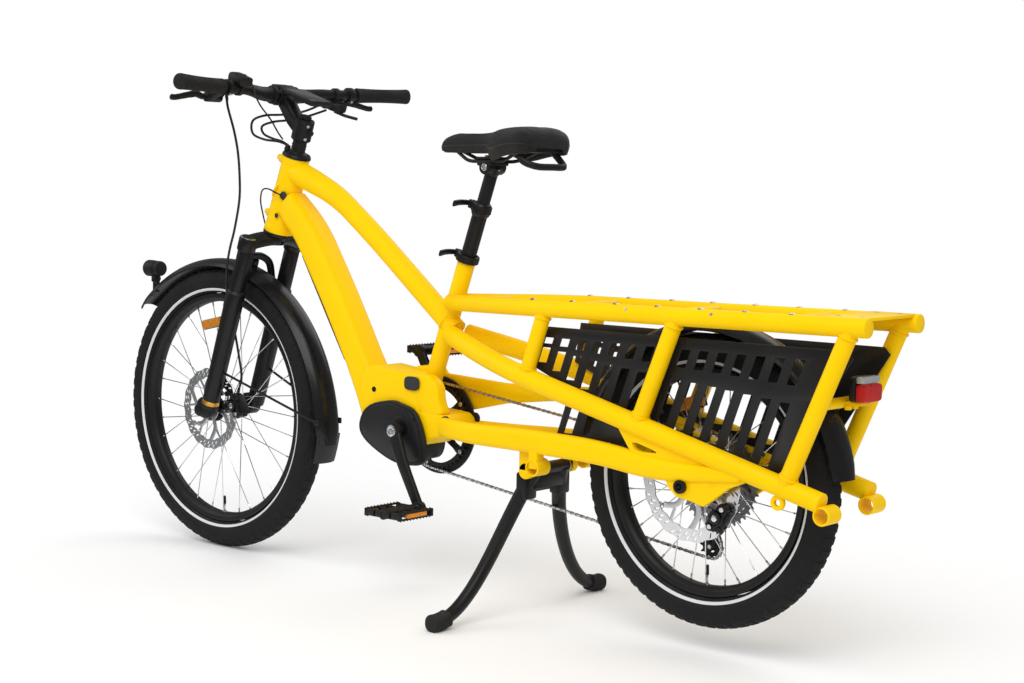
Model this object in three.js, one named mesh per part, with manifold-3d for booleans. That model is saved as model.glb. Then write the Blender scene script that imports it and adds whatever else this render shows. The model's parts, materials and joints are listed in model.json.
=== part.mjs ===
// A longtail cargo bicycle with a motor at the cranks, built as the real one comes apart on a bench.
// Millimetres. X points forward from the rear axle, Y to the rider's left, Z up from the ground.

import * as THREE from 'three';
import { mergeVertices } from 'three/addons/utils/BufferGeometryUtils.js';
import Module from 'manifold-3d';

const wasm = await Module();
wasm.setup();

// Sizes shared by many pieces
const clearance = 0.3;
const overrun = 4;
const mergeShare = 1e-7;
const wheelbase = 1298.7;
const rearLift = 42.2;

const tyre = { height: 57, halfWidth: 29, seatShare: 0.45, segments: 32, profileSteps: 6 };
const rim = { depth: 18, halfWidth: 16.5, innerHalfWidth: 9 };
const spokes = { count: 32, radius: 1, sides: 3, crossShare: 0.125, headOffset: 1.6, rimOffset: 3 };
const rotor = { halfThickness: 1, bandShare: 0.8, carrierRadius: 30, armCount: 6, armHalfWidth: 4 };

const frontWheel = {
  beadRadius: 253.5, hubHalf: 46.4, bore: 7.8, shellRadius: 15, flangeRadius: 29,
  flangeLeft: 26, flangeRight: -32, flangeHalf: 2.7, rotorRadius: 90, rotorY: 41.5,
};
const rearWheel = {
  beadRadius: 203, hubHalf: 73.7, bore: 6.3, shellRadius: 17, flangeRadius: 30,
  flangeLeft: 40, flangeRight: -20, flangeHalf: 2.7, rotorRadius: 101.5, rotorY: 57,
  freehubRadius: 17,
};

// The frame's front part
const headTube = {
  bottomX: 1124.1, bottomZ: 706, topX: 1070.7, topZ: 863.7,
  bottomRadius: 33, topRadius: 28.5, boreRadius: 20.5, bossRadius: 11,
  upperBossReach: 42, upperBossHeight: 150, lowerBossReach: 40, lowerBossHeight: 28,
};
const downTube = {
  headX: 1085, headZ: 765, upperX: 1022, upperZ: 709, midX: 928, midZ: 566,
  lowX: 844, lowZ: 424, endX: 806, endZ: 352, halfWidth: 34, halfDepth: 31, endHalfDepth: 36,
};
const topTube = {
  headX: 1078, headZ: 835, kneeX: 1033, kneeZ: 819, bendX: 943, bendZ: 783.5,
  midX: 826.5, midZ: 700, endX: 606, endZ: 527.5, radius: 21.5, headRadius: 26,
};
const seatTube = {
  topX: 577.5, topZ: 673.8, footX: 674, footZ: 401, radius: 17.5, boreRadius: 15.3, boreDepth: 228,
};
const yoke = { reach: 122, rise: 115, halfWidth: 42, chamfer: 5 };
const crankAxis = { x: 702, z: 326 };

// The drive unit and what sits on it
const drive = { reach: 120, drop: 70, bodyHalf: 44, coverOuter: 56, rightOuter: 47, chamfer: 6 };
const battery = { halfWidth: 26, depth: 44, startShare: 0.12, endShare: 0.86, coverStep: 3 };
const chargePort = { x: 683, z: 420, halfLength: 16, halfHeight: 13, thickness: 4 };

// The rack and its side frames
const rail = {
  radius: 16, y: 84.5, frontX: 606, frontY: 20, frontZ: 583, bendX: 384, frontHeight: 590,
  tailX: -351.6, tailHeight: 597,
};
const rackCross = { radius: 9, count: 4, firstX: 500, lastX: -190, rise: 3 };
const tailPlate = { frontX: -262, thickness: 3, edge: 7 };
const diagonal = {
  frontX: 600, frontY: 24, frontZ: 520.2, bendX: 480, bendY: 63, straightX: 385, slope: 0.2443, y: 82,
  rearX: -274, rearY: 80, frontRadius: 19, rearRadius: 17.5,
};
const strut = {
  y: 83, radius: 15, middleRadius: 15, frontRadius: 14,
  rearTopX: -320, rearFootX: -204, middleTopX: 20, middleFootX: 99, frontTopX: 312, frontFootX: 357,
};
const lowerStay = {
  rootX: 594, rootY: 47, rootZ: 341, rootHalf: 19, bendX: 500, bendY: 70, bendZ: 340,
  standX: 380, standZ: 344, standHalf: 22, middleX: 182, middleZ: 341, middleHalf: 22,
  dropX: 50, dropZ: 323, dropHalf: 20, tailX: -120, tailZ: 334, tailHalf: 12, y: 80,
  halfWidth: 13, rightDrop: 10, rightHalf: 15,
};
const upperStay = {
  frontX: 733, backX: 702, bridgeHigh: 446, bridgeLow: 430, topX: 690, topZ: 431, rearTopX: 529,
  rearTopZ: 424, endX: 290, endHigh: 436, endLow: 412, rearLowX: 426, rearLowZ: 398, midLowX: 530,
  midLowZ: 384, frontLowX: 628, frontLowZ: 361, neckX: 668, neckZ: 414, innerY: 64, outerY: 74,
  bevel: 2,
};
const dropout = {
  reach: 125, drop: 30, inner: 74.3, outer: 86, axleRadius: 6, headRadius: 12, headOuter: 95,
  hubRoom: 20,
};
const tip = { x: -280, z: 288, radius: 16, bore: 12.5, inner: 53, outer: 93 };
const standTube = { x: 330, z: 296, radius: 16, bore: 13, inner: 56, outer: 93 };
const eyelet = { x: -191, z: 298, radius: 13, bore: 6, halfWidth: 4 };

// Panels, fenders and lamps
const panel = {
  y: 59.7, thickness: 2.4, topZ: 556, frontX: 343, frontLowX: 356, rearX: -312, rearLowX: -173,
  columns: 15, pitch: 38, slotWidth: 19, slant: 0.36, firstX: 311, frontLowZ: 480, tabTopX: 268,
  tabTopZ: 445, tabFrontX: 300, tabLowZ: 352, tabRearX: 140, tabRearZ: 358, tabEndX: 120,
  cornerDrop: 12, tabSlotX: 250, tabSlotTopZ: 424, tabSlotDrop: 10,
  topMargin: 20, bottomMargin: 12, shortShare: 0.24, gapShare: 0.16,
};
const rearFender = {
  radius: 284, halfWidth: 36, thickness: 2.6, rise: 12, startDegrees: 8, endDegrees: 173, steps: 14,
  bossRadius: 6,
};
const frontFender = {
  radius: 330, flare: 20, halfWidth: 33, thickness: 2.6, rise: 12, startDegrees: 38,
  endDegrees: 192, steps: 14, stayRadius: 3, stayDegrees: 180, stayFlareShare: 0.6,
  stayLegX: 1232, stayLegZ: 399, bossHeight: 18, bossRadius: 8,
};
const fenderArchShares = [[-1, 1], [-0.75, 0.25], [0, 0], [0.75, 0.25], [1, 1]];
const flarePower = 3;
const tailLamp = {
  x: -302, height: 44, halfWidth: 31, halfDepth: 15, crossZ: 466, strutFootZ: 324, bracketHalf: 3,
};
const headlamp = {
  x: 1545, z: 608, radius: 19, length: 46, stalkRadius: 8, pivotX: 1541, pivotZ: 585,
  pivotRadius: 6, pivotHalf: 9, tailShare: 0.8, postFootZ: 554,
};

// The fork, in the frame of the steering axis: forward, left, up from the head tube's foot
const fork = {
  legY: 66, legForward: 15.5, crownTop: -20, capRadius: 20, crownDepth: 30, crownHead: -4,
  armHalf: 13, raceHeight: 7, steererRadius: 20, slimRadius: 12, steererReach: 212,
  stanchionRadius: 17, lowersTop: -145.6, insertion: 65,
  bore: 17.4, lowersTopRadius: 20.5, lowersFootRadius: 19, boreDepth: 140, footAbove: 20,
  dropoutInner: 46.7, dropoutOuter: 76, dropoutHalf: 23, axleRadius: 7.4, archForward: 50,
  archTop: -76, archHalfHeight: 8, archHalfDepth: 6, archY: 50, archInset: 10, archDrop: 12,
};
const stem = {
  capRadius: 31, capHeight: 8, columnRadius: 15, bore: 12.4, clampBottom: 204, clampTop: 250,
  clampRadius: 21, barForward: 82.8, barUp: 276, barClampRadius: 22, barClampHalf: 24,
  armRadius: 17, nubReach: 29, nubRadius: 6, capTop: 258, capTopRadius: 28, capNutRadius: 11,
};
const bars = {
  clampRadius: 15.9, endRadius: 11.1, swellY: 60, bendY: 100, bendForward: 71.5, bendUp: 286,
  gripY: 192, gripForward: 60.7, gripUp: 291.9, endY: 317, endForward: 36.1, endUp: 303.4,
  gripRadius: 16.5, gripWaist: 15.3, gripEnd: 4,
};
const brake = {
  clampY: 172, clampHalf: 7, clampRadius: 17, bodyForward: 108, bodyUp: 256, bodyRadius: 11,
  bodyOuterY: 186, bodyInnerY: 146, rootGap: 0.8, rootHalf: 4, shoulderY: 194, leverThickness: 4.5,
  leverWidth: 7, bendY: 215, bendForward: 104, bendUp: 262, tipY: 284, tipForward: 96, tipUp: 254,
};
const shifter = {
  y: -135, clampHalf: 6, clampRadius: 15, podForward: 62, podY: -142, podUp: 265, podRadius: 22,
  podHalf: 9, leverY: -163, leverForward: 12, leverHalf: 3, leverHalfWidth: 6,
};
const display = {
  forward: 10, up: 294, halfLength: 46, halfWidth: 32, halfThickness: 6, clampY: 30, clampHalf: 4,
  clampRadius: 20,
};
const remote = {
  y: 140, clampHalf: 5, clampRadius: 15, bodyRise: 20, halfLength: 21, halfWidth: 17,
  halfThickness: 10, buttonRadius: 7, buttonTravel: 2.5, wellDepth: 6, buttonOffset: 6,
};
const caliper = {
  halfLength: 34, halfDepth: 17, slotHalf: 1.8, chamfer: 4, frontX: 1204, frontZ: 327, frontLow: 30,
  frontHigh: 60, mountRadius: 12, frontLean: 58, rearX: -64, rearZ: 254, rearLow: 40, rearLean: 62,
};

// The drive train
const chainPitch = 12.7;
const chain = {
  frontY: -50, innerFace: 1.3, outerFace: 2.2, plateThickness: 0.8, pinHalf: 2.2,
  jointHalfHeight: 4, startShare: 0.25,
};
const ring = {
  teeth: 44, halfThickness: 0.9, toothRise: 3, toothFoot: 4.6, bandDepth: 12, armCount: 5,
  armHalfWidth: 8, guardRadius: 100, guardInner: 76, guardInnerY: 56, guardOuterY: 60,
  hubRadius: 24, spacerRadius: 5, rootHalf: 3.5, armThickness: 2,
};
const cogs = {
  teethCounts: [42, 36, 30, 25, 21, 18, 15, 13, 11], spacing: 4.35, firstY: -26.5, engaged: 7,
  halfThickness: 0.9, coreRadius: 20.5, rimDepth: 1.8,
};
const pulley = { teeth: 11, halfThickness: 1, guideX: 12, guideZ: 243, cageLength: 72 };
const cage = {
  plateHalf: 0.8, plateOffset: 5.4, plateHalfWidth: 9, pinRadius: 3, pinSides: 6, startDegrees: -95,
  endDegrees: -60,
};
const derailleur = { hangerX: -8, hangerZ: 266, knuckleRadius: 13, inner: 63.5, outer: 84, armRadius: 9 };

// Cranks and pedals
const crank = {
  length: 165.5, spindleRadius: 11.7, bore: 12, inner: 66, bossOuter: 81, bossRadius: 19, armHalf: 6.5,
  footRadius: 13, flareX: 62, flareY: 84, endY: 88, rootHalfWidth: 16, endHalfWidth: 11,
  leftDegrees: -120.8, footHalf: 8, spindleEnd: 71.7,
};
const pedal = {
  inner: 98, width: 92, halfLength: 50, halfThickness: 8, railHalf: 5, tubeRadius: 10,
  axleRadius: 5, endWall: 6,
};

// The saddle and its posts, up the seat tube's axis from its top
const seatPost = {
  lowerRadius: 15, lowerBottom: -128, lowerTop: 106, bore: 13, collarRadius: 20, collarBottom: 90,
  upperRadius: 12.7, upperBottom: 20, upperTop: 182, headHalf: 20, headHalfWidth: 27,
  clampBottom: -12, clampTop: 3, clampRadius: 23, lugReach: 30, lugHalf: 7,
  leverHalf: 3, leverHalfWidth: 6, leverGap: 0.5, leverRootY: -7.5, leverBendY: 12, leverBow: 2,
  leverTipY: 50, leverTipDrop: 5, headX: 518, cradleZ: 853.2, cradleDepth: 12, neckHalf: 14,
  neckHalfWidth: 15, plateZ: 860.8, plateDepth: 5,
};
const saddle = {
  noseX: 643, rearX: 378, topZ: 922, baseZ: 881, halfWidth: 76, railRadius: 3.5,
  shellDepth: 7, shellShare: 0.7, handleRadius: 6.5,
};
const railRoute = [[604, 8, 877], [562, 21, 857], [474, 21, 857], [428, 28, 877]];
const handleRoute = [[412, 50, 877], [396, 56, 858], [376, 40, 848], [371, 0, 847]];

// The stand
const stand = {
  pivotX: 365, pivotZ: 284, pivotY: 57, legY: 38, shaftRadius: 12, earThickness: 13, earRadius: 15,
  footX: 429, footY: 248, footZ: 16, kneeX: 417.6, kneeY: 77, kneeZ: 175.9,
  ankleX: 426, ankleY: 137.9, ankleZ: 22.3, topRadius: 12.5, lowRadius: 10.5, bootRadius: 18,
  bootShare: 0.87, bootEnd: 3, steps: 6, bootSteps: 2,
};

// Hoses and wires, as places along their middle lines
const cords = {
  sides: 8, stepShare: 6, hoseRadius: 2.5, grommetForward: 22, grommetY: 10, grommetHeight: 10,
  grommetRadius: 7,
};
const frontHoseRoute = [
  [1128, 143, 985], [1118, 148, 962], [1108, 140, 915], [1107, 130, 870], [1113, 120, 820],
  [1124, 111, 772], [1150, 101, 712], [1176, 92, 668], [1192, 86, 630], [1203, 78, 590],
  [1218, 62, 555], [1222, 46, 520], [1217, 41, 480], [1205, 40, 430], [1195, 42, 390], [1199.2, 47, 356.4],
];
const rearHoseRoute = [
  [1134, -137, 984], [1142, -100, 968], [1130, -45, 957], [1122, 0, 953], [1130, 38, 950],
  [1144, 58, 938], [1150, 52, 912], [1132, 36, 900], [1106, 20, 896],
];
const shiftCableRoute = [
  [1112, -124, 968], [1124, -80, 953], [1127, -30, 943], [1128, 12, 938], [1136, 38, 928],
  [1134, 36, 912], [1116, 26, 902], [1102, 15, 897],
];

// How round or square an oval is, and how many faces a plain tube has
const boxRounding = 0.3;
const squareRounding = 0.5;
const softRounding = 0.7;
const tubeSides = 10;
const slimSides = 8;
const hubSides = 12;
const legSides = 12;
const seatSides = 12;

// Places worked out from the sizes
const frontRadius = frontWheel.beadRadius + tyre.height;
const rearRadius = rearWheel.beadRadius + tyre.height;
const rearAxleZ = rearRadius + rearLift;
const centreX = (wheelbase + frontRadius + rail.tailX) / 2;
const lateral = new THREE.Vector3(0, 1, 0);
const forward = new THREE.Vector3(1, 0, 0);
const vertical = new THREE.Vector3(0, 0, 1);
const at = (x, y, z) => new THREE.Vector3(x, y, z);
const turn = (share) => share * 2 * Math.PI;
const radians = (degrees) => THREE.MathUtils.degToRad(degrees);
const frontAxle = at(wheelbase, 0, frontRadius);
const rearAxle = at(0, 0, rearAxleZ);
const headFoot = at(headTube.bottomX, 0, headTube.bottomZ);
const headTop = at(headTube.topX, 0, headTube.topZ);
const steerUp = headTop.clone().sub(headFoot).normalize();
const steerAngle = Math.atan2(steerUp.x, steerUp.z);
const steerForward = at(Math.cos(steerAngle), 0, -Math.sin(steerAngle));
const headLength = headTop.distanceTo(headFoot);
const seatTop = at(seatTube.topX, 0, seatTube.topZ);
const seatFoot = at(seatTube.footX, 0, seatTube.footZ);
const seatUp = seatTop.clone().sub(seatFoot).normalize();
const crossBarShare = (rail.tailHeight - tailLamp.crossZ) / (rail.tailHeight - tailLamp.strutFootZ);
const crossBarX = strut.rearTopX + (strut.rearFootX - strut.rearTopX) * crossBarShare;

/** A point given forward, left and up along the steering axis, in the bicycle's frame. */
function steerPoint(forward, left, up) {
  const place = headFoot.clone().addScaledVector(steerForward, forward);
  return place.addScaledVector(steerUp, up).addScaledVector(lateral, left);
}

/** The same place measured in the frame of the steering axis. */
function intoSteering(point) {
  const offset = point.clone().sub(headFoot);
  return at(offset.dot(steerForward), offset.y, offset.dot(steerUp));
}

// Solids
/** Keeps only the corner positions, merged, and drops faces that have no area. */
function closed(geometry) {
  const bare = geometry.clone();
  for (const name of Object.keys(bare.attributes)) {
    if (name !== 'position') bare.deleteAttribute(name);
  }
  bare.computeBoundingSphere();
  const merged = mergeVertices(bare, bare.boundingSphere.radius * mergeShare);
  const corners = merged.index.array;
  const kept = [];
  for (let face = 0; face < corners.length; face += 3) {
    const [a, b, c] = corners.slice(face, face + 3);
    if (a !== b && b !== c && c !== a) kept.push(a, b, c);
  }
  const spots = Array.from({ length: merged.attributes.position.count }, (_, spot) => (
    new THREE.Vector3().fromBufferAttribute(merged.attributes.position, spot)
  ));
  merged.setIndex(windingSum(spots, kept) < 0 ? flipped(kept) : kept);
  merged.computeVertexNormals();
  return merged;
}

/** The same faces seen from their other side. */
function flipped(faces) {
  return faces.map((corner, place) => faces[place - (place % 3) + [0, 2, 1][place % 3]]);
}

function toSolid(geometry) {
  const bare = closed(geometry);
  const vertProperties = new Float32Array(bare.attributes.position.array);
  const triVerts = new Uint32Array(bare.index.array);
  return new wasm.Manifold(new wasm.Mesh({ numProp: 3, vertProperties, triVerts }));
}

function toGeometry(solid) {
  const mesh = solid.getMesh();
  const geometry = new THREE.BufferGeometry();
  geometry.setAttribute('position', new THREE.BufferAttribute(mesh.vertProperties, mesh.numProp));
  geometry.setIndex(new THREE.BufferAttribute(mesh.triVerts, 1));
  geometry.computeVertexNormals();
  return geometry;
}

function fuse(...geometries) {
  return toGeometry(geometries.map(toSolid).reduce((whole, next) => whole.add(next)));
}

function carve(geometry, ...tools) {
  return toGeometry(tools.map(toSolid).reduce((whole, next) => whole.subtract(next), toSolid(geometry)));
}

/** Six times the volume inside a surface, below zero where its faces point inward. */
function windingSum(points, faces) {
  let sum = 0;
  for (let face = 0; face < faces.length; face += 3) {
    const [a, b, c] = [points[faces[face]], points[faces[face + 1]], points[faces[face + 2]]];
    sum += a.dot(b.clone().cross(c));
  }
  return sum;
}

/** The triangles that close one ring, in corner numbers of that ring. */
function capFaces(points) {
  const centre = points.reduce((sum, point) => sum.add(point), at(0, 0, 0)).divideScalar(points.length);
  const normal = at(0, 0, 0);
  points.forEach((point, index) => {
    const next = points[(index + 1) % points.length];
    normal.add(point.clone().sub(centre).cross(next.clone().sub(centre)));
  });
  normal.normalize();
  const across = points[0].clone().sub(centre);
  across.addScaledVector(normal, -across.dot(normal)).normalize();
  const upward = normal.clone().cross(across);
  const flat = points.map((point) => {
    const offset = point.clone().sub(centre);
    return new THREE.Vector2(offset.dot(across), offset.dot(upward));
  });
  return THREE.ShapeUtils.triangulateShape(flat, []);
}

/** Joins rings of equal length into a surface, closed at both ends or round in a loop. */
function loft(rings, looped = false) {
  const count = rings[0].length;
  const points = rings.flat();
  const bands = looped ? rings.length : rings.length - 1;
  const faces = [];
  for (let band = 0; band < bands; band += 1) {
    const here = band * count;
    const there = ((band + 1) % rings.length) * count;
    for (let side = 0; side < count; side += 1) {
      const next = (side + 1) % count;
      faces.push(here + side, there + side, there + next, here + side, there + next, here + next);
    }
  }
  if (!looped) {
    const last = (rings.length - 1) * count;
    capFaces(rings[0]).forEach(([a, b, c]) => faces.push(a, b, c));
    capFaces(rings[rings.length - 1]).forEach(([a, b, c]) => faces.push(last + a, last + c, last + b));
  }
  return surface(points, faces);
}

function surface(points, faces) {
  const geometry = new THREE.BufferGeometry();
  const positions = points.flatMap((point) => point.toArray());
  geometry.setAttribute('position', new THREE.Float32BufferAttribute(positions, 3));
  geometry.setIndex(faces);
  return geometry;
}

/** A ring of points, round or squarer, about a centre. */
function ovalRing(centre, across, upward, halfAcross, halfUp, sides, rounding = 1) {
  return Array.from({ length: sides }, (_, index) => {
    const angle = turn((index + 1 / 2) / sides);
    const reach = halfAcross * Math.sign(Math.cos(angle)) * Math.abs(Math.cos(angle)) ** rounding;
    const rise = halfUp * Math.sign(Math.sin(angle)) * Math.abs(Math.sin(angle)) ** rounding;
    return centre.clone().addScaledVector(across, reach).addScaledVector(upward, rise);
  });
}

/** A tube through a row of points; halves holds each ring's half width and half height. */
function sweep(points, halves, sides, rounding = 1, reference = lateral) {
  const rings = points.map((point, index) => {
    const before = points[Math.max(index - 1, 0)];
    const after = points[Math.min(index + 1, points.length - 1)];
    const along = after.clone().sub(before).normalize();
    const across = reference.clone().addScaledVector(along, -reference.dot(along)).normalize();
    const upward = along.clone().cross(across);
    const [half, rise] = halves[Math.min(index, halves.length - 1)];
    return ovalRing(point, across, upward, half, rise, sides, rounding);
  });
  return loft(rings);
}

/** A straight round bar between two places. */
function rod(start, end, radius, sides = 12, endRadius = radius) {
  const span = end.clone().sub(start);
  const bar = new THREE.CylinderGeometry(endRadius, radius, span.length(), sides);
  bar.applyQuaternion(new THREE.Quaternion().setFromUnitVectors(lateral, span.clone().normalize()));
  const middle = start.clone().add(end).divideScalar(2);
  return bar.translate(middle.x, middle.y, middle.z);
}

/** A round bar along Y through a place, between two sideways positions. */
function pin(x, z, low, high, radius, sides = 16) {
  return rod(at(x, low, z), at(x, high, z), radius, sides);
}

/** A flat outline in X and Z, as thick as the two sideways positions say. */
function prism(outline, low, high) {
  const shape = new THREE.Shape(outline.map(([x, z]) => new THREE.Vector2(x, z)));
  const body = new THREE.ExtrudeGeometry(shape, { depth: high - low, bevelEnabled: false });
  return body.rotateX(Math.PI / 2).translate(0, high, 0);
}

/** The same with the edges of both faces bevelled. */
function bevelledPrism(outline, low, high, bevel) {
  const xs = outline.map(([x]) => x);
  const zs = outline.map(([, z]) => z);
  const middleX = (Math.min(...xs) + Math.max(...xs)) / 2;
  const middleZ = (Math.min(...zs) + Math.max(...zs)) / 2;
  const narrowX = 1 - (2 * bevel) / (Math.max(...xs) - Math.min(...xs));
  const narrowZ = 1 - (2 * bevel) / (Math.max(...zs) - Math.min(...zs));
  const layer = (y, shareX, shareZ) => outline.map(([x, z]) => {
    const spot = [middleX + (x - middleX) * shareX, middleZ + (z - middleZ) * shareZ];
    return at(spot[0], y, spot[1]);
  });
  const edges = [low, low + bevel, high - bevel, high];
  return loft(edges.map((y, place) => {
    const outer = place === 0 || place === edges.length - 1;
    return outer ? layer(y, narrowX, narrowZ) : layer(y, 1, 1);
  }));
}

/** A profile of radius and sideways position turned about Y; it may close on itself. */
function turned(profile, sides) {
  return new THREE.LatheGeometry(profile.map(([r, y]) => new THREE.Vector2(r, y)), sides);
}

/** A washer about Y. */
function washer(inner, outer, low, high, sides) {
  return turned([[inner, low], [outer, low], [outer, high], [inner, high], [inner, low]], sides);
}

function box(centre, halfX, halfY, halfZ) {
  const block = new THREE.BoxGeometry(2 * halfX, 2 * halfY, 2 * halfZ);
  return block.translate(centre.x, centre.y, centre.z);
}

const mirrored = (point) => at(point.x, -point.y, point.z);

/** The corner radius at which a bore of flat sides clears a round that turns inside it. */
const turningBore = (radius, sides) => (radius + clearance) / Math.cos(Math.PI / sides);

// Looks
const looks = {
  paint: { color: 0xffc400, roughness: 0.35, metalness: 0 },
  black: { color: 0x16171a, roughness: 0.5, metalness: 0 },
  blackMetal: { color: 0x1b1c1f, roughness: 0.4, metalness: 0.6 },
  rubber: { color: 0x141414, roughness: 0.9, metalness: 0 },
  steel: { color: 0xb9bcc0, roughness: 0.3, metalness: 1 },
  darkSteel: { color: 0x6d6f72, roughness: 0.35, metalness: 1 },
  lens: { color: 0xb01010, roughness: 0.2, metalness: 0 },
};

const bicycle = new THREE.Group();
const steering = new THREE.Group();

function place(group, name, geometry, look) {
  const mesh = new THREE.Mesh(closed(geometry), new THREE.MeshStandardMaterial(look));
  mesh.name = name;
  group.add(mesh);
}

// Wheels
function tyreShape(wheel) {
  const rise = tyre.height * tyre.seatShare;
  const crown = tyre.height - rise;
  const start = -Math.asin(rise / crown);
  const seat = wheel.beadRadius + clearance;
  const profile = Array.from({ length: tyre.profileSteps + 1 }, (_, step) => {
    const angle = start + (step / tyre.profileSteps) * (Math.PI - 2 * start);
    const radius = wheel.beadRadius + rise + crown * Math.sin(angle);
    return [Math.max(radius, seat), tyre.halfWidth * Math.cos(angle)];
  });
  return turned([...profile, profile[0]], tyre.segments);
}

function rimShape(wheel) {
  const inner = wheel.beadRadius - rim.depth;
  const profile = [
    [wheel.beadRadius, rim.halfWidth], [wheel.beadRadius, -rim.halfWidth],
    [inner, -rim.innerHalfWidth], [inner, rim.innerHalfWidth],
  ];
  return turned([...profile, profile[0]], tyre.segments);
}

function rotorShape(wheel) {
  const band = wheel.rotorRadius * rotor.bandShare;
  const low = wheel.rotorY - rotor.halfThickness;
  const high = wheel.rotorY + rotor.halfThickness;
  const disc = washer(band, wheel.rotorRadius, low, high, rotor.armCount * 3);
  const carrier = washer(wheel.bore, rotor.carrierRadius, low, high, hubSides);
  const reach = (band + rotor.carrierRadius) / 2;
  const arms = Array.from({ length: rotor.armCount }, (_, arm) => {
    const half = (band - rotor.carrierRadius) / 2 + overrun;
    const bar = box(at(0, wheel.rotorY, 0), half, rotor.halfThickness, rotor.armHalfWidth);
    bar.rotateY(Math.PI / (2 * rotor.armCount)).translate(reach, 0, 0);
    return bar.rotateY(turn(arm / rotor.armCount));
  });
  return [disc, carrier, ...arms];
}

function spokeShapes(wheel) {
  const rimReach = wheel.beadRadius - rim.depth - clearance;
  const hubReach = wheel.flangeRadius * Math.cos(Math.PI / hubSides) - spokes.radius;
  return Array.from({ length: spokes.count }, (_, index) => {
    const left = index % 2 === 0;
    const trailing = index % 4 < 2;
    const flange = left ? wheel.flangeLeft : wheel.flangeRight;
    const rimAngle = turn(index / spokes.count);
    const hubAngle = rimAngle + turn(trailing ? spokes.crossShare : -spokes.crossShare);
    const side = left ? 1 : -1;
    const headY = flange + (trailing ? spokes.headOffset : -spokes.headOffset);
    const foot = at(rimReach * Math.sin(rimAngle), side * spokes.rimOffset, rimReach * Math.cos(rimAngle));
    const head = at(hubReach * Math.sin(hubAngle), headY, hubReach * Math.cos(hubAngle));
    return sweep([head, foot], [[spokes.radius, spokes.radius]], spokes.sides);
  });
}

function wheelCentre(wheel, rightEnd) {
  const { bore, shellRadius, flangeRadius, flangeHalf } = wheel;
  const flanges = [wheel.flangeRight, wheel.flangeLeft].flatMap((y) => [
    [shellRadius, y - flangeHalf], [flangeRadius, y - flangeHalf],
    [flangeRadius, y + flangeHalf], [shellRadius, y + flangeHalf],
  ]);
  const outline = [
    [bore, rightEnd], [shellRadius, rightEnd], ...flanges,
    [shellRadius, wheel.hubHalf], [bore, wheel.hubHalf], [bore, rightEnd],
  ];
  return fuse(turned(outline, hubSides), ...rotorShape(wheel), ...spokeShapes(wheel));
}

function addWheel(group, prefix, wheel, rightEnd) {
  place(group, `${prefix}_tyre`, tyreShape(wheel), looks.rubber);
  place(group, `${prefix}_rim`, rimShape(wheel), looks.black);
  place(group, `${prefix}_spokes`, wheelCentre(wheel, rightEnd), looks.steel);
}

// The main frame
const downTubePath = [
  at(downTube.headX, 0, downTube.headZ), at(downTube.upperX, 0, downTube.upperZ),
  at(downTube.midX, 0, downTube.midZ), at(downTube.lowX, 0, downTube.lowZ),
  at(downTube.endX, 0, downTube.endZ),
];
const downTubeDirection = downTubePath[3].clone().sub(downTubePath[1]).normalize();
const downTubeNormal = at(downTubeDirection.z, 0, -downTubeDirection.x).negate();

const topTubePath = [
  at(topTube.headX, 0, topTube.headZ), at(topTube.kneeX, 0, topTube.kneeZ),
  at(topTube.bendX, 0, topTube.bendZ), at(topTube.midX, 0, topTube.midZ),
  at(topTube.endX, 0, topTube.endZ),
];

/** Turns shares of two sizes into an outline about a place. */
function outlineFrom(shares, reach, rise, x, z) {
  return shares.map(([forward, up]) => [x + forward * reach, z + up * rise]);
}

/** The same outline, wider all round by about one distance. */
function grown(outline, distance) {
  const xs = outline.map(([x]) => x);
  const zs = outline.map(([, z]) => z);
  const [lowX, highX] = [Math.min(...xs), Math.max(...xs)];
  const [lowZ, highZ] = [Math.min(...zs), Math.max(...zs)];
  return outline.map(([x, z]) => [
    x + distance * ((2 * (x - lowX)) / (highX - lowX) - 1),
    z + distance * ((2 * (z - lowZ)) / (highZ - lowZ) - 1),
  ]);
}

const coverShares = [
  [1, -0.04], [0.82, 0.56], [0.25, 0.79], [0.02, 0.71], [-0.26, 0.59], [-0.41, 0.19], [-0.52, -0.37],
  [-0.53, -0.91], [0, -0.99], [0.35, -0.86], [0.86, -0.44],
];
const bodyShares = [
  [1, -0.04], [0.82, 0.56], [0.25, 0.79], [-0.1, 0.56], [-0.22, 0.06], [-0.25, -0.59], [-0.1, -0.99],
  [0.35, -0.91], [0.86, -0.44],
];
const yokeShares = [
  [0.9, 1.06], [0.13, 0.97], [-0.45, 1], [-0.69, 0.82], [-0.71, 0.55], [-0.9, 0.31], [-1, -0.02],
  [-0.54, -0.12], [-0.4, -0.24], [-0.28, -0.24], [-0.16, 0.09], [0.49, 0.26], [0.9, 0], [1.02, 0.35],
  [1.07, 0.8],
];
const bodyOutline = outlineFrom(bodyShares, drive.reach, drive.drop, crankAxis.x, crankAxis.z);
const coverOutline = outlineFrom(coverShares, drive.reach, drive.drop, crankAxis.x, crankAxis.z);
const yokeOutline = outlineFrom(yokeShares, yoke.reach, yoke.rise, crankAxis.x, crankAxis.z);

function batteryShape(extra) {
  const start = downTubePath[1].clone().lerp(downTubePath[3], battery.startShare);
  const end = downTubePath[1].clone().lerp(downTubePath[3], battery.endShare);
  const offset = downTube.halfDepth + battery.coverStep - battery.depth / 2;
  start.addScaledVector(downTubeNormal, offset).addScaledVector(downTubeDirection, -extra);
  end.addScaledVector(downTubeNormal, offset).addScaledVector(downTubeDirection, extra);
  const halves = [[battery.halfWidth + extra, battery.depth / 2 + extra]];
  return sweep([start, end], halves, slimSides, boxRounding);
}

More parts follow.
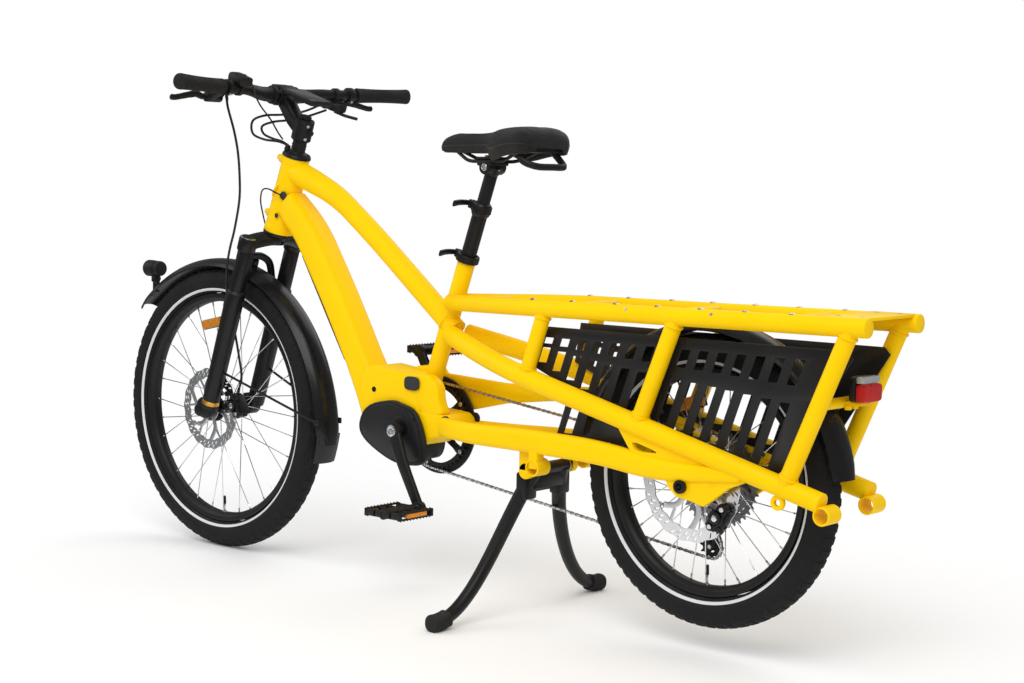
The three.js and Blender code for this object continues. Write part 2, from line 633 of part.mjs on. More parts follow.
function frontFrame() {
  const head = rod(headFoot, headTop, headTube.bottomRadius, 16, headTube.topRadius);
  const bosses = [
    [headTube.upperBossHeight, headTube.upperBossReach],
    [headTube.lowerBossHeight, headTube.lowerBossReach],
  ].map(([up, reach]) => rod(steerPoint(0, 0, up), steerPoint(reach, 0, up), headTube.bossRadius, 8));
  const { halfWidth, halfDepth, endHalfDepth } = downTube;
  const downHalves = [
    [headTube.topRadius, halfDepth], [halfWidth, halfDepth], [halfWidth, halfDepth],
    [halfWidth, halfDepth], [yoke.halfWidth - yoke.chamfer, endHalfDepth],
  ];
  const down = sweep(downTubePath, downHalves, tubeSides, squareRounding);
  const { radius, headRadius } = topTube;
  const topHalves = [[headRadius, headRadius], [headRadius, headRadius], [radius, radius]];
  const top = sweep(topTubePath, topHalves, tubeSides);
  const seat = rod(seatFoot, seatTop, seatTube.radius, seatSides);
  const block = bevelledPrism(yokeOutline, -yoke.halfWidth, yoke.halfWidth, yoke.chamfer);
  const whole = fuse(head, ...bosses, down, top, seat, block);
  const boreEnds = [steerPoint(0, 0, -overrun), steerPoint(0, 0, headLength + overrun)];
  const headBore = rod(...boreEnds, headTube.boreRadius, 14);
  const boreTop = seatTop.clone().addScaledVector(seatUp, overrun);
  const boreFoot = seatTop.clone().addScaledVector(seatUp, -seatTube.boreDepth);
  const seatBore = rod(boreFoot, boreTop, seatTube.boreRadius, seatSides);
  const pocket = prism(grown(bodyOutline, clearance), -2 * yoke.halfWidth, 2 * yoke.halfWidth);
  return carve(whole, headBore, seatBore, batteryShape(clearance), pocket);
}

function driveUnit() {
  const body = prism(bodyOutline, -drive.bodyHalf, drive.bodyHalf);
  const inner = yoke.halfWidth + clearance;
  const left = bevelledPrism(coverOutline, inner, drive.coverOuter, drive.chamfer);
  const { x, z } = crankAxis;
  const right = pin(x, z, -drive.rightOuter, -drive.bodyHalf + overrun, ring.hubRadius, hubSides);
  const boreRadius = turningBore(crank.spindleRadius, hubSides);
  const bore = pin(x, z, -2 * yoke.halfWidth, 2 * yoke.halfWidth, boreRadius, hubSides);
  return carve(fuse(body, left, right), bore);
}

function chargePortCover() {
  const low = yoke.halfWidth + clearance;
  const oval = ovalRing(
    at(chargePort.x, 0, chargePort.z), at(1, 0, 0), at(0, 0, 1),
    chargePort.halfLength, chargePort.halfHeight, 12, squareRounding,
  );
  const outline = oval.map((point) => [point.x, point.z]);
  return bevelledPrism(outline, low, low + chargePort.thickness, chargePort.thickness / 3);
}

// The rack and side frames
const railPath = (side, extra = 0) => [
  at(rail.frontX, side * rail.frontY, rail.frontZ),
  at(rail.bendX, side * rail.y, rail.frontHeight),
  at(rail.tailX - extra, side * rail.y, rail.tailHeight),
];
const railHeight = (x) => {
  const share = (rail.bendX - x) / (rail.bendX - rail.tailX);
  return rail.frontHeight + (rail.tailHeight - rail.frontHeight) * share;
};
const railTube = (side, radius, extra) => sweep(railPath(side, extra), [[radius, radius]], tubeSides);

function rackFrame() {
  const rails = [1, -1].map((side) => railTube(side, rail.radius, 0));
  const crosses = Array.from({ length: rackCross.count }, (_, index) => {
    const x = rackCross.firstX + (index / (rackCross.count - 1)) * (rackCross.lastX - rackCross.firstX);
    const z = railHeight(x) + rackCross.rise;
    const reach = x > rail.bendX ? rail.y / 2 : rail.y;
    return pin(x, z, -reach, reach, rackCross.radius, 10);
  });
  const plateZ = rail.tailHeight + rail.radius - tailPlate.thickness;
  const middle = (tailPlate.frontX + rail.tailX + tailPlate.edge) / 2;
  const halfLength = (tailPlate.frontX - rail.tailX - tailPlate.edge) / 2;
  const plate = box(at(middle, 0, plateZ), halfLength, rail.y, tailPlate.thickness);
  const seatCut = rod(seatFoot, seatTop, seatTube.radius + clearance, seatSides);
  return carve(fuse(...rails, ...crosses, plate), seatCut);
}

const diagonalHeight = (x) => diagonal.frontZ - diagonal.slope * (diagonal.frontX - x);

function diagonalTube(side) {
  const { frontX, frontY, bendX, bendY, straightX, y, rearX, rearY } = diagonal;
  const spots = [[frontX, frontY], [bendX, bendY], [straightX, y], [rearX, rearY]];
  const path = spots.map(([x, out]) => at(x, side * out, diagonalHeight(x)));
  const { frontRadius, rearRadius: endRadius } = diagonal;
  const halves = [frontRadius, frontRadius, frontRadius, endRadius].map((radius) => [radius, radius]);
  return sweep(path, halves, tubeSides);
}

function strutTube(side, topX, footX, radius) {
  const top = at(topX, side * strut.y, railHeight(topX));
  const foot = at(footX, side * strut.y, diagonalHeight(footX));
  return rod(foot, top, radius, slimSides);
}

function lowerStayTube(side) {
  const stay = lowerStay;
  const spots = [
    [stay.rootX, stay.rootY, stay.rootZ, stay.rootHalf], [stay.bendX, stay.bendY, stay.bendZ, stay.rootHalf],
    [stay.standX, stay.y, stay.standZ, stay.standHalf], [stay.middleX, stay.y, stay.middleZ, stay.middleHalf],
    [stay.dropX, stay.y, stay.dropZ, stay.dropHalf], [stay.tailX, stay.y, stay.tailZ, stay.tailHalf],
  ];
  const drop = side > 0 ? 0 : stay.rightDrop;
  const path = spots.map(([x, y, z]) => at(x, side * y, z - drop));
  const halves = spots.map((spot) => (side > 0 ? spot[3] : Math.min(spot[3], stay.rightHalf)));
  return sweep(path, halves.map((half) => [stay.halfWidth, half]), slimSides, softRounding);
}

const dropoutShares = [
  [0.66, 1.3], [0.66, 0.3], [0.3, 0.4], [0.23, -0.17], [0.08, -0.67], [-0.18, -0.8], [-0.36, -1],
  [-0.5, -0.6], [-0.77, 0.27], [-1, 0.67], [-1, 1.4],
];

function dropoutPlate(side) {
  const outline = outlineFrom(dropoutShares, dropout.reach, dropout.drop, rearAxle.x, rearAxle.z);
  const [low, high] = side > 0 ? [dropout.inner, dropout.outer] : [-dropout.outer, -dropout.inner];
  return prism(outline, low, high);
}

const stub = (side, where, radius, extra = 0) => {
  const ends = [side * (where.inner - extra), side * (where.outer + extra)];
  return pin(where.x, where.z, Math.min(...ends), Math.max(...ends), radius, tubeSides);
};

function standEar(side) {
  const outer = stand.pivotY + clearance + stand.earThickness;
  const inner = stand.pivotY + clearance;
  const lobe = pin(stand.pivotX, stand.pivotZ, Math.min(side * inner, side * outer),
    Math.max(side * inner, side * outer), stand.earRadius, tubeSides);
  const rise = (lowerStay.standZ - stand.pivotZ) / 2;
  const plate = box(at(stand.pivotX, side * (inner + outer) / 2, stand.pivotZ + rise),
    stand.earRadius, stand.earThickness / 2, rise);
  return [lobe, plate];
}

function upperStayPlate() {
  const stay = upperStay;
  const outline = [
    [stay.frontX, stay.bridgeHigh], [stay.backX, stay.bridgeHigh], [stay.topX, stay.topZ],
    [stay.rearTopX, stay.rearTopZ], [stay.endX, stay.endHigh], [stay.endX, stay.endLow],
    [stay.rearLowX, stay.rearLowZ], [stay.midLowX, stay.midLowZ], [stay.frontLowX, stay.frontLowZ],
    [stay.neckX, stay.neckZ], [stay.frontX, stay.neckZ],
  ];
  const plate = bevelledPrism(outline, -stay.outerY, -stay.innerY, stay.bevel);
  const middleX = (stay.frontX + stay.backX) / 2;
  const middleZ = (stay.bridgeHigh + stay.bridgeLow) / 2;
  const depth = (stay.innerY + overrun - yoke.halfWidth / 2) / 2;
  const centre = at(middleX, -(stay.innerY + overrun - depth), middleZ);
  const bridge = box(centre, (stay.frontX - stay.backX) / 2, depth, (stay.bridgeHigh - stay.bridgeLow) / 2);
  return [plate, bridge];
}

/** The web between the stand tube and the stay above it. */
function standTubeWeb(side) {
  const middleZ = (standTube.z + lowerStay.standZ) / 2;
  const height = (lowerStay.standZ - standTube.z) / 2;
  const halfX = standTube.radius - standTube.bore / 3;
  return box(at(standTube.x, side * lowerStay.y, middleZ), halfX, lowerStay.halfWidth - clearance, height);
}

function sideFrame(side) {
  const yokeReach = yoke.halfWidth + clearance;
  const solids = [
    diagonalTube(side), lowerStayTube(side), dropoutPlate(side),
    strutTube(side, strut.rearTopX, strut.rearFootX, strut.radius),
    strutTube(side, strut.middleTopX, strut.middleFootX, strut.middleRadius),
    strutTube(side, strut.frontTopX, strut.frontFootX, strut.frontRadius),
    stub(side, tip, tip.radius), stub(side, standTube, standTube.radius), ...standEar(side),
    pin(eyelet.x, eyelet.z, side * diagonal.rearY - eyelet.halfWidth,
      side * diagonal.rearY + eyelet.halfWidth, eyelet.radius, slimSides),
    standTubeWeb(side),
  ];
  const cuts = [
    stub(side, tip, tip.bore, overrun), stub(side, standTube, standTube.bore, overrun),
    pin(eyelet.x, eyelet.z, -2 * diagonal.y, 2 * diagonal.y, eyelet.bore, slimSides),
    railTube(side, rail.radius + clearance, overrun),
    rod(seatFoot, seatTop, seatTube.radius + clearance, seatSides),
    sweep(topTubePath, [[topTube.radius + clearance, topTube.radius + clearance]], tubeSides),
    bevelledPrism(grown(yokeOutline, clearance), -yokeReach, yokeReach, yoke.chamfer),
    pin(0, rearAxleZ, -dropout.inner, dropout.inner, dropout.hubRoom, 12),
  ];
  if (side > 0) {
    solids.push(pin(crossBarX, tailLamp.crossZ, -(strut.y - strut.radius), strut.y, rackCross.radius, 10));
    solids.push(box(at((crossBarX + tailLamp.x) / 2, 0, tailLamp.crossZ),
      (crossBarX - tailLamp.x) / 2, tailLamp.halfWidth / 2, tailLamp.bracketHalf));
  } else {
    solids.push(...upperStayPlate());
    cuts.push(pin(0, rearAxleZ, -2 * dropout.outer, 0, dropout.axleRadius + clearance, 14));
  }
  const frame = carve(fuse(...solids), ...cuts);
  return side > 0 ? fuse(frame, ...throughAxle()) : frame;
}

/** The rear axle, screwed in from the left. */
function throughAxle() {
  return [
    pin(0, rearAxleZ, -dropout.outer, dropout.outer, dropout.axleRadius, 12),
    pin(0, rearAxleZ, dropout.outer - clearance, dropout.headOuter, dropout.headRadius, 12),
  ];
}

// Side panels, fenders and lamps
function slotOutline(column, lowShare, highShare) {
  const top = panel.topZ - panel.topMargin;
  const topX = panel.firstX - column * panel.pitch;
  const middleX = topX + (panel.topZ - diagonalHeight(topX)) * panel.slant;
  const frontSlope = (panel.frontLowZ - panel.tabTopZ) / (panel.frontLowX - panel.tabTopX);
  const frontEdge = panel.tabTopZ + (middleX - panel.tabTopX) * frontSlope;
  const bottom = Math.max(diagonalHeight(middleX), frontEdge) + panel.bottomMargin;
  const height = (share) => bottom + (top - bottom) * share;
  const centre = (z) => topX + (panel.topZ - z) * panel.slant;
  const [low, high] = [height(lowShare), height(highShare)];
  const half = panel.slotWidth / 2;
  return [
    [centre(low) - half, low], [centre(low) + half, low], [centre(high) + half, high],
    [centre(high) - half, high],
  ];
}

function sidePanel(side) {
  const p = panel;
  const outline = [
    [p.frontX, p.topZ], [p.frontLowX, p.frontLowZ], [p.tabTopX, p.tabTopZ], [p.tabFrontX, p.tabLowZ],
    [p.tabRearX, p.tabRearZ], [p.tabEndX, diagonalHeight(p.tabEndX)],
    [p.rearLowX, diagonalHeight(p.rearLowX)], [p.rearX, p.topZ - p.cornerDrop],
    [p.rearX + p.cornerDrop, p.topZ],
  ];
  const longShare = 1 - p.shortShare - p.gapShare;
  const slots = Array.from({ length: p.columns }, (_, column) => [
    slotOutline(column, 0, longShare), slotOutline(column, 1 - p.shortShare, 1),
  ]).flat();
  for (const index of [0, 1]) {
    const topX = p.tabSlotX - index * p.pitch;
    const [low, high] = [p.tabLowZ + p.bottomMargin, p.tabSlotTopZ - index * p.tabSlotDrop];
    const half = p.slotWidth / 2;
    const footX = topX + (high - low) * p.slant;
    slots.push([[footX - half, low], [footX + half, low], [topX + half, high], [topX - half, high]]);
  }
  const [low, high] = side > 0 ? [p.y, p.y + p.thickness] : [-p.y - p.thickness, -p.y];
  const slotCuts = slots.map((slot) => prism(slot, low - overrun, high + overrun));
  const cutRadius = rackCross.radius + clearance;
  const barCut = pin(crossBarX, tailLamp.crossZ, low - overrun, high + overrun, cutRadius, 10);
  return carve(prism(outline, low, high), ...slotCuts, barCut);
}

/** A channel bent round a wheel: a shallow arch in section, of one thickness. */
function fenderShell(fender, centre, flare) {
  const { radius, halfWidth, thickness, rise, startDegrees, endDegrees, steps } = fender;
  const arch = fenderArchShares.map(([across, drop]) => [across * halfWidth, -drop * rise]);
  const under = arch.map(([y, drop]) => [y * (1 - thickness / halfWidth), drop - thickness]).reverse();
  const section = [...arch, ...under];
  const rings = Array.from({ length: steps + 1 }, (_, step) => {
    const share = step / steps;
    const angle = radians(startDegrees + share * (endDegrees - startDegrees));
    const reach = radius + flare * Math.abs(2 * share - 1) ** flarePower;
    return section.map(([y, drop]) => at(
      centre.x + (reach + drop) * Math.cos(angle), y, centre.z + (reach + drop) * Math.sin(angle),
    ));
  });
  return loft(rings);
}

const around = (centre, radius, degrees, y) => at(
  centre.x + radius * Math.cos(radians(degrees)), y, centre.z + radius * Math.sin(radians(degrees)),
);

function rearFenderShape() {
  const shell = fenderShell(rearFender, rearAxle, 0);
  const { radius, thickness } = rearFender;
  const barAngle = THREE.MathUtils.radToDeg(Math.atan2(tailLamp.crossZ - rearAxleZ, crossBarX));
  const barReach = Math.hypot(tailLamp.crossZ - rearAxleZ, crossBarX) - rackCross.radius - clearance;
  const boss = rod(around(rearAxle, radius - thickness / 2, barAngle, 0),
    around(rearAxle, barReach, barAngle, 0), rearFender.bossRadius, 10);
  const step = (rackCross.lastX - rackCross.firstX) / (rackCross.count - 1);
  const crossX = rackCross.firstX + 2 * step;
  const crossLow = railHeight(crossX) + rackCross.rise - rackCross.radius - clearance;
  const low = rearAxleZ + Math.sqrt(radius ** 2 - crossX ** 2) - thickness / 2;
  const topBoss = rod(at(crossX, 0, low), at(crossX, 0, crossLow), rearFender.bossRadius, 10);
  return fuse(shell, boss, topBoss);
}

function frontFenderShape() {
  const shell = fenderShell(frontFender, frontAxle, frontFender.flare);
  const { radius, flare, halfWidth, stayDegrees, stayRadius, rise, stayLegX, stayLegZ } = frontFender;
  const stays = [1, -1].map((side) => rod(
    at(stayLegX, side * fork.legY, stayLegZ),
    around(frontAxle, radius + flare * frontFender.stayFlareShare - rise, stayDegrees, side * halfWidth),
    stayRadius, 8,
  ));
  const archUnder = fork.archTop - fork.archHalfHeight;
  const bossFoot = steerPoint(fork.archForward, 0, archUnder - frontFender.bossHeight);
  const bossTop = steerPoint(fork.archForward, 0, archUnder - clearance);
  const boss = rod(bossFoot, bossTop, frontFender.bossRadius, 10);
  const lampFoot = at(headlamp.pivotX, 0, headlamp.pivotZ - headlamp.pivotRadius - clearance);
  const post = rod(at(headlamp.pivotX, 0, headlamp.postFootZ), lampFoot, headlamp.stalkRadius, 10);
  const legs = [1, -1].map((side) => lowerLeg(side, clearance));
  return carve(fuse(shell, ...stays, boss, post), ...legs);
}

function headlampShape() {
  const { x, z, radius, length, pivotX, pivotZ, pivotRadius } = headlamp;
  const ends = [-1, 1].map((side) => at(x + (side * length) / 2, 0, z));
  const barrel = rod(...ends, radius * headlamp.tailShare, 14, radius);
  const pivot = pin(pivotX, pivotZ, -headlamp.pivotHalf, headlamp.pivotHalf, pivotRadius, 12);
  const neck = rod(at(pivotX, 0, pivotZ), at(pivotX, 0, z), pivotRadius, 8);
  return fuse(barrel, pivot, neck);
}

function tailLampShape() {
  const low = tailLamp.crossZ + tailLamp.bracketHalf + clearance;
  const centre = at(tailLamp.x, 0, low + tailLamp.height / 2);
  const halves = [[tailLamp.halfWidth, tailLamp.height / 2]];
  const ends = [-1, 1].map((side) => centre.clone().add(at(side * tailLamp.halfDepth, 0, 0)));
  return sweep(ends, halves, 12, boxRounding);
}

// The fork and steering, each placed along the steering axis
const forkAxle = intoSteering(frontAxle);

function lowerLeg(side, extra) {
  const { legForward, legY, footAbove, lowersTop, lowersFootRadius, lowersTopRadius } = fork;
  const [footRadius, topRadius] = [lowersFootRadius + extra, lowersTopRadius + extra];
  const foot = forkAxle.z + footAbove;
  const leg = upright(legForward, side * legY, foot, lowersTop, footRadius, legSides, topRadius);
  return leg.rotateY(steerAngle).translate(...headFoot.toArray());
}

/** A round bar parallel to the steering axis, between two heights. */
function upright(forward, left, low, high, radius, sides, topRadius = radius) {
  return rod(at(forward, left, low), at(forward, left, high), radius, sides, topRadius);
}

function forkCrown() {
  const { legForward, legY, crownTop, crownDepth, crownHead, armHalf, capRadius } = fork;
  const middle = crownHead - armHalf;
  const slimFoot = headLength - overrun;
  const solids = [
    upright(0, 0, middle, slimFoot, fork.steererRadius, 14),
    upright(0, 0, slimFoot - overrun, fork.steererReach, fork.slimRadius, 12),
    upright(0, 0, -fork.raceHeight, -clearance, headTube.bottomRadius, 16),
  ];
  for (const side of [1, -1]) {
    const shoulder = at(legForward, side * legY, crownTop - armHalf);
    const between = at(legForward / 2, (side * legY) / 2, (middle + shoulder.z) / 2);
    solids.push(
      sweep([at(0, 0, middle), between, shoulder], [[fork.steererRadius, armHalf]], 8, softRounding, forward),
      upright(legForward, side * legY, crownTop - crownDepth, crownTop, capRadius, legSides),
      upright(legForward, side * legY, fork.lowersTop - fork.insertion, shoulder.z, fork.stanchionRadius, 12),
    );
  }
  return fuse(...solids);
}

function forkLowers() {
  const { legForward, legY, lowersTop, lowersFootRadius, lowersTopRadius } = fork;
  const { dropoutInner, dropoutOuter, archForward, archTop } = fork;
  const { archY, archInset, archDrop, archHalfHeight, dropoutHalf } = fork;
  const footTop = forkAxle.z + fork.footAbove;
  const arch = [
    [legForward + archInset, legY - archInset, lowersTop - archDrop],
    [legForward + fork.lowersTopRadius, archY, lowersTop + archDrop],
    [archForward, archY - archInset, archTop],
  ];
  const route = [
    ...arch.map(([u, y, w]) => at(u, y, w)), at(archForward, 0, archTop),
    ...arch.map(([u, y, w]) => at(u, -y, w)).reverse(),
  ];
  const axleEnds = [-1, 1].map((side) => at(forkAxle.x, side * dropoutOuter, forkAxle.z));
  const solids = [
    sweep(route, [[fork.archHalfDepth, archHalfHeight]], 8, softRounding, forward),
    rod(...axleEnds, fork.axleRadius, 10),
  ];
  const bores = [];
  for (const side of [1, -1]) {
    const middleX = (legForward + forkAxle.x) / 2;
    const middleZ = (footTop + forkAxle.z) / 2;
    const faces = [dropoutInner, dropoutOuter].map((y) => at(middleX, side * y, middleZ));
    solids.push(
      upright(legForward, side * legY, footTop, lowersTop, lowersFootRadius, legSides, lowersTopRadius),
      sweep(faces, [[dropoutHalf, dropoutHalf]], 12, softRounding, forward),
    );
    bores.push(upright(legForward, side * legY, lowersTop - fork.boreDepth, archTop, fork.bore, 12));
  }
  return carve(fuse(...solids), ...bores);
}

function stemShape() {
  const base = headLength + clearance;
  const { columnRadius, clampBottom, clampTop, clampRadius, barForward, barUp, barClampRadius } = stem;
  const middle = (clampBottom + clampTop) / 2;
  const ringEnds = [-1, 1].map((side) => at(barForward, side * stem.barClampHalf, barUp));
  const armHalves = [[stem.armRadius, clampRadius], [stem.armRadius, columnRadius]];
  const whole = fuse(
    upright(0, 0, base, base + stem.capHeight, stem.capRadius, 16, stem.capTopRadius),
    upright(0, 0, base, clampTop, columnRadius, 12),
    upright(0, 0, clampBottom, clampTop, clampRadius, 12),
    sweep([at(0, 0, middle), at(barForward, 0, barUp)], armHalves, 8, softRounding),
    rod(...ringEnds, barClampRadius, 12),
    rod(at(0, 0, middle), at(-stem.nubReach, 0, middle), stem.nubRadius, 8),
    upright(0, 0, middle, stem.capTop, stem.capNutRadius, 8),
  );
  const bore = upright(0, 0, base - overrun, fork.steererReach + clearance, stem.bore, 12);
  return carve(whole, bore, barTube(clearance));
}

const barSpots = (side) => [
  [bars.endForward, bars.endY, bars.endUp], [bars.gripForward, bars.gripY, bars.gripUp],
  [bars.bendForward, bars.bendY, bars.bendUp],
].map(([u, y, w]) => at(u, side * y, w));

/** The bar itself, or a slightly larger one to cut with. */
function barTube(extra) {
  const centre = [1, -1].map((side) => at(stem.barForward, side * bars.swellY, stem.barUp));
  const path = [...barSpots(1), ...centre, ...barSpots(-1).reverse()];
  path[0].y += extra;
  path[path.length - 1].y -= extra;
  const halves = path.map((spot) => {
    const radius = Math.abs(spot.y) > bars.swellY ? bars.endRadius : bars.clampRadius;
    return [radius + extra, radius + extra];
  });
  return sweep(path, halves, slimSides, 1, vertical);
}

/** The bar's centre at one sideways place. */
function barAt(y) {
  const side = Math.sign(y);
  const spots = [
    ...barSpots(side), at(stem.barForward, side * bars.swellY, stem.barUp),
    at(stem.barForward, 0, stem.barUp),
  ];
  const index = spots.findIndex((spot, place) => place > 0 && Math.abs(spot.y) <= Math.abs(y));
  const [outer, inner] = [spots[index - 1], spots[index]];
  return outer.clone().lerp(inner, (outer.y - y) / (outer.y - inner.y));
}

function barBand(y, half, radius) {
  const ends = [-1, 1].map((way) => barAt(y + way * half));
  return rod(...ends, radius, tubeSides);
}

function gripShape(side) {
  const [end, inner] = barSpots(side);
  const beyond = end.clone().sub(inner).normalize().multiplyScalar(bars.gripEnd).add(end);
  const halves = [bars.gripRadius, bars.gripWaist, bars.gripRadius].map((radius) => [radius, radius]);
  const body = sweep([beyond, end.clone().lerp(inner, 1 / 2), inner], halves, slimSides, 1, vertical);
  return carve(body, barTube(clearance));
}

function brakeMaster(side) {
  const { clampY, bodyForward, bodyInnerY, bodyOuterY, bodyUp, bodyRadius } = brake;
  const neckEnd = at(bodyForward, side * clampY, bodyUp);
  const inner = at(bodyForward, side * bodyInnerY, bodyUp);
  const outer = at(bodyForward, side * bodyOuterY, bodyUp);
  const whole = fuse(
    barBand(side * clampY, brake.clampHalf, brake.clampRadius),
    sweep([barAt(side * clampY), neckEnd], [[bodyRadius, bodyRadius]], 8),
    rod(inner, outer, bodyRadius - brake.rootHalf / 2, 10, bodyRadius),
  );
  return carve(whole, barTube(clearance));
}

function brakeLever(side) {
  const spot = (u, y, w) => at(u, side * y, w);
  const { bodyForward, bodyUp, bendForward, bendY, bendUp, tipForward, tipY, tipUp } = brake;
  const { rootHalf, leverWidth, leverThickness } = brake;
  const path = [
    spot(bodyForward, brake.bodyOuterY + brake.rootGap, bodyUp),
    spot(bodyForward, brake.shoulderY, bodyUp), spot(bendForward, bendY, bendUp),
    spot(tipForward, (bendY + tipY) / 2, (bendUp + tipUp) / 2), spot(tipForward, tipY, tipUp),
  ];
  const halves = [
    [rootHalf, rootHalf], [leverWidth, leverThickness], [leverWidth, leverThickness],
    [leverWidth, leverThickness], [leverThickness, leverThickness],
  ];
  return sweep(path, halves, 10, softRounding, vertical);
}

function shifterShape() {
  const band = barBand(shifter.y, shifter.clampHalf, shifter.clampRadius);
  const { podForward, podY, podUp, podHalf, podRadius } = shifter;
  const pod = upright(podForward, podY, podUp - podHalf, podUp + podHalf, podRadius, 12);
  const neck = rod(at(podForward, podY, podUp), barAt(shifter.y), podRadius / 2, 6);
  return carve(fuse(band, pod, neck), barTube(clearance));
}

function shifterLever() {
  const up = shifter.podUp - shifter.podHalf - clearance - shifter.leverHalf;
  const { podForward, podY, leverForward, leverY, leverHalf, leverHalfWidth } = shifter;
  const path = [
    at(podForward, podY, up), at((podForward + leverForward) / 2, podY, up), at(leverForward, leverY, up),
  ];
  return sweep(path, [[leverHalf, leverHalfWidth]], 8, softRounding, vertical);
}

function displayShape() {
  const ends = [-1, 1].map((way) => at(display.forward + way * display.halfLength, 0, display.up));
  const slab = sweep(ends, [[display.halfWidth, display.halfThickness]], slimSides, boxRounding);
  const arms = [1, -1].flatMap((side) => {
    const y = side * display.clampY;
    const root = at(display.forward + display.halfLength - overrun, y, display.up);
    return [
      barBand(y, display.clampHalf, display.clampRadius),
      sweep([root, at(stem.barForward, y, stem.barUp)], [[display.clampHalf, display.clampHalf]], 8),
    ];
  });
  return carve(fuse(slab, ...arms), barTube(clearance));
}

const remoteCentre = () => barAt(remote.y).add(at(0, 0, remote.bodyRise));

function remoteShape() {
  const centre = remoteCentre();
  const band = barBand(remote.y, remote.clampHalf, remote.clampRadius);
  const along = at(remote.halfLength, 0, 0);
  const block = sweep([centre.clone().sub(along), centre.clone().add(along)],
    [[remote.halfWidth, remote.halfThickness]], tubeSides, squareRounding);
  const top = centre.z + remote.halfThickness;
  const x = centre.x - remote.buttonOffset;
  const wellRadius = remote.buttonRadius + clearance;
  const well = upright(x, centre.y, top - remote.wellDepth, top + overrun, wellRadius, tubeSides);
  return carve(fuse(band, block), barTube(clearance), well);
}

function remoteButton() {
  const centre = remoteCentre();
  const top = centre.z + remote.halfThickness;
  const x = centre.x - remote.buttonOffset;
  const low = top - remote.wellDepth + remote.buttonTravel + clearance;
  return upright(x, centre.y, low, top + remote.buttonTravel, remote.buttonRadius, tubeSides);
}

// Brake calipers
/** A bevelled block about a middle in X and Z, leaning by some degrees. */
function leaningBlock(x, z, lean, low, high) {
  const { halfLength, halfDepth, chamfer } = caliper;
  const angle = radians(lean);
  const outline = [[-1, -1], [1, -1], [1, 1], [-1, 1]].map(([along, across]) => {
    const [a, b] = [along * halfLength, across * halfDepth];
    return [x + a * Math.cos(angle) - b * Math.sin(angle), z + a * Math.sin(angle) + b * Math.cos(angle)];
  });
  return bevelledPrism(outline, low, high, chamfer);
}

/** The room a turning rotor needs inside its caliper. */
function rotorRoom(wheel, centre) {
  const { slotHalf } = caliper;
  const [low, high] = [wheel.rotorY - slotHalf, wheel.rotorY + slotHalf];
  return pin(centre.x, centre.z, low, high, wheel.rotorRadius + slotHalf, 18);
}

function frontCaliper() {
  const { frontX, frontZ, frontLean, frontLow, frontHigh, halfLength, halfDepth } = caliper;
  const body = leaningBlock(frontX, frontZ, frontLean, frontLow, frontHigh);
  const legUp = forkAxle.z + fork.footAbove + halfLength;
  const mountStart = at(frontX, frontHigh - halfDepth / 2, frontZ);
  const mountEnd = steerPoint(fork.legForward, fork.legY, legUp);
  const mount = rod(mountStart, mountEnd, caliper.mountRadius, 12);
  return carve(fuse(body, mount), rotorRoom(frontWheel, frontAxle), lowerLeg(1, clearance));
}

function rearCaliper() {
  const { rearX, rearZ, rearLean, rearLow } = caliper;
  const body = leaningBlock(rearX, rearZ, rearLean, rearLow, dropout.inner - clearance);
  return carve(body, rotorRoom(rearWheel, rearAxle));
}

// Drive train
const pitchRadius = (teeth) => chainPitch / (2 * Math.sin(Math.PI / teeth));
const engagedTeeth = cogs.teethCounts[cogs.engaged];
const engagedY = cogs.firstY - cogs.engaged * cogs.spacing;

/** A disc about Y with teeth between its chain's rollers, or a plain one with a corner for two. */
function toothedDisc(circle, halfThickness, phase, plain) {
  const radius = pitchRadius(circle.teeth);
  const [rootReach, tipReach] = [radius - ring.toothFoot, radius + ring.toothRise];
  const tooth = [[-ring.rootHalf, rootReach], [0, tipReach], [ring.rootHalf, rootReach]];
  const spots = plain ? [[0, tipReach]] : tooth;
  const count = plain ? Math.ceil(circle.teeth / 2) : circle.teeth;
  const outline = Array.from({ length: count }, (_, index) => (
    spots.map(([along, reach]) => {
      const angle = phase + turn((index + 1 / 2) / count) + along / radius;
      return [circle.x + reach * Math.cos(angle), circle.z + reach * Math.sin(angle)];
    })
  )).flat();
  return prism(outline, circle.y - halfThickness, circle.y + halfThickness);
}

/** The wheels the chain runs over, in the order it meets them, with their sense of turning. */
function chainCircles(cageDegrees) {
  const angle = radians(cageDegrees);
  const tensionX = pulley.guideX + pulley.cageLength * Math.cos(angle);
  const tensionZ = pulley.guideZ + pulley.cageLength * Math.sin(angle);
  return [
    { x: crankAxis.x, z: crankAxis.z, teeth: ring.teeth, sense: 1, y: chain.frontY },
    { x: 0, z: rearAxleZ, teeth: engagedTeeth, sense: 1, y: engagedY },
    { x: pulley.guideX, z: pulley.guideZ, teeth: pulley.teeth, sense: -1, y: engagedY },
    { x: tensionX, z: tensionZ, teeth: pulley.teeth, sense: 1, y: engagedY },
  ];
}

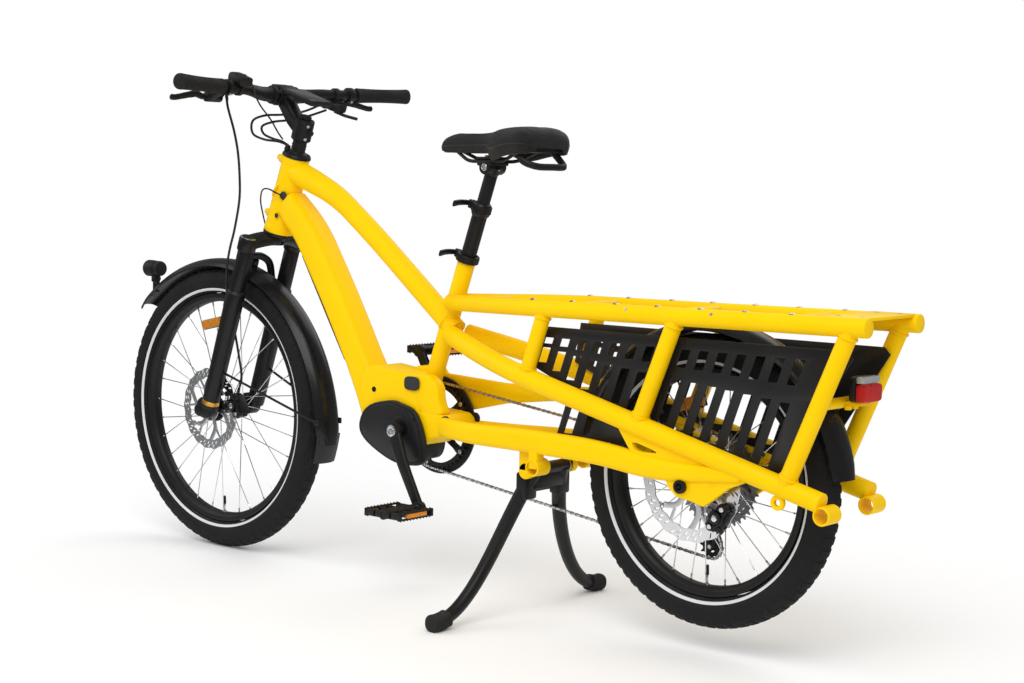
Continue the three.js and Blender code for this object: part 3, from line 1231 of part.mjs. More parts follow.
/** Straight runs and arcs of the chain's closed path. */
function chainPath(cageDegrees) {
  const circles = chainCircles(cageDegrees);
  const runs = circles.map((from, index) => {
    const to = circles[(index + 1) % circles.length];
    const [dx, dz] = [to.x - from.x, to.z - from.z];
    const distance = Math.hypot(dx, dz);
    const offset = to.sense * pitchRadius(to.teeth) - from.sense * pitchRadius(from.teeth);
    const heading = Math.atan2(dz, dx) - Math.asin(offset / distance);
    return { heading, length: Math.sqrt(distance ** 2 - offset ** 2), from, to };
  });
  const pieces = [];
  runs.forEach((run, index) => {
    const next = runs[(index + 1) % runs.length];
    pieces.push({ kind: 'run', ...run });
    const swing = (run.to.sense * (next.heading - run.heading)) % (2 * Math.PI);
    const angle = swing < 0 ? swing + 2 * Math.PI : swing;
    const length = (angle * run.to.teeth * chainPitch) / (2 * Math.PI);
    pieces.push({ kind: 'arc', heading: run.heading, length, angle, to: run.to });
  });
  return pieces;
}

const chainLength = (cageDegrees) => chainPath(cageDegrees).reduce((sum, piece) => sum + piece.length, 0);

/** The cage angle at which the path holds a whole, even number of links. */
function solveCage() {
  const middle = (cage.startDegrees + cage.endDegrees) / 2;
  const links = 2 * Math.round(chainLength(middle) / chainPitch / 2);
  let [low, high] = [cage.startDegrees, cage.endDegrees];
  const rising = chainLength(high) > chainLength(low);
  for (let step = 0; step < 60; step += 1) {
    const guess = (low + high) / 2;
    const long = chainLength(guess) > links * chainPitch;
    if (long === rising) {
      high = guess;
    } else {
      low = guess;
    }
  }
  return { degrees: (low + high) / 2, links };
}

const cageRest = solveCage();
const chainPieces = chainPath(cageRest.degrees);

/** The place of a pin at one distance along the path, and the wheel it lies on. */
function chainPoint(distance) {
  let left = distance;
  for (const piece of chainPieces) {
    if (left > piece.length) {
      left -= piece.length;
      continue;
    }
    const share = left / piece.length;
    const wheel = piece.kind === 'run' ? piece.from : piece.to;
    const radius = wheel.sense * pitchRadius(wheel.teeth);
    if (piece.kind === 'run') {
      const [startX, startZ] = [
        wheel.x + radius * Math.sin(piece.heading), wheel.z - radius * Math.cos(piece.heading),
      ];
      const y = wheel.y + (piece.to.y - wheel.y) * share;
      return at(startX + left * Math.cos(piece.heading), y, startZ + left * Math.sin(piece.heading));
    }
    const heading = piece.heading + wheel.sense * share * piece.angle;
    return at(wheel.x + radius * Math.sin(heading), wheel.y, wheel.z - radius * Math.cos(heading));
  }
  return chainPoint(0);
}

const chainPins = Array.from({ length: cageRest.links }, (_, index) => (
  chainPoint((index + chain.startShare) * chainPitch)
));
const chainWheels = chainCircles(cageRest.degrees);

/** The turn that puts a wheel's teeth between the pins that lie on it. */
function toothPhase(circle) {
  const radius = pitchRadius(circle.teeth);
  const onWheel = chainPins.filter((spot) => (
    Math.abs(Math.hypot(spot.x - circle.x, spot.z - circle.z) - radius) < clearance / 2
  ));
  const middle = onWheel[Math.floor(onWheel.length / 2)];
  return Math.atan2(middle.z - circle.z, middle.x - circle.x);
}

/** The eight corners at one end of a link, plates left and right, tops before bottoms. */
function linkCorners(centre, upward, inner) {
  const outer = inner + chain.plateThickness;
  return [chain.jointHalfHeight, -chain.jointHalfHeight].flatMap((rise) => (
    [outer, inner, -inner, -outer].map((y) => centre.clone().addScaledVector(upward, rise).add(at(0, y, 0)))
  ));
}

/** Whether a pin lies on one of the chain's wheels or next to it. */
const nearWheel = (spot) => chainWheels.some((wheel) => (
  Math.hypot(spot.x - wheel.x, spot.z - wheel.z) < pitchRadius(wheel.teeth) + 2 * chain.jointHalfHeight
));

/** Links, inner and outer by turns, joined by rollers; those round the wheels are open between. */
function chainShape() {
  const count = chainPins.length;
  const points = chainPins.flatMap((spot, index) => {
    const next = chainPins[(index + 1) % count];
    const along = next.clone().sub(spot).setY(0).normalize();
    const upward = at(-along.z, 0, along.x);
    const inner = index % 2 === 0 ? chain.innerFace : chain.outerFace;
    const start = spot.clone().addScaledVector(along, chain.pinHalf);
    const end = next.clone().addScaledVector(along, -chain.pinHalf);
    return [...linkCorners(start, upward, inner), ...linkCorners(end, upward, inner)];
  });
  const open = chainPins.map((spot, index) => nearWheel(spot) || nearWheel(chainPins[(index + 1) % count]));
  const fine = open.map((here, index) => here || open[(index + count - 1) % count]);
  const faces = [];
  const join = (from, to) => {
    for (let place = 0; place < Math.max(from.length, to.length) - 1; place += 1) {
      const [a, b] = [place, place + 1].map((spot) => from[Math.min(spot, from.length - 1)]);
      const [c, d] = [place, place + 1].map((spot) => to[Math.min(spot, to.length - 1)]);
      if (a !== b) faces.push(a, b, d);
      if (c !== d) faces.push(a, d, c);
    }
  };
  const rows = (ringStart, isFine) => (
    (isFine ? [[0, 1, 2, 3], [3, 7], [7, 6, 5, 4], [4, 0]] : [[0, 3], [3, 7], [7, 4], [4, 0]])
      .map((row) => row.map((corner) => corner + ringStart))
  );
  const tube = (from, to) => from.forEach((row, place) => join(row, to[place]));
  chainPins.forEach((_, link) => {
    const next = (link + 1) % count;
    const [start, end, after] = [link * 16, link * 16 + 8, next * 16];
    if (!open[link] && !fine[next]) {
      tube(rows(start, fine[link]), rows(after, false));
      return;
    }
    tube(rows(end, fine[next]), rows(after, fine[next]));
    if (!open[link]) {
      tube(rows(start, fine[link]), rows(end, fine[next]));
      return;
    }
    for (const plate of [[0, 1, 5, 4, 0], [2, 3, 7, 6, 2]]) {
      join(plate.map((corner) => corner + start), plate.map((corner) => corner + end));
    }
    join([start + 1, start + 2], [start + 5, start + 6]);
    join([end + 5, end + 6], [end + 1, end + 2]);
  });
  return surface(points, faces);
}

function chainringShape() {
  const [circle] = chainWheels;
  const { hubRadius, guardRadius, guardInner, guardInnerY, guardOuterY, spacerRadius } = ring;
  const bandInner = pitchRadius(ring.teeth) - ring.bandDepth;
  const teeth = carve(
    toothedDisc(circle, ring.halfThickness, toothPhase(circle), false),
    pin(circle.x, circle.z, circle.y - overrun, circle.y + overrun, bandInner, 20),
  );
  const local = (geometry) => geometry.translate(circle.x, 0, circle.z);
  const armHalf = (bandInner + 2 * overrun - hubRadius) / 2;
  const spacerReach = guardInner + spacerRadius / 2;
  const arms = Array.from({ length: ring.armCount }, (_, arm) => {
    const middle = at(hubRadius - overrun + armHalf, circle.y, 0);
    const bar = box(middle, armHalf, ring.armThickness, ring.armHalfWidth);
    const spacer = pin(spacerReach, 0, -guardOuterY + ring.halfThickness, circle.y, spacerRadius, 4);
    return [bar, spacer].map((shape) => local(shape.rotateY(turn(arm / ring.armCount))));
  }).flat();
  const hubEnds = [-crank.inner + clearance, circle.y + ring.armThickness];
  const hub = local(washer(crank.bore, hubRadius, ...hubEnds, hubSides));
  const guard = local(washer(guardInner, guardRadius, -guardOuterY, -guardInnerY, 20));
  return fuse(teeth, ...arms, hub, guard);
}

function cassetteShape() {
  const discs = cogs.teethCounts.map((teeth, index) => {
    const circle = { x: 0, z: rearAxleZ, teeth, y: cogs.firstY - index * cogs.spacing };
    const engaged = index === cogs.engaged;
    return toothedDisc(circle, cogs.halfThickness, engaged ? toothPhase(chainWheels[1]) : 0, !engaged);
  });
  const high = cogs.firstY + cogs.rimDepth;
  const low = cogs.firstY - (discs.length - 1) * cogs.spacing - cogs.rimDepth;
  const core = pin(0, rearAxleZ, low, high, cogs.coreRadius, slimSides);
  const boreRadius = turningBore(rearWheel.freehubRadius, hubSides);
  const bore = pin(0, rearAxleZ, low - overrun, high + overrun, boreRadius, hubSides);
  return carve(fuse(core, ...discs), bore);
}

function pulleyShape(circle) {
  const disc = toothedDisc(circle, pulley.halfThickness, toothPhase(circle), false);
  const boreRadius = turningBore(cage.pinRadius, cage.pinSides);
  const [low, high] = [circle.y - overrun, circle.y + overrun];
  return carve(disc, pin(circle.x, circle.z, low, high, boreRadius, cage.pinSides));
}

function derailleurShape() {
  const { hangerX, hangerZ, knuckleRadius, inner, outer, armRadius } = derailleur;
  const middle = -(inner + outer) / 2;
  return fuse(
    pin(hangerX, hangerZ, -outer, middle + armRadius, knuckleRadius, tubeSides),
    pin(pulley.guideX, pulley.guideZ, -outer, -inner, knuckleRadius, tubeSides),
    rod(at(hangerX, middle, hangerZ), at(pulley.guideX, middle, pulley.guideZ), armRadius, slimSides),
  );
}

function cageShape() {
  const [, , guide, tension] = chainWheels;
  const direction = at(tension.x - guide.x, 0, tension.z - guide.z).normalize();
  const half = cage.plateHalfWidth;
  const outline = [guide, tension].flatMap((circle, end) => (
    [-1, -1 / 2, 1 / 2, 1].map((share) => {
      const bend = (share * Math.PI) / 2;
      const along = (end === 0 ? -1 : 1) * half * Math.cos(bend);
      const across = (end === 0 ? 1 : -1) * half * Math.sin(bend);
      return [
        circle.x + direction.x * along - direction.z * across,
        circle.z + direction.z * along + direction.x * across,
      ];
    })
  ));
  const plates = [-1, 1].map((side) => {
    const middle = engagedY + side * cage.plateOffset;
    return prism(outline, middle - cage.plateHalf, middle + cage.plateHalf);
  });
  const reach = cage.plateOffset;
  const pins = [guide, tension].map((circle) => (
    pin(circle.x, circle.z, engagedY - reach, engagedY + reach, cage.pinRadius, cage.pinSides)
  ));
  return fuse(...plates, ...pins);
}

// Cranks and pedals
const crankReach = (side, reach) => {
  const angle = radians(crank.leftDegrees) + (side > 0 ? 0 : Math.PI);
  return [crankAxis.x + reach * Math.cos(angle), crankAxis.z + reach * Math.sin(angle)];
};

/** A pin about the same line as another place, measured outward from the middle on one side. */
function sidePin(side, [x, z], inner, outer, radius, sides) {
  const ends = [side * inner, side * outer];
  return pin(x, z, Math.min(...ends), Math.max(...ends), radius, sides);
}

function crankArm(side) {
  const { inner, bossOuter, flareX, flareY, endY, rootHalfWidth, endHalfWidth, armHalf, footHalf } = crank;
  const spot = (reach, y) => {
    const [x, z] = crankReach(side, reach);
    return at(x, side * y, z);
  };
  const arm = sweep(
    [spot(0, (inner + bossOuter) / 2), spot(flareX, flareY), spot(crank.length, endY)],
    [[armHalf, rootHalfWidth], [armHalf, rootHalfWidth], [armHalf, endHalfWidth]], 10, softRounding,
  );
  const foot = crankReach(side, crank.length);
  const centre = [crankAxis.x, crankAxis.z];
  const axleEnd = pedal.inner + pedal.width - pedal.endWall - clearance;
  const whole = fuse(
    arm, sidePin(side, centre, inner, bossOuter, crank.bossRadius, 12),
    sidePin(side, foot, endY - footHalf, endY + footHalf, crank.footRadius, 10),
    sidePin(side, foot, endY, axleEnd, pedal.axleRadius, slimSides),
  );
  const { spindleEnd, spindleRadius, bore } = crank;
  if (side > 0) return fuse(whole, sidePin(1, centre, -spindleEnd, inner + overrun, spindleRadius, hubSides));
  return carve(whole, sidePin(-1, centre, inner - overrun, spindleEnd + clearance, bore, hubSides));
}

function pedalShape(side) {
  const [x, z] = crankReach(side, crank.length);
  const { inner, width, halfLength, halfThickness, railHalf, tubeRadius } = pedal;
  const middle = side * (inner + width / 2);
  const bars = [-1, 1].flatMap((way) => [
    box(at(x + way * (halfLength - railHalf), middle, z), railHalf, width / 2, halfThickness),
    box(at(x, middle + way * (width / 2 - railHalf), z), halfLength, railHalf, halfThickness),
  ]);
  const tube = sidePin(side, [x, z], inner, inner + width, tubeRadius, 8);
  const boreEnd = inner + width - pedal.endWall;
  const boreRadius = turningBore(pedal.axleRadius, slimSides);
  const bore = sidePin(side, [x, z], inner - overrun, boreEnd, boreRadius, slimSides);
  return carve(fuse(...bars, tube), bore);
}

// The saddle and its posts
function seatPoint(ahead, left, up) {
  const seatForward = at(seatUp.z, 0, -seatUp.x);
  const place = seatTop.clone().addScaledVector(seatForward, ahead);
  return place.addScaledVector(seatUp, up).addScaledVector(lateral, left);
}

const postRod = (low, high, radius) => rod(seatPoint(0, 0, low), seatPoint(0, 0, high), radius, seatSides);

function clampLug(low, high) {
  const half = (high - low) / 2;
  const ends = [seatPoint(0, 0, low + half), seatPoint(seatPost.lugReach, 0, low + half)];
  return sweep(ends, [[seatPost.lugHalf, half]], 8, boxRounding);
}

function quickLever(up) {
  const { lugReach, leverHalf, leverGap, leverRootY, leverBendY } = seatPost;
  const { leverBow, leverTipY, leverTipDrop } = seatPost;
  const ahead = lugReach + leverGap + leverHalf;
  const path = [
    seatPoint(ahead, leverRootY, up), seatPoint(ahead, 0, up), seatPoint(ahead + leverBow, leverBendY, up),
    seatPoint(ahead - leverTipDrop, leverTipY, up),
  ];
  return sweep(path, [[seatPost.leverHalfWidth, leverHalf]], 8, softRounding, seatUp);
}

function seatClamp() {
  const { clampBottom, clampTop, clampRadius } = seatPost;
  const whole = fuse(postRod(clampBottom, clampTop, clampRadius), clampLug(clampBottom, clampTop));
  return carve(whole, postRod(clampBottom - overrun, clampTop + overrun, seatTube.radius + clearance));
}

function lowerPost() {
  const { lowerBottom, lowerTop, lowerRadius, collarBottom, collarRadius } = seatPost;
  const whole = fuse(
    postRod(lowerBottom, lowerTop, lowerRadius), postRod(collarBottom, lowerTop, collarRadius),
    clampLug(collarBottom, lowerTop),
  );
  return carve(whole, postRod(lowerBottom - overrun, lowerTop + overrun, seatPost.bore));
}

function upperPost() {
  const { headX, headHalf, headHalfWidth, cradleZ, cradleDepth, neckHalf, neckHalfWidth } = seatPost;
  const { plateZ, plateDepth } = seatPost;
  const neckLow = cradleZ - cradleDepth / 2;
  const neckTop = plateZ + plateDepth;
  return fuse(
    postRod(seatPost.upperBottom, seatPost.upperTop, seatPost.upperRadius),
    box(at(headX, 0, cradleZ - cradleDepth / 2), headHalf, headHalfWidth, cradleDepth / 2),
    box(at(headX, 0, (neckLow + neckTop) / 2), neckHalf, neckHalfWidth, (neckTop - neckLow) / 2),
    box(at(headX, 0, plateZ + plateDepth / 2), headHalf - overrun, headHalfWidth, plateDepth / 2),
  );
}

// Each station: how far back, how wide and how high, as shares of the saddle's length, width and crown
const saddleStations = [
  [0, 0.1, 0.05], [0.01, 0.17, 0.3], [0.05, 0.22, 0.54], [0.14, 0.25, 0.71], [0.27, 0.3, 0.79],
  [0.4, 0.38, 0.82], [0.52, 0.53, 0.85], [0.62, 0.69, 0.9], [0.72, 0.85, 0.96], [0.82, 0.97, 0.99],
  [0.91, 0.99, 1], [0.96, 0.93, 0.92], [0.99, 0.77, 0.7], [1, 0.6, 0.45],
];
// Half of the pad's section from the crown round to its flat underside
const padShares = [
  [0, 1], [0.36, 0.985], [0.66, 0.91], [0.88, 0.74], [0.99, 0.46], [1, 0.2], [0.96, -0.06],
  [0.9, -0.26], [0.83, -0.26], [0.78, 0],
];

const stationX = (share) => saddle.noseX + (saddle.rearX - saddle.noseX) * share;

function saddlePad() {
  const base = saddle.baseZ + clearance;
  const rings = saddleStations.map(([back, wide, high]) => {
    const half = padShares.map(([across, rise]) => (
      at(stationX(back), across * wide * saddle.halfWidth, base + rise * high * (saddle.topZ - base))
    ));
    return [...half, ...half.slice(1).map(mirrored).reverse()];
  });
  return loft(rings);
}

function saddleBase() {
  const shell = loft(saddleStations.slice(2, -2).map(([back, wide]) => {
    const half = wide * saddle.shellShare * saddle.halfWidth;
    const [low, high] = [saddle.baseZ - saddle.shellDepth, saddle.baseZ];
    return [[half, high], [-half, high], [-half, low], [half, low]].map(([y, z]) => at(stationX(back), y, z));
  }));
  const rails = [1, -1].map((side) => {
    const path = railRoute.map(([x, y, z]) => at(x, side * y, z));
    return sweep(path, [[saddle.railRadius, saddle.railRadius]], 6);
  });
  const left = handleRoute.map(([x, y, z]) => at(x, y, z));
  const loop = new THREE.CatmullRomCurve3([...left, ...left.slice(0, -1).map(mirrored).reverse()]);
  const handle = sweep(loop.getPoints(9), [[saddle.handleRadius, saddle.handleRadius]], 8, 1, vertical);
  return fuse(shell, ...rails, handle);
}

// The stand
const legCurve = (side) => new THREE.CubicBezierCurve3(
  at(stand.pivotX, side * stand.legY, stand.pivotZ), at(stand.kneeX, side * stand.kneeY, stand.kneeZ),
  at(stand.ankleX, side * stand.ankleY, stand.ankleZ), at(stand.footX, side * stand.footY, stand.footZ),
);

function standLeg(side, extra) {
  const points = legCurve(side).getPoints(stand.steps);
  points[stand.steps].y += side * extra;
  const halves = points.map((_, index) => {
    const radius = stand.topRadius + (stand.lowRadius - stand.topRadius) * (index / stand.steps) + extra;
    return [radius, radius];
  });
  return sweep(points, halves, 10, 1, forward);
}

function standLegs() {
  const shaft = pin(stand.pivotX, stand.pivotZ, -stand.pivotY, stand.pivotY, stand.shaftRadius, 12);
  return fuse(shaft, standLeg(1, 0), standLeg(-1, 0));
}

function standBoot(side) {
  const curve = legCurve(side);
  const points = Array.from({ length: stand.bootSteps + 1 }, (_, step) => (
    curve.getPoint(stand.bootShare + (1 - stand.bootShare) * (step / stand.bootSteps))
  ));
  points.push(points[stand.bootSteps].clone().add(at(0, side * stand.bootEnd, 0)));
  const boot = sweep(points, [[stand.bootRadius, stand.bootRadius]], 10, 1, forward);
  const below = box(at(stand.footX, side * stand.footY, -stand.footY), stand.footY, stand.footY, stand.footY);
  return carve(boot, standLeg(side, clearance), below);
}

// Hoses and wires
function cord(route, radius) {
  const curve = new THREE.CatmullRomCurve3(route.map(([x, y, z]) => at(x, y, z)));
  const section = Array.from({ length: cords.sides }, (_, side) => {
    const angle = turn(side / cords.sides);
    return new THREE.Vector2(radius * Math.cos(angle), radius * Math.sin(angle));
  });
  const steps = Math.ceil(curve.getLength() / (cords.stepShare * radius));
  const outline = new THREE.Shape(section);
  return new THREE.ExtrudeGeometry(outline, { steps, extrudePath: curve, bevelEnabled: false });
}

function barCables() {
  const foot = steerPoint(cords.grommetForward, cords.grommetY, headLength + stem.capHeight + 2 * clearance);
  const top = foot.clone().addScaledVector(steerUp, cords.grommetHeight);
  const end = top.toArray();
  return fuse(
    rod(foot, top, cords.grommetRadius, tubeSides, cords.hoseRadius * 2),
    ...[rearHoseRoute, shiftCableRoute].map((route) => cord([...route, end], cords.hoseRadius)),
  );
}

// The whole bicycle
function addWheelAt(prefix, wheel, centre) {
  const group = new THREE.Group();
  group.position.copy(centre);
  addWheel(group, prefix, wheel, -wheel.hubHalf);
  bicycle.add(group);
}

function assemble() {
  const { paint, black, blackMetal, rubber, darkSteel, lens } = looks;
  const [, , guide, tension] = chainWheels;
  addWheelAt('front', frontWheel, frontAxle);
  addWheelAt('rear', rearWheel, rearAxle);
  const onFrame = [
    ['front_frame', frontFrame(), paint], ['rack_frame', rackFrame(), paint],
    ['side_frame_left', sideFrame(1), paint], ['side_frame_right', sideFrame(-1), paint],
    ['battery', batteryShape(0), black], ['drive_unit', driveUnit(), black],
    ['charge_port_cover', chargePortCover(), rubber], ['side_panel_left', sidePanel(1), black],
    ['side_panel_right', sidePanel(-1), black], ['rear_fender', rearFenderShape(), black],
    ['tail_lamp', tailLampShape(), lens], ['front_fender', frontFenderShape(), black],
    ['headlamp', headlampShape(), black], ['front_caliper', frontCaliper(), blackMetal],
    ['rear_caliper', rearCaliper(), blackMetal], ['cassette', cassetteShape(), darkSteel],
    ['derailleur', derailleurShape(), blackMetal], ['derailleur_cage', cageShape(), blackMetal],
    ['guide_pulley', pulleyShape(guide), black], ['tension_pulley', pulleyShape(tension), black],
    ['chain', chainShape(), darkSteel], ['chainring', chainringShape(), blackMetal],
    ['crank_arm_left', crankArm(1), blackMetal], ['crank_arm_right', crankArm(-1), blackMetal],
    ['pedal_left', pedalShape(1), black], ['pedal_right', pedalShape(-1), black],
    ['seatpost_lower', lowerPost(), blackMetal], ['seatpost_upper', upperPost(), blackMetal],
    ['seat_clamp', seatClamp(), blackMetal], ['saddle', saddlePad(), black],
    ['saddle_base', saddleBase(), black], ['stand_legs', standLegs(), blackMetal],
    ['stand_foot_left', standBoot(1), rubber], ['stand_foot_right', standBoot(-1), rubber],
    ['seat_clamp_lever', quickLever((seatPost.clampBottom + seatPost.clampTop) / 2), blackMetal],
    ['post_clamp_lever', quickLever((seatPost.collarBottom + seatPost.lowerTop) / 2), blackMetal],
    ['front_brake_hose', cord(frontHoseRoute, cords.hoseRadius), rubber], ['bar_cables', barCables(), rubber],
  ];
  const onSteering = [
    ['fork_crown', forkCrown(), black], ['fork_lowers', forkLowers(), black],
    ['stem', stemShape(), blackMetal], ['handlebar', barTube(0), blackMetal],
    ['grip_left', gripShape(1), rubber], ['grip_right', gripShape(-1), rubber],
    ['brake_master_left', brakeMaster(1), blackMetal], ['brake_master_right', brakeMaster(-1), blackMetal],
    ['brake_lever_left', brakeLever(1), blackMetal], ['brake_lever_right', brakeLever(-1), blackMetal],
    ['shifter', shifterShape(), black], ['shifter_lever', shifterLever(), black],
    ['display', displayShape(), black], ['remote', remoteShape(), black],
    ['remote_button', remoteButton(), black],
  ];
  onFrame.forEach(([name, geometry, look]) => place(bicycle, name, geometry, look));
  onSteering.forEach(([name, geometry, look]) => place(steering, name, geometry, look));
  steering.position.copy(headFoot);
  steering.rotation.y = steerAngle;
  bicycle.add(steering);
  bicycle.position.x = -centreX;
}

assemble();

export default bicycle;
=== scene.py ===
"""The looks of a longtail cargo bicycle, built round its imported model.

Sizes are millimetres in the bicycle's own frame, as in its drawings: X forward from the rear axle,
Y to the rider's left, Z up from the ground. Shape turns them into metres when it makes a piece.
"""

import json
import logging
import math
from collections.abc import Callable, Iterable, Sequence
from dataclasses import dataclass, field
from enum import Enum

import bmesh
import bpy
from mathutils import Matrix, Vector

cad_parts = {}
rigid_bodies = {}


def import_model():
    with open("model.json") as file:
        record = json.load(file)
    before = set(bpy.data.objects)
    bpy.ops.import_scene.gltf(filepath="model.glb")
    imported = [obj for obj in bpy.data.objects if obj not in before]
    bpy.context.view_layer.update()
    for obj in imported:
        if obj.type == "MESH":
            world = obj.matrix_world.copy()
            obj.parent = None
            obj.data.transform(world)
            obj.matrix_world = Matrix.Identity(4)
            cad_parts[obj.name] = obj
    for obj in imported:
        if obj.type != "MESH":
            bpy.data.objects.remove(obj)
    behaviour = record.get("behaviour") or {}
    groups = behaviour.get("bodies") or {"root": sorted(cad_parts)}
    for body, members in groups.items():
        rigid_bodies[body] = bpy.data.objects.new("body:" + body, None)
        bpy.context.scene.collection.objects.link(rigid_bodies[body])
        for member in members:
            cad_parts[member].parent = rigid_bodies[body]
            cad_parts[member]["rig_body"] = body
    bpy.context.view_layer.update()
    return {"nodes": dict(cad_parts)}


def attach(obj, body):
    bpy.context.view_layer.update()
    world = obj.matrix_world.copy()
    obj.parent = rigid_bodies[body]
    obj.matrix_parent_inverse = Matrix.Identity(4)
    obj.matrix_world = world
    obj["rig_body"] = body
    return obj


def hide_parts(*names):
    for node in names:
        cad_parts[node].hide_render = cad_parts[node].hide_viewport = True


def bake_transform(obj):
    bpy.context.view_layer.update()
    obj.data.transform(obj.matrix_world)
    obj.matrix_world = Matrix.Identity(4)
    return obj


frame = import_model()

LOG = logging.getLogger("cargo_bicycle")

# The bicycle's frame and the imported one
MIDDLE_X = 628.8
MM = 0.001

# Edges sharper than this are rounded, in degrees
SHARP_DEGREES = 28.0

FORWARD = Vector((1, 0, 0))
LATERAL = Vector((0, 1, 0))
VERTICAL = Vector((0, 0, 1))
SIDES = (1, -1)

Socket = bpy.types.NodeSocket
Outline = Sequence[tuple[float, float]]
Halves = Sequence[tuple[float, float]]
Route = Sequence[Sequence[float]]


def at(x: float, y: float, z: float) -> Vector:
    """A place in the bicycle's frame."""
    return Vector((x, y, z))


def into_scene(place: Vector) -> Vector:
    """The same place in metres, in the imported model's frame."""
    return Vector(((place.x - MIDDLE_X) * MM, place.y * MM, place.z * MM))


def places(route: Route, side: int = 1) -> list[Vector]:
    """A route's points as places, mirrored to the right where side is -1.

    Args:
        route: Points of x, y and z.
        side: 1 keeps the side, -1 mirrors it.

    Returns:
        The places in order.
    """
    return [at(x, side * y, z) for x, y, z in route]


def over(route: Route) -> list[Vector]:
    """A left route that ends in the middle plane, with its mirror image after it, back to front."""
    return places(route) + places(route[:-1], -1)[::-1]


def across_of(axis: Vector, reference: Vector = LATERAL) -> tuple[Vector, Vector]:
    """Two directions square to an axis.

    Args:
        axis: The direction that a section looks along.
        reference: The direction that the first one stays closest to.

    Returns:
        The direction across and the one up from it.
    """
    across = reference - axis * reference.dot(axis)
    if across.length < 1e-4:
        across = FORWARD - axis * FORWARD.dot(axis)
    across.normalize()
    return across, axis.cross(across)


def smooth(route: Sequence[Vector], per: int = 6) -> list[Vector]:
    """A curve through every point of a route.

    Args:
        route: The points.
        per: Steps between two of them.

    Returns:
        The curve's points.
    """
    last = len(route) - 1
    found = []
    for span in range(last):
        a, b, c, d = (route[min(max(span + step, 0), last)] for step in (-1, 0, 1, 2))
        for step in range(per):
            t = step / per
            found.append(0.5 * (
                2 * b + (c - a) * t + (2 * a - 5 * b + 4 * c - d) * t ** 2
                + (3 * b - a - 3 * c + d) * t ** 3
            ))
    return [*found, route[-1].copy()]


def bent(path: Sequence[Vector], halves: Halves, reach: float, steps: int = 6) -> tuple[list, list]:
    """A row of straight runs with its corners bent round.

    Args:
        path: The corner points.
        halves: The section's half sizes at each point, or one pair for all.
        reach: How far from its corner a bend begins.
        steps: Rings in each bend.

    Returns:
        The new points and their half sizes.
    """
    sizes = [Vector(halves[min(index, len(halves) - 1)]) for index in range(len(path))]
    points, found = [path[0]], [sizes[0]]
    for index in range(1, len(path) - 1):
        before, corner, after = path[index - 1], path[index], path[index + 1]
        cut = min(reach, (corner - before).length * 0.48, (after - corner).length * 0.48)
        start = corner + (before - corner).normalized() * cut
        end = corner + (after - corner).normalized() * cut
        for step in range(steps + 1):
            t = step / steps
            points.append(start * (1 - t) ** 2 + corner * 2 * t * (1 - t) + end * t ** 2)
            share_in = cut / (corner - before).length
            share_out = cut / (after - corner).length
            low = sizes[index].lerp(sizes[index - 1], share_in)
            high = sizes[index].lerp(sizes[index + 1], share_out)
            found.append(low.lerp(high, t))
    points.append(path[-1])
    found.append(sizes[-1])
    return points, [tuple(size) for size in found]


def rounded(outline: Outline, share: float = 0.25, times: int = 2) -> list[tuple[float, float]]:
    """An outline with each corner cut off and cut again, so that it turns softly.

    Args:
        outline: The corners in order.
        share: How far along its side each cut starts.
        times: How often the corners are cut.

    Returns:
        The softer outline.
    """
    for _ in range(times):
        cut = []
        for index, (x, z) in enumerate(outline):
            after_x, after_z = outline[(index + 1) % len(outline)]
            for part in (share, 1 - share):
                cut.append((x + (after_x - x) * part, z + (after_z - z) * part))
        outline = cut
    return list(outline)


def oval(centre: Vector, across: Vector, upward: Vector, half: float, rise: float, sides: int,
         rounding: float = 1.0) -> list[Vector]:
    """A ring of points, round where rounding is 1 and squarer below it.

    Args:
        centre: The ring's middle.
        across: Its first direction.
        upward: Its second direction.
        half: Half its size along the first.
        rise: Half its size along the second.
        sides: How many points.
        rounding: The exponent of the oval.

    Returns:
        The ring.
    """
    ring = []
    for index in range(sides):
        angle = math.tau * (index + 0.5) / sides
        cosine, sine = math.cos(angle), math.sin(angle)
        reach = half * math.copysign(abs(cosine) ** rounding, cosine)
        height = rise * math.copysign(abs(sine) ** rounding, sine)
        ring.append(centre + across * reach + upward * height)
    return ring


def round_edges(mesh: bmesh.types.BMesh, width: float, steps: int) -> None:
    """Rounds every edge of a mesh that is sharper than SHARP_DEGREES.

    Args:
        mesh: The mesh to change.
        width: How far from its edge the rounding begins.
        steps: Faces across it.
    """
    sharp = [edge for edge in mesh.edges if edge.calc_face_angle(0) > math.radians(SHARP_DEGREES)]
    bmesh.ops.bevel(mesh, geom=sharp, offset=width, segments=steps, profile=0.5, affect="EDGES",
                    clamp_overlap=True)


def body_of(node: str) -> str:
    """The body that a CAD node rides on."""
    return frame["nodes"][node]["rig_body"]


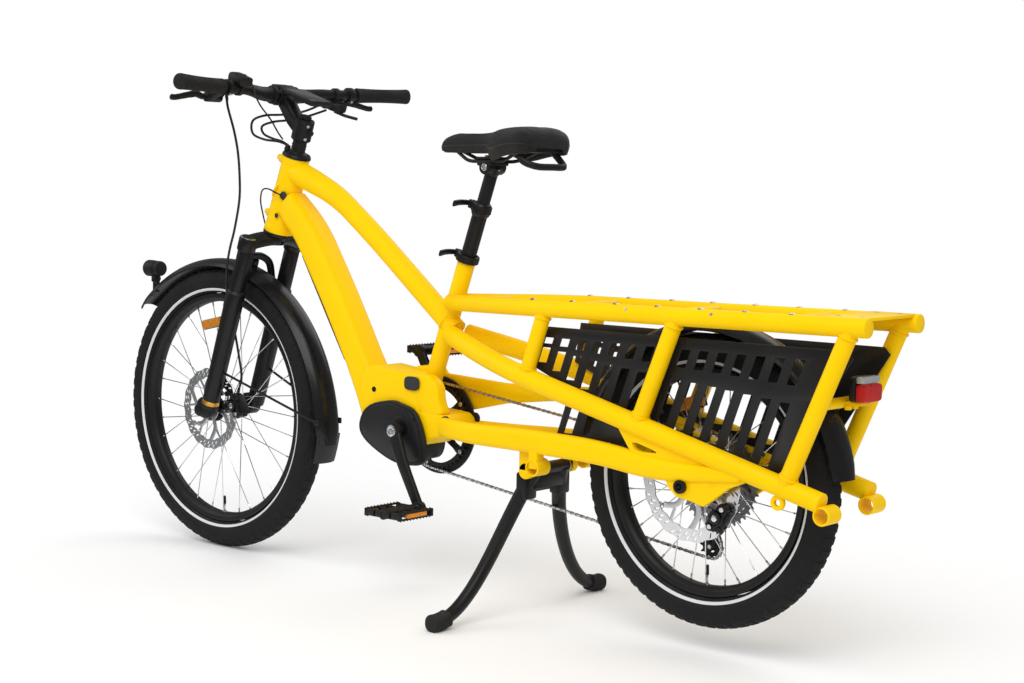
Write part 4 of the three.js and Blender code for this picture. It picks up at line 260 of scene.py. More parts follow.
class Shape:
    """Faces gathered in the bicycle's frame until they become one piece."""

    def __init__(self) -> None:
        """Starts with nothing."""
        self.points: list[Vector] = []
        self.faces: list[tuple[int, ...]] = []

    def add(self, points: Iterable[Vector], faces: Iterable[Sequence[int]]) -> "Shape":
        """Adds points and the faces between them, and returns the shape.

        Args:
            points: The points.
            faces: The faces' corners, counted from the first point.

        Returns:
            This shape.
        """
        base = len(self.points)
        self.points.extend(points)
        self.faces.extend(tuple(base + corner for corner in face) for face in faces)
        return self

    def loft(self, rings: Sequence[Sequence[Vector]], looped: bool = False) -> "Shape":
        """Joins rings of equal length, closed at both ends or round in a loop.

        Args:
            rings: The rings in order.
            looped: Whether the last ring joins the first.

        Returns:
            The shape.
        """
        count = len(rings[0])
        bands = len(rings) if looped else len(rings) - 1
        faces = []
        for band in range(bands):
            here, there = band * count, (band + 1) % len(rings) * count
            for side in range(count):
                after = (side + 1) % count
                faces.append((here + side, there + side, there + after, here + after))
        if not looped:
            last = (len(rings) - 1) * count
            faces += [tuple(range(count))[::-1], tuple(range(last, last + count))]
        return self.add((point for ring in rings for point in ring), faces)

    def sweep(self, path: Sequence[Vector], halves: Halves, sides: int = 28, rounding: float = 1.0,
              reference: Vector = LATERAL, bevel: float = 0.0) -> "Shape":
        """A tube through a row of points.

        Args:
            path: The middle line.
            halves: Half width and half height at each point, or one pair for all.
            sides: Points in each ring.
            rounding: 1 for round, less for squarer.
            reference: The direction that the width keeps to.
            bevel: How much the ends are rounded off.

        Returns:
            The shape.
        """
        rings = []
        last = len(path) - 1
        for index, point in enumerate(path):
            along = (path[min(index + 1, last)] - path[max(index - 1, 0)]).normalized()
            across, upward = across_of(along, reference)
            half, rise = halves[min(index, len(halves) - 1)]
            if bevel and index in (0, last):
                inward = along * bevel * (1 if index == 0 else -1)
                narrow = oval(point, across, upward, half - bevel, rise - bevel, sides, rounding)
                middle = oval(point + inward * 0.3, across, upward, half - bevel * 0.3,
                              rise - bevel * 0.3, sides, rounding)
                wide = oval(point + inward, across, upward, half, rise, sides, rounding)
                rings += [narrow, middle, wide] if index == 0 else [wide, middle, narrow]
            else:
                rings.append(oval(point, across, upward, half, rise, sides, rounding))
        return self.loft(rings)

    def turned(self, centre: Vector, profile: Outline, sides: int = 48, axis: Vector = LATERAL,
               looped: bool = False) -> "Shape":
        """A profile of radius and place along an axis, turned about that axis.

        Args:
            centre: Where the axis has its zero.
            profile: Pairs of radius and place along the axis.
            sides: Points in each ring.
            axis: The axis.
            looped: Whether the profile closes on itself.

        Returns:
            The shape.
        """
        across, upward = across_of(axis, VERTICAL)
        rings = [oval(centre + axis * along, across, upward, radius, radius, sides)
                 for radius, along in profile]
        return self.loft(rings, looped)

    def rod(self, start: Vector, end: Vector, radius: float, end_radius: float = 0.0,
            sides: int = 28, bevel: float = 1.0) -> "Shape":
        """A straight round bar with softened ends.

        Args:
            start: One end's middle.
            end: The other's.
            radius: The radius at the start.
            end_radius: The radius at the end, the same where it is 0.
            sides: Points in each ring.
            bevel: How much the ends are rounded off.

        Returns:
            The shape.
        """
        far = end_radius or radius
        length = (end - start).length
        profile = [
            (radius - bevel, 0), (radius - bevel * 0.3, bevel * 0.3), (radius, bevel),
            (far, length - bevel), (far - bevel * 0.3, length - bevel * 0.3), (far - bevel, length),
        ]
        return self.turned(start, profile, sides, (end - start).normalized())

    def pin(self, x: float, z: float, low: float, high: float, radius: float, sides: int = 28,
            bevel: float = 0.8) -> "Shape":
        """A round bar along Y between two sideways places."""
        return self.rod(at(x, low, z), at(x, high, z), radius, 0.0, sides, bevel)

    def pipe(self, start: Vector, end: Vector, outer: float, inner: float, sides: int = 32,
             bevel: float = 1.0) -> "Shape":
        """A round bar with a bore right through it.

        Args:
            start: One end's middle.
            end: The other's.
            outer: The outer radius.
            inner: The bore's radius.
            sides: Points in each ring.
            bevel: How much the outer edges are rounded off.

        Returns:
            The shape.
        """
        length = (end - start).length
        profile = [
            (inner, 0), (outer - bevel, 0), (outer, bevel), (outer, length - bevel),
            (outer - bevel, length), (inner, length),
        ]
        return self.turned(start, profile, sides, (end - start).normalized(), looped=True)

    def bevelled(self, other: "Shape", width: float = 1.2, steps: int = 2) -> "Shape":
        """Adds another shape with its sharp edges rounded.

        Args:
            other: The shape to round.
            width: How far from its edge the rounding begins.
            steps: Faces across it.

        Returns:
            This shape.
        """
        mesh = other.to_bmesh()
        round_edges(mesh, width, steps)
        mesh.verts.index_update()
        self.add([corner.co.copy() for corner in mesh.verts],
                 [[corner.index for corner in face.verts] for face in mesh.faces])
        mesh.free()
        return self

    def prism(self, outline: Outline, low: float, high: float, bevel: float = 1.2,
              steps: int = 2) -> "Shape":
        """A flat outline in X and Z, thick in Y, with rounded edges."""
        rings = [[at(x, y, z) for x, z in outline] for y in (low, high)]
        return self.bevelled(Shape().loft(rings), bevel, steps)

    def block(self, centre: Vector, half: Sequence[float], bevel: float = 1.2,
              along: Vector = FORWARD, upward: Vector = VERTICAL) -> "Shape":
        """A rounded block.

        Args:
            centre: Its middle.
            half: Half its length, width and height.
            bevel: How much its edges are rounded.
            along: The direction of its length.
            upward: The direction of its height.

        Returns:
            The shape.
        """
        across = upward.cross(along)
        corners = [(-1, -1), (1, -1), (1, 1), (-1, 1)]
        rings = [[
            centre + along * half[0] * a + across * half[1] * b + upward * half[2] * level
            for a, b in corners
        ] for level in (-1, 1)]
        return self.bevelled(Shape().loft(rings), bevel)

    def bolt(self, place: Vector, axis: Vector, radius: float, height: float = 3.0) -> "Shape":
        """A round screw head with a six-sided socket, standing on a place.

        Args:
            place: The middle of its foot.
            axis: The way that it looks.
            radius: Its radius.
            height: Its height.

        Returns:
            This shape.
        """
        socket = radius * 0.5
        self.turned(place, [
            (radius, 0), (radius, height * 0.6), (radius * 0.86, height), (socket, height),
        ], 20, axis)
        ring_low = place + axis * height * 0.35
        return self.turned(ring_low, [(socket, height * 0.66), (socket * 0.96, height * 0.1)], 6, axis)

    def torus(self, centre: Vector, axis: Vector, radius: float, thick: float, sides: int = 40,
              around: int = 10) -> "Shape":
        """A round ring, such as a weld bead."""
        profile = [(radius + thick * math.cos(math.tau * step / around),
                    thick * math.sin(math.tau * step / around)) for step in range(around)]
        return self.turned(centre, profile, sides, axis, looped=True)

    def moved(self, matrix: Matrix) -> "Shape":
        """Moves all of it, and returns it."""
        self.points = [matrix @ point for point in self.points]
        return self

    def steered(self, name: str, finish: "Finish", body: str = "steering", *replaces: str,
                angle: float = 34.0) -> bpy.types.Object:
        """Makes the finished piece of a shape that was drawn in the steering axis' frame."""
        return self.moved(STEER).piece(name, finish, body, replaces, angle)

    def to_bmesh(self) -> bmesh.types.BMesh:
        """The faces as an editable mesh, all looking outward.

        Returns:
            The mesh.
        """
        mesh = bmesh.new()
        corners = [mesh.verts.new(point) for point in self.points]
        for face in self.faces:
            mesh.faces.new([corners[corner] for corner in face])
        bmesh.ops.recalc_face_normals(mesh, faces=mesh.faces)
        return mesh

    def piece(self, name: str, finish: "Finish", body: str, replaces: Sequence[str] = (),
              angle: float = 34.0) -> bpy.types.Object:
        """Makes the finished piece.

        Args:
            name: The piece's name.
            finish: Its finish.
            body: The CAD body that it rides on.
            replaces: The CAD nodes that it stands for.
            angle: Edges sharper than this many degrees stay crisp.

        Returns:
            The piece.
        """
        for point in self.points:
            point[:] = into_scene(point)
        mesh = self.to_bmesh()
        data = bpy.data.meshes.new(name)
        mesh.to_mesh(data)
        mesh.free()
        return dressed(name, data, finish, body, replaces, angle)


def dressed(name: str, data: bpy.types.Mesh, finish: "Finish", body: str,
            replaces: Sequence[str] = (), angle: float = 34.0) -> bpy.types.Object:
    """Puts a mesh into the scene with its finish, on its body.

    Args:
        name: The piece's name.
        data: Its mesh, in metres.
        finish: Its finish.
        body: The CAD body that it rides on.
        replaces: The CAD nodes that it stands for.
        angle: Edges sharper than this many degrees stay crisp.

    Returns:
        The piece.
    """
    data.shade_smooth()
    data.set_sharp_from_angle(angle=math.radians(angle))
    data.materials.clear()
    data.materials.append(finish.material())
    piece = bpy.data.objects.new(name, data)
    bpy.context.scene.collection.objects.link(piece)
    if body:
        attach(piece, body)
    if replaces:
        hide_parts(*replaces)
    LOG.info("%s: %d faces", name, len(data.polygons))
    return piece


def softened(node: str, finish: "Finish", width: float) -> bpy.types.Object:
    """A CAD node's own form with its edges rounded, in place of the node.

    Args:
        node: The node's name.
        finish: The new piece's finish.
        width: How far from its edge the rounding begins, in millimetres.

    Returns:
        The piece.
    """
    mesh = bmesh.new()
    mesh.from_mesh(frame["nodes"][node].data)
    bmesh.ops.remove_doubles(mesh, verts=mesh.verts, dist=0.02 * MM)
    bmesh.ops.dissolve_limit(mesh, angle_limit=math.radians(1), verts=mesh.verts, edges=mesh.edges)
    round_edges(mesh, width * MM, 2)
    data = bpy.data.meshes.new(f"{node}_shell")
    mesh.to_mesh(data)
    mesh.free()
    return dressed(f"{node}_shell", data, finish, body_of(node), [node])


# Finishes
class Slot(Enum):
    """The record's material slots."""

    PAINT = "paint"
    BLACK_METAL = "black_metal"
    BLACK_PLASTIC = "black_plastic"
    FENDER = "fender_gloss"
    TYRE = "tyre"
    STEEL = "steel"
    GRIP = "grip_rubber"
    SADDLE = "saddle_cover"
    LENS = "lamp_lens"


class Texture(Enum):
    """What a surface's fine relief is made of."""

    GRAIN = "grain"
    HIDE = "hide"
    BRUSHED = "brushed"
    RIBBED = "ribbed"


class Tree:
    """A node tree under construction."""

    def __init__(self, tree: bpy.types.NodeTree) -> None:
        """Takes the tree to build in."""
        self.tree = tree

    def node(self, kind: str, **values: object) -> bpy.types.Node:
        """Adds a node and sets its properties.

        Args:
            kind: The node's type.
            **values: Its properties.

        Returns:
            The node.
        """
        made = self.tree.nodes.new(kind)
        for name, value in values.items():
            setattr(made, name, value)
        return made

    def link(self, source: Socket, target: Socket) -> None:
        """Joins two sockets."""
        self.tree.links.new(source, target)

    def feed(self, target: Socket, value: object) -> None:
        """Sets a socket to a number or joins another socket to it.

        Args:
            target: The socket to set.
            value: A socket or a number.
        """
        if isinstance(value, (int, float)):
            target.default_value = value
        else:
            self.link(value, target)

    def math(self, operation: str, first: object, second: object, clamp: bool = False) -> Socket:
        """A Math node on two sockets or numbers, as its output socket.

        Args:
            operation: What it works out.
            first: A socket or a number.
            second: A socket or a number.
            clamp: Whether the result stays within 0 and 1.

        Returns:
            The output socket.
        """
        made = self.node("ShaderNodeMath", operation=operation, use_clamp=clamp)
        for socket, value in zip(made.inputs, (first, second)):
            self.feed(socket, value)
        return made.outputs[0]

    def noise(self, vector: Socket, scale: object, detail: float = 3.0, rough: float = 0.55) -> Socket:
        """A noise texture's factor, as a socket.

        Args:
            vector: The place.
            scale: A socket or a number.
            detail: Its octaves.
            rough: How much the fine ones count.

        Returns:
            The output socket.
        """
        made = self.node("ShaderNodeTexNoise")
        for name, value in (("Detail", detail), ("Roughness", rough), ("Vector", vector), ("Scale", scale)):
            self.feed(made.inputs[name], value)
        return made.outputs["Fac"]

    def spread(self, value: object, low: float, high: float, to_low: float = 0.0,
               to_high: float = 1.0) -> Socket:
        """A Map Range node from one range to another, as its output socket.

        Args:
            value: A socket or a number.
            low: Where the first range starts.
            high: Where it ends.
            to_low: Where the second starts.
            to_high: Where it ends.

        Returns:
            The output socket.
        """
        made = self.node("ShaderNodeMapRange")
        for name, number in (("Value", value), ("From Min", low), ("From Max", high),
                             ("To Min", to_low), ("To Max", to_high)):
            self.feed(made.inputs[name], number)
        return made.outputs["Result"]

    def stretched(self, vector: Socket, **values: tuple[float, float, float]) -> Socket:
        """A Mapping node with some of its inputs set, as its output socket.

        Args:
            vector: The place.
            **values: The node's inputs.

        Returns:
            The output socket.
        """
        made = self.node("ShaderNodeMapping")
        for name, value in values.items():
            made.inputs[name].default_value = value
        self.link(vector, made.inputs["Vector"])
        return made.outputs["Vector"]

    def mix(self, factor: object, first: object, second: object) -> Socket:
        """A colour mix, as its output socket.

        Args:
            factor: How much of the second colour.
            first: A colour or a socket.
            second: A colour or a socket.

        Returns:
            The output socket.
        """
        made = self.node("ShaderNodeMix", data_type="RGBA")
        self.link(factor, made.inputs[0])
        for socket, value in zip((made.inputs[6], made.inputs[7]), (first, second)):
            if isinstance(value, tuple):
                socket.default_value = (*value, 1.0)
            else:
                self.link(value, socket)
        return made.outputs[2]


class Effects:
    """The node groups that the finishes share, each made once."""

    def __init__(self) -> None:
        """Makes the groups."""
        self.mottle = self._group("ToneDrift", "Scale", 8.0, "Tone", self._mottle)
        self.relief = {
            texture: self._group(name, "Scale", scale, "Height", make)
            for texture, name, scale, make in (
                (Texture.GRAIN, "MouldGrain", 600.0, self._grain),
                (Texture.HIDE, "HideCells", 500.0, self._hide),
                (Texture.BRUSHED, "BrushStreaks", 900.0, self._brushed),
                (Texture.RIBBED, "RubberKnurl", 400.0, self._ribbed),
            )
        }
        self.scuffs = self._group("HandlingMarks", "Amount", 0.2, "Mask", self._scuffs)
        self.dust = self._group("SettledDust", "Amount", 0.2, "Mask", self._dust)

    @staticmethod
    def _group(name: str, knob: str, value: float, result: str,
               make: Callable[[Tree, Socket, Socket], Socket]) -> bpy.types.NodeTree:
        """A shader node group with a place and one number going in, and one value coming out.

        Args:
            name: The group's name.
            knob: The number input's name.
            value: The number that it starts with.
            result: The output's name.
            make: Builds the nodes from the two inputs and returns the socket to put out.

        Returns:
            The group.
        """
        group = bpy.data.node_groups.new(name, "ShaderNodeTree")
        sockets = group.interface
        sockets.new_socket("Vector", in_out="INPUT", socket_type="NodeSocketVector")
        sockets.new_socket(knob, in_out="INPUT", socket_type="NodeSocketFloat").default_value = value
        sockets.new_socket(result, in_out="OUTPUT", socket_type="NodeSocketFloat")
        tree = Tree(group)
        start, end = tree.node("NodeGroupInput"), tree.node("NodeGroupOutput")
        tree.link(make(tree, start.outputs["Vector"], start.outputs[knob]), end.inputs[result])
        return group

    @staticmethod
    def _mottle(tree: Tree, where: Socket, scale: Socket) -> Socket:
        """Slow changes of tone, from 0 to 1."""
        return tree.spread(tree.noise(where, scale, 4.0), 0.3, 0.7)

    @staticmethod
    def _grain(tree: Tree, where: Socket, scale: Socket) -> Socket:
        """The fine pebbling of paint or moulded plastic."""
        return tree.noise(where, scale, 2.0, 0.6)

    @staticmethod
    def _hide(tree: Tree, where: Socket, scale: Socket) -> Socket:
        """Leathery cells with soft borders.

        Args:
            tree: The group's tree.
            where: The place on the surface.
            scale: How fine the relief is.

        Returns:
            The output socket.
        """
        cells = tree.node("ShaderNodeTexVoronoi", feature="DISTANCE_TO_EDGE")
        tree.link(where, cells.inputs["Vector"])
        tree.link(scale, cells.inputs["Scale"])
        edges = tree.spread(cells.outputs["Distance"], 0.0, 0.18)
        fine = tree.noise(where, scale, 2.0)
        return tree.math("ADD", edges, tree.math("MULTIPLY", fine, 0.35))

    @staticmethod
    def _brushed(tree: Tree, where: Socket, scale: Socket) -> Socket:
        """Streaks drawn out along Y, as a lathe or a brush leaves them."""
        return tree.noise(tree.stretched(where, Scale=(1.0, 0.06, 1.0)), scale)

    @staticmethod
    def _ribbed(tree: Tree, where: Socket, scale: Socket) -> Socket:
        """A small diamond knurl over pebbled rubber.

        Args:
            tree: The group's tree.
            where: The place on the surface.
            scale: How fine the relief is.

        Returns:
            The output socket.
        """
        waves = []
        for turn in (0.7, -0.7):
            leaning = tree.stretched(where, Rotation=(0.0, turn, turn))
            wave = tree.node("ShaderNodeTexWave", bands_direction="X")
            tree.link(leaning, wave.inputs["Vector"])
            tree.link(scale, wave.inputs["Scale"])
            waves.append(wave.outputs["Fac"])
        both = tree.math("MULTIPLY", *waves)
        fine = tree.noise(where, 1500.0, 2.0)
        return tree.math("ADD", both, tree.math("MULTIPLY", fine, 0.4))

    @staticmethod
    def _scuffs(tree: Tree, where: Socket, amount: Socket) -> Socket:
        """Thin handling marks, 1 where there is one.

        Args:
            tree: The group's tree.
            where: The place on the surface.
            amount: How strong the mask is.

        Returns:
            The output socket.
        """
        drawn = tree.stretched(where, Scale=(1.0, 2.2, 4.5), Rotation=(0.4, 0.3, 0.9))
        long = tree.spread(tree.noise(drawn, 60.0, 6.0, 0.7), 0.62, 0.72)
        patch = tree.spread(tree.noise(where, 11.0, 2.0), 0.5, 0.66)
        return tree.math("MULTIPLY", tree.math("MULTIPLY", long, patch), amount, True)

    @staticmethod
    def _dust(tree: Tree, where: Socket, amount: Socket) -> Socket:
        """A thin film on what looks up, 1 where it is thickest.

        Args:
            tree: The group's tree.
            where: The place on the surface.
            amount: How strong the mask is.

        Returns:
            The output socket.
        """
        surface = tree.node("ShaderNodeNewGeometry")
        parts = tree.node("ShaderNodeSeparateXYZ")
        tree.link(surface.outputs["Normal"], parts.inputs[0])
        facing = tree.spread(parts.outputs["Z"], 0.1, 1.0)
        patches = tree.spread(tree.noise(where, 26.0, 5.0, 0.65), 0.35, 0.75)
        return tree.math("MULTIPLY", tree.math("MULTIPLY", facing, patches), amount, True)


EFFECTS = Effects()
DUST_COLOUR = (0.36, 0.34, 0.31)
COAT_ROUGHNESS = 0.12
# How far the gloss follows the tone, and how much marks and dust dull it
TONE_ROUGHNESS = 0.12
MARK_ROUGHNESS = 0.25
DUST_ROUGHNESS = 0.3
# The bump's strength for a relief of 1
RELIEF_GAIN = 4.0
MADE: dict[str, bpy.types.Material] = {}


def grey(tone: float) -> tuple[float, float, float]:
    """A colour with nothing but tone."""
    return tone, tone, tone


@dataclass(frozen=True)
class Finish:
    """One surface finish: its colour, gloss and fine relief."""

    name: str
    slot: Slot
    colour: tuple[float, float, float]
    roughness: float = 0.5
    metallic: float = 0.0
    coat: float = 0.0
    sheen: float = 0.0
    tone: float = 0.12
    tone_scale: float = 9.0
    texture: Texture = Texture.GRAIN
    texture_scale: float = 700.0
    relief: float = 0.05
    relief_depth: float = 0.0004
    marks: float = 0.2
    mark_colour: tuple[float, float, float] = (0.2, 0.2, 0.2)
    dust: float = 0.12
    clear: float = 0.0
    glow: float = 0.0
    shine: float = 0.4

    def material(self) -> bpy.types.Material:
        """The finish as a material, made once."""
        if self.name not in MADE:
            MADE[self.name] = self._make()
        return MADE[self.name]

    def _make(self) -> bpy.types.Material:
        """Builds the node tree.

        Returns:
            The material.
        """
        material = bpy.data.materials.new(self.name)
        material.use_nodes = True
        material.node_tree.nodes.clear()
        tree = Tree(material.node_tree)
        shader = tree.node("ShaderNodeBsdfPrincipled")
        output = tree.node("ShaderNodeOutputMaterial")
        tree.link(shader.outputs[0], output.inputs["Surface"])
        where = tree.node("ShaderNodeTexCoord").outputs["Object"]
        tone = self._effect(tree, EFFECTS.mottle, where, Scale=self.tone_scale)
        marks = self._effect(tree, EFFECTS.scuffs, where, Amount=self.marks)
        dust = self._effect(tree, EFFECTS.dust, where, Amount=self.dust)
        relief = self._effect(tree, EFFECTS.relief[self.texture], where, Scale=self.texture_scale)
        light = tuple(min(1.0, part * (1 + self.tone)) for part in self.colour)
        dark = tuple(part * (1 - self.tone) for part in self.colour)
        colour = tree.mix(tone, dark, light)
        colour = tree.mix(marks, colour, self.mark_colour)
        colour = tree.mix(dust, colour, DUST_COLOUR)
        tree.link(colour, shader.inputs["Base Color"])
        rough = tree.spread(tone, 0, 1, self.roughness * (1 - TONE_ROUGHNESS),
                            self.roughness * (1 + TONE_ROUGHNESS))
        rough = tree.math("ADD", rough, tree.math("MULTIPLY", marks, MARK_ROUGHNESS))
        rough = tree.math("ADD", rough, tree.math("MULTIPLY", dust, DUST_ROUGHNESS), True)
        tree.link(rough, shader.inputs["Roughness"])
        bump = tree.node("ShaderNodeBump")
        bump.inputs["Strength"].default_value = min(1.0, self.relief * RELIEF_GAIN)
        bump.inputs["Distance"].default_value = self.relief_depth
        tree.link(relief, bump.inputs["Height"])
        tree.link(bump.outputs[0], shader.inputs["Normal"])
        constants = {
            "Metallic": self.metallic, "Coat Weight": self.coat, "Coat Roughness": COAT_ROUGHNESS,
            "Sheen Weight": self.sheen, "Transmission Weight": self.clear,
            "Specular IOR Level": self.shine,
        }
        for socket, value in constants.items():
            shader.inputs[socket].default_value = value
        if self.glow:
            shader.inputs["Emission Color"].default_value = (*self.colour, 1.0)
            shader.inputs["Emission Strength"].default_value = self.glow
        return material

    @staticmethod
    def _effect(tree: Tree, group: bpy.types.NodeTree, where: Socket, **values: float) -> Socket:
        """Places a shared group with this material's own values, as its output socket.

        Args:
            tree: The material's tree.
            group: The group.
            where: The place on the surface.
            **values: The group's inputs for this material.

        Returns:
            The output socket.
        """
        made = tree.node("ShaderNodeGroup", node_tree=group)
        tree.link(where, made.inputs["Vector"])
        for name, value in values.items():
            made.inputs[name].default_value = value
        return made.outputs[0]


PAINT = Finish(
    "yellow_powder_coat", Slot.PAINT, (1.0, 0.62, 0.0), roughness=0.42, coat=0.04, tone=0.03,
    texture_scale=900, relief=0.05, relief_depth=0.00025, marks=0.1, mark_colour=(0.75, 0.38, 0.0),
    dust=0.0, shine=0.08,
)
SATIN = Finish(
    "black_anodised", Slot.BLACK_METAL, (0.01, 0.01, 0.0105), roughness=0.42, metallic=0.1,
    tone=0.2, marks=0.4, mark_colour=grey(0.05), texture=Texture.BRUSHED,
    texture_scale=900, relief=0.04, dust=0.03, shine=0.3,
)
GLOSSY_METAL = Finish(
    "fork_black_enamel", Slot.BLACK_METAL, (0.008, 0.008, 0.0085), roughness=0.36, coat=0.08,
    tone=0.15, relief=0.01, marks=0.25, mark_colour=grey(0.035), dust=0.02, shine=0.25,
)
PLASTIC = Finish(
    "moulded_black", Slot.BLACK_PLASTIC, (0.011, 0.011, 0.0115), roughness=0.5, tone=0.18, shine=0.3,
    texture_scale=1100, relief=0.16, relief_depth=0.0002, marks=0.35,
    mark_colour=grey(0.07), dust=0.1,
)
PANEL = Finish(
    "side_panel_black", Slot.BLACK_PLASTIC, (0.012, 0.012, 0.0125), roughness=0.36, tone=0.15,
    texture_scale=1300, relief=0.1, relief_depth=0.00015, marks=0.3,
    mark_colour=grey(0.06), dust=0.05,
)
MUDGUARD = Finish(
    "mudguard_gloss", Slot.FENDER, (0.008, 0.008, 0.0085), roughness=0.27, coat=0.12, tone=0.12,
    relief=0.01, marks=0.3, mark_colour=grey(0.03), dust=0.03, shine=0.3,
)
TYRE_RUBBER = Finish(
    "tyre_rubber", Slot.TYRE, (0.01, 0.01, 0.0105), roughness=0.8, tone=0.3, tone_scale=14,
    texture_scale=1100, relief=0.2, relief_depth=0.0003, marks=0.4,
    mark_colour=(0.035, 0.034, 0.032), dust=0.08, shine=0.25,
)
REFLEX = Finish(
    "reflex_band", Slot.TYRE, (0.72, 0.74, 0.76), roughness=0.35, tone=0.06, marks=0.3,
    texture_scale=2400, relief=0.12, mark_colour=(0.45, 0.46, 0.48), dust=0.1,
)
STEEL = Finish(
    "brushed_steel", Slot.STEEL, (0.58, 0.59, 0.61), roughness=0.3, metallic=1.0, tone=0.1,
    texture=Texture.BRUSHED, texture_scale=1300, relief=0.08, marks=0.5,
    mark_colour=(0.36, 0.36, 0.37), dust=0.06,
)
BRIGHT = Finish(
    "polished_steel", Slot.STEEL, (0.72, 0.73, 0.75), roughness=0.18, metallic=1.0, tone=0.08,
    texture=Texture.BRUSHED, texture_scale=1600, relief=0.03, marks=0.4,
    mark_colour=grey(0.5), dust=0.03,
)
CHAIN_STEEL = Finish(
    "chain_steel", Slot.STEEL, (0.62, 0.61, 0.6), roughness=0.3, metallic=1.0, tone=0.25,
    tone_scale=40, texture=Texture.BRUSHED, texture_scale=1500, relief=0.06, marks=0.6,
    mark_colour=(0.12, 0.1, 0.08), dust=0.04,
)
COG_STEEL = Finish(
    "cog_steel", Slot.STEEL, (0.2, 0.2, 0.21), roughness=0.36, metallic=1.0, tone=0.2,
    tone_scale=30, texture=Texture.BRUSHED, texture_scale=1500, relief=0.06, marks=0.6,
    mark_colour=(0.08, 0.07, 0.06), dust=0.05,
)
GRIP = Finish(
    "grip_rubber", Slot.GRIP, (0.012, 0.012, 0.012), roughness=0.78, tone=0.15,
    texture=Texture.RIBBED, texture_scale=260, relief=0.2, relief_depth=0.0006, marks=0.2,
    mark_colour=grey(0.04), dust=0.12,
)
HOSE = Finish(
    "hose_jacket", Slot.GRIP, (0.01, 0.01, 0.0105), roughness=0.4, tone=0.12, texture_scale=1800,
    relief=0.04, marks=0.3, mark_colour=grey(0.05), dust=0.06,
)
HIDE = Finish(
    "saddle_cover", Slot.SADDLE, (0.01, 0.01, 0.0105), roughness=0.5, sheen=0.04, tone=0.2, shine=0.3,
    texture=Texture.HIDE, texture_scale=620, relief=0.16, relief_depth=0.0005, marks=0.3,
    mark_colour=grey(0.045), dust=0.12,
)
HIDE_SMOOTH = Finish(
    "saddle_side_panel", Slot.SADDLE, (0.011, 0.011, 0.0115), roughness=0.38, sheen=0.1, tone=0.15,
    texture=Texture.HIDE, texture_scale=1300, relief=0.1, relief_depth=0.0003, marks=0.2,
    mark_colour=grey(0.04), dust=0.06,
)
RED_LENS = Finish(
    "tail_lens", Slot.LENS, (0.55, 0.004, 0.003), roughness=0.3, coat=0.15, tone=0.2, tone_scale=60,
    texture=Texture.RIBBED, texture_scale=500, relief=0.3, relief_depth=0.0008, marks=0.1,
    mark_colour=(0.3, 0.02, 0.02), dust=0.04, glow=0.12,
)
CLEAR_LENS = Finish(
    "clear_lens", Slot.LENS, (0.86, 0.88, 0.9), roughness=0.08, coat=0.5, tone=0.05,
    texture=Texture.RIBBED, texture_scale=500, relief=0.1, marks=0.1,
    mark_colour=grey(0.7), dust=0.04, clear=0.55,
)
AMBER = Finish(
    "amber_reflector", Slot.LENS, (1.0, 0.3, 0.01), roughness=0.3, coat=0.2, tone=0.25,
    tone_scale=200, texture=Texture.RIBBED, texture_scale=900, relief=0.3, relief_depth=0.0006,
    marks=0.1, mark_colour=(0.6, 0.2, 0.02), dust=0.05,
)
GLASS = Finish(
    "screen_glass", Slot.BLACK_PLASTIC, (0.006, 0.007, 0.009), roughness=0.06, coat=0.8, tone=0.1,
    relief=0.004, marks=0.1, mark_colour=grey(0.03), dust=0.08,
)
GOLD = Finish(
    "amber_band", Slot.STEEL, (0.7, 0.38, 0.06), roughness=0.3, metallic=1.0, tone=0.1,
    texture=Texture.BRUSHED, relief=0.05, marks=0.2, mark_colour=(0.4, 0.2, 0.03), dust=0.04,
)
PORT = Finish(
    "port_rubber", Slot.BLACK_PLASTIC, (0.03, 0.031, 0.033), roughness=0.66, tone=0.12,
    texture_scale=1400, relief=0.15, marks=0.2, mark_colour=grey(0.07), dust=0.12,
)


# Places shared by several sub-assemblies
FRONT_AXLE = at(1298.7, 0, 310.5)
REAR_AXLE = at(0, 0, 302.2)
HEAD_FOOT = at(1124.1, 0, 706)
HEAD_TOP = at(1070.7, 0, 863.7)
STEER_UP = (HEAD_TOP - HEAD_FOOT).normalized()
STEER_FORWARD = at(STEER_UP.z, 0, -STEER_UP.x)
HEAD_LENGTH = (HEAD_TOP - HEAD_FOOT).length
STEER = Matrix((
    (STEER_FORWARD.x, 0, STEER_UP.x, HEAD_FOOT.x), (0, 1, 0, 0),
    (STEER_FORWARD.z, 0, STEER_UP.z, HEAD_FOOT.z), (0, 0, 0, 1),
))
SEAT_TOP = at(577.5, 0, 673.8)
SEAT_FOOT = at(674, 0, 401)
SEAT_UP = (SEAT_TOP - SEAT_FOOT).normalized()
SEAT_FORWARD = at(SEAT_UP.z, 0, -SEAT_UP.x)
CRANK = at(702, 0, 326)


def steer(forward: float, left: float, up: float) -> Vector:
    """A place given forward, left and up along the steering axis from the head tube's foot."""
    return STEER @ at(forward, left, up)


def into_steer(place: Vector) -> Vector:
    """The same place measured in the frame of the steering axis."""
    return STEER.inverted() @ place


def seat(ahead: float, left: float, up: float) -> Vector:
    """A place given ahead, left and up along the seat tube from its top."""
    return SEAT_TOP + SEAT_FORWARD * ahead + SEAT_UP * up + LATERAL * left


def round_spot(centre: "Vector | Sprocket", reach: float, angle: float, y: float) -> Vector:
    """A place on a circle about a line along Y, its angle in radians from forward."""
    return at(centre.x + reach * math.cos(angle), y, centre.z + reach * math.sin(angle))


def around(centre: Vector, radius: float, degrees: float, y: float = 0.0) -> Vector:
    """A place on a circle about a line along Y, its angle in degrees from forward."""
    return round_spot(centre, radius, math.radians(degrees), y)


def spoke_way(turn: float) -> Vector:
    """The direction from a wheel's middle at one angle."""
    return at(math.cos(turn), 0, math.sin(turn))


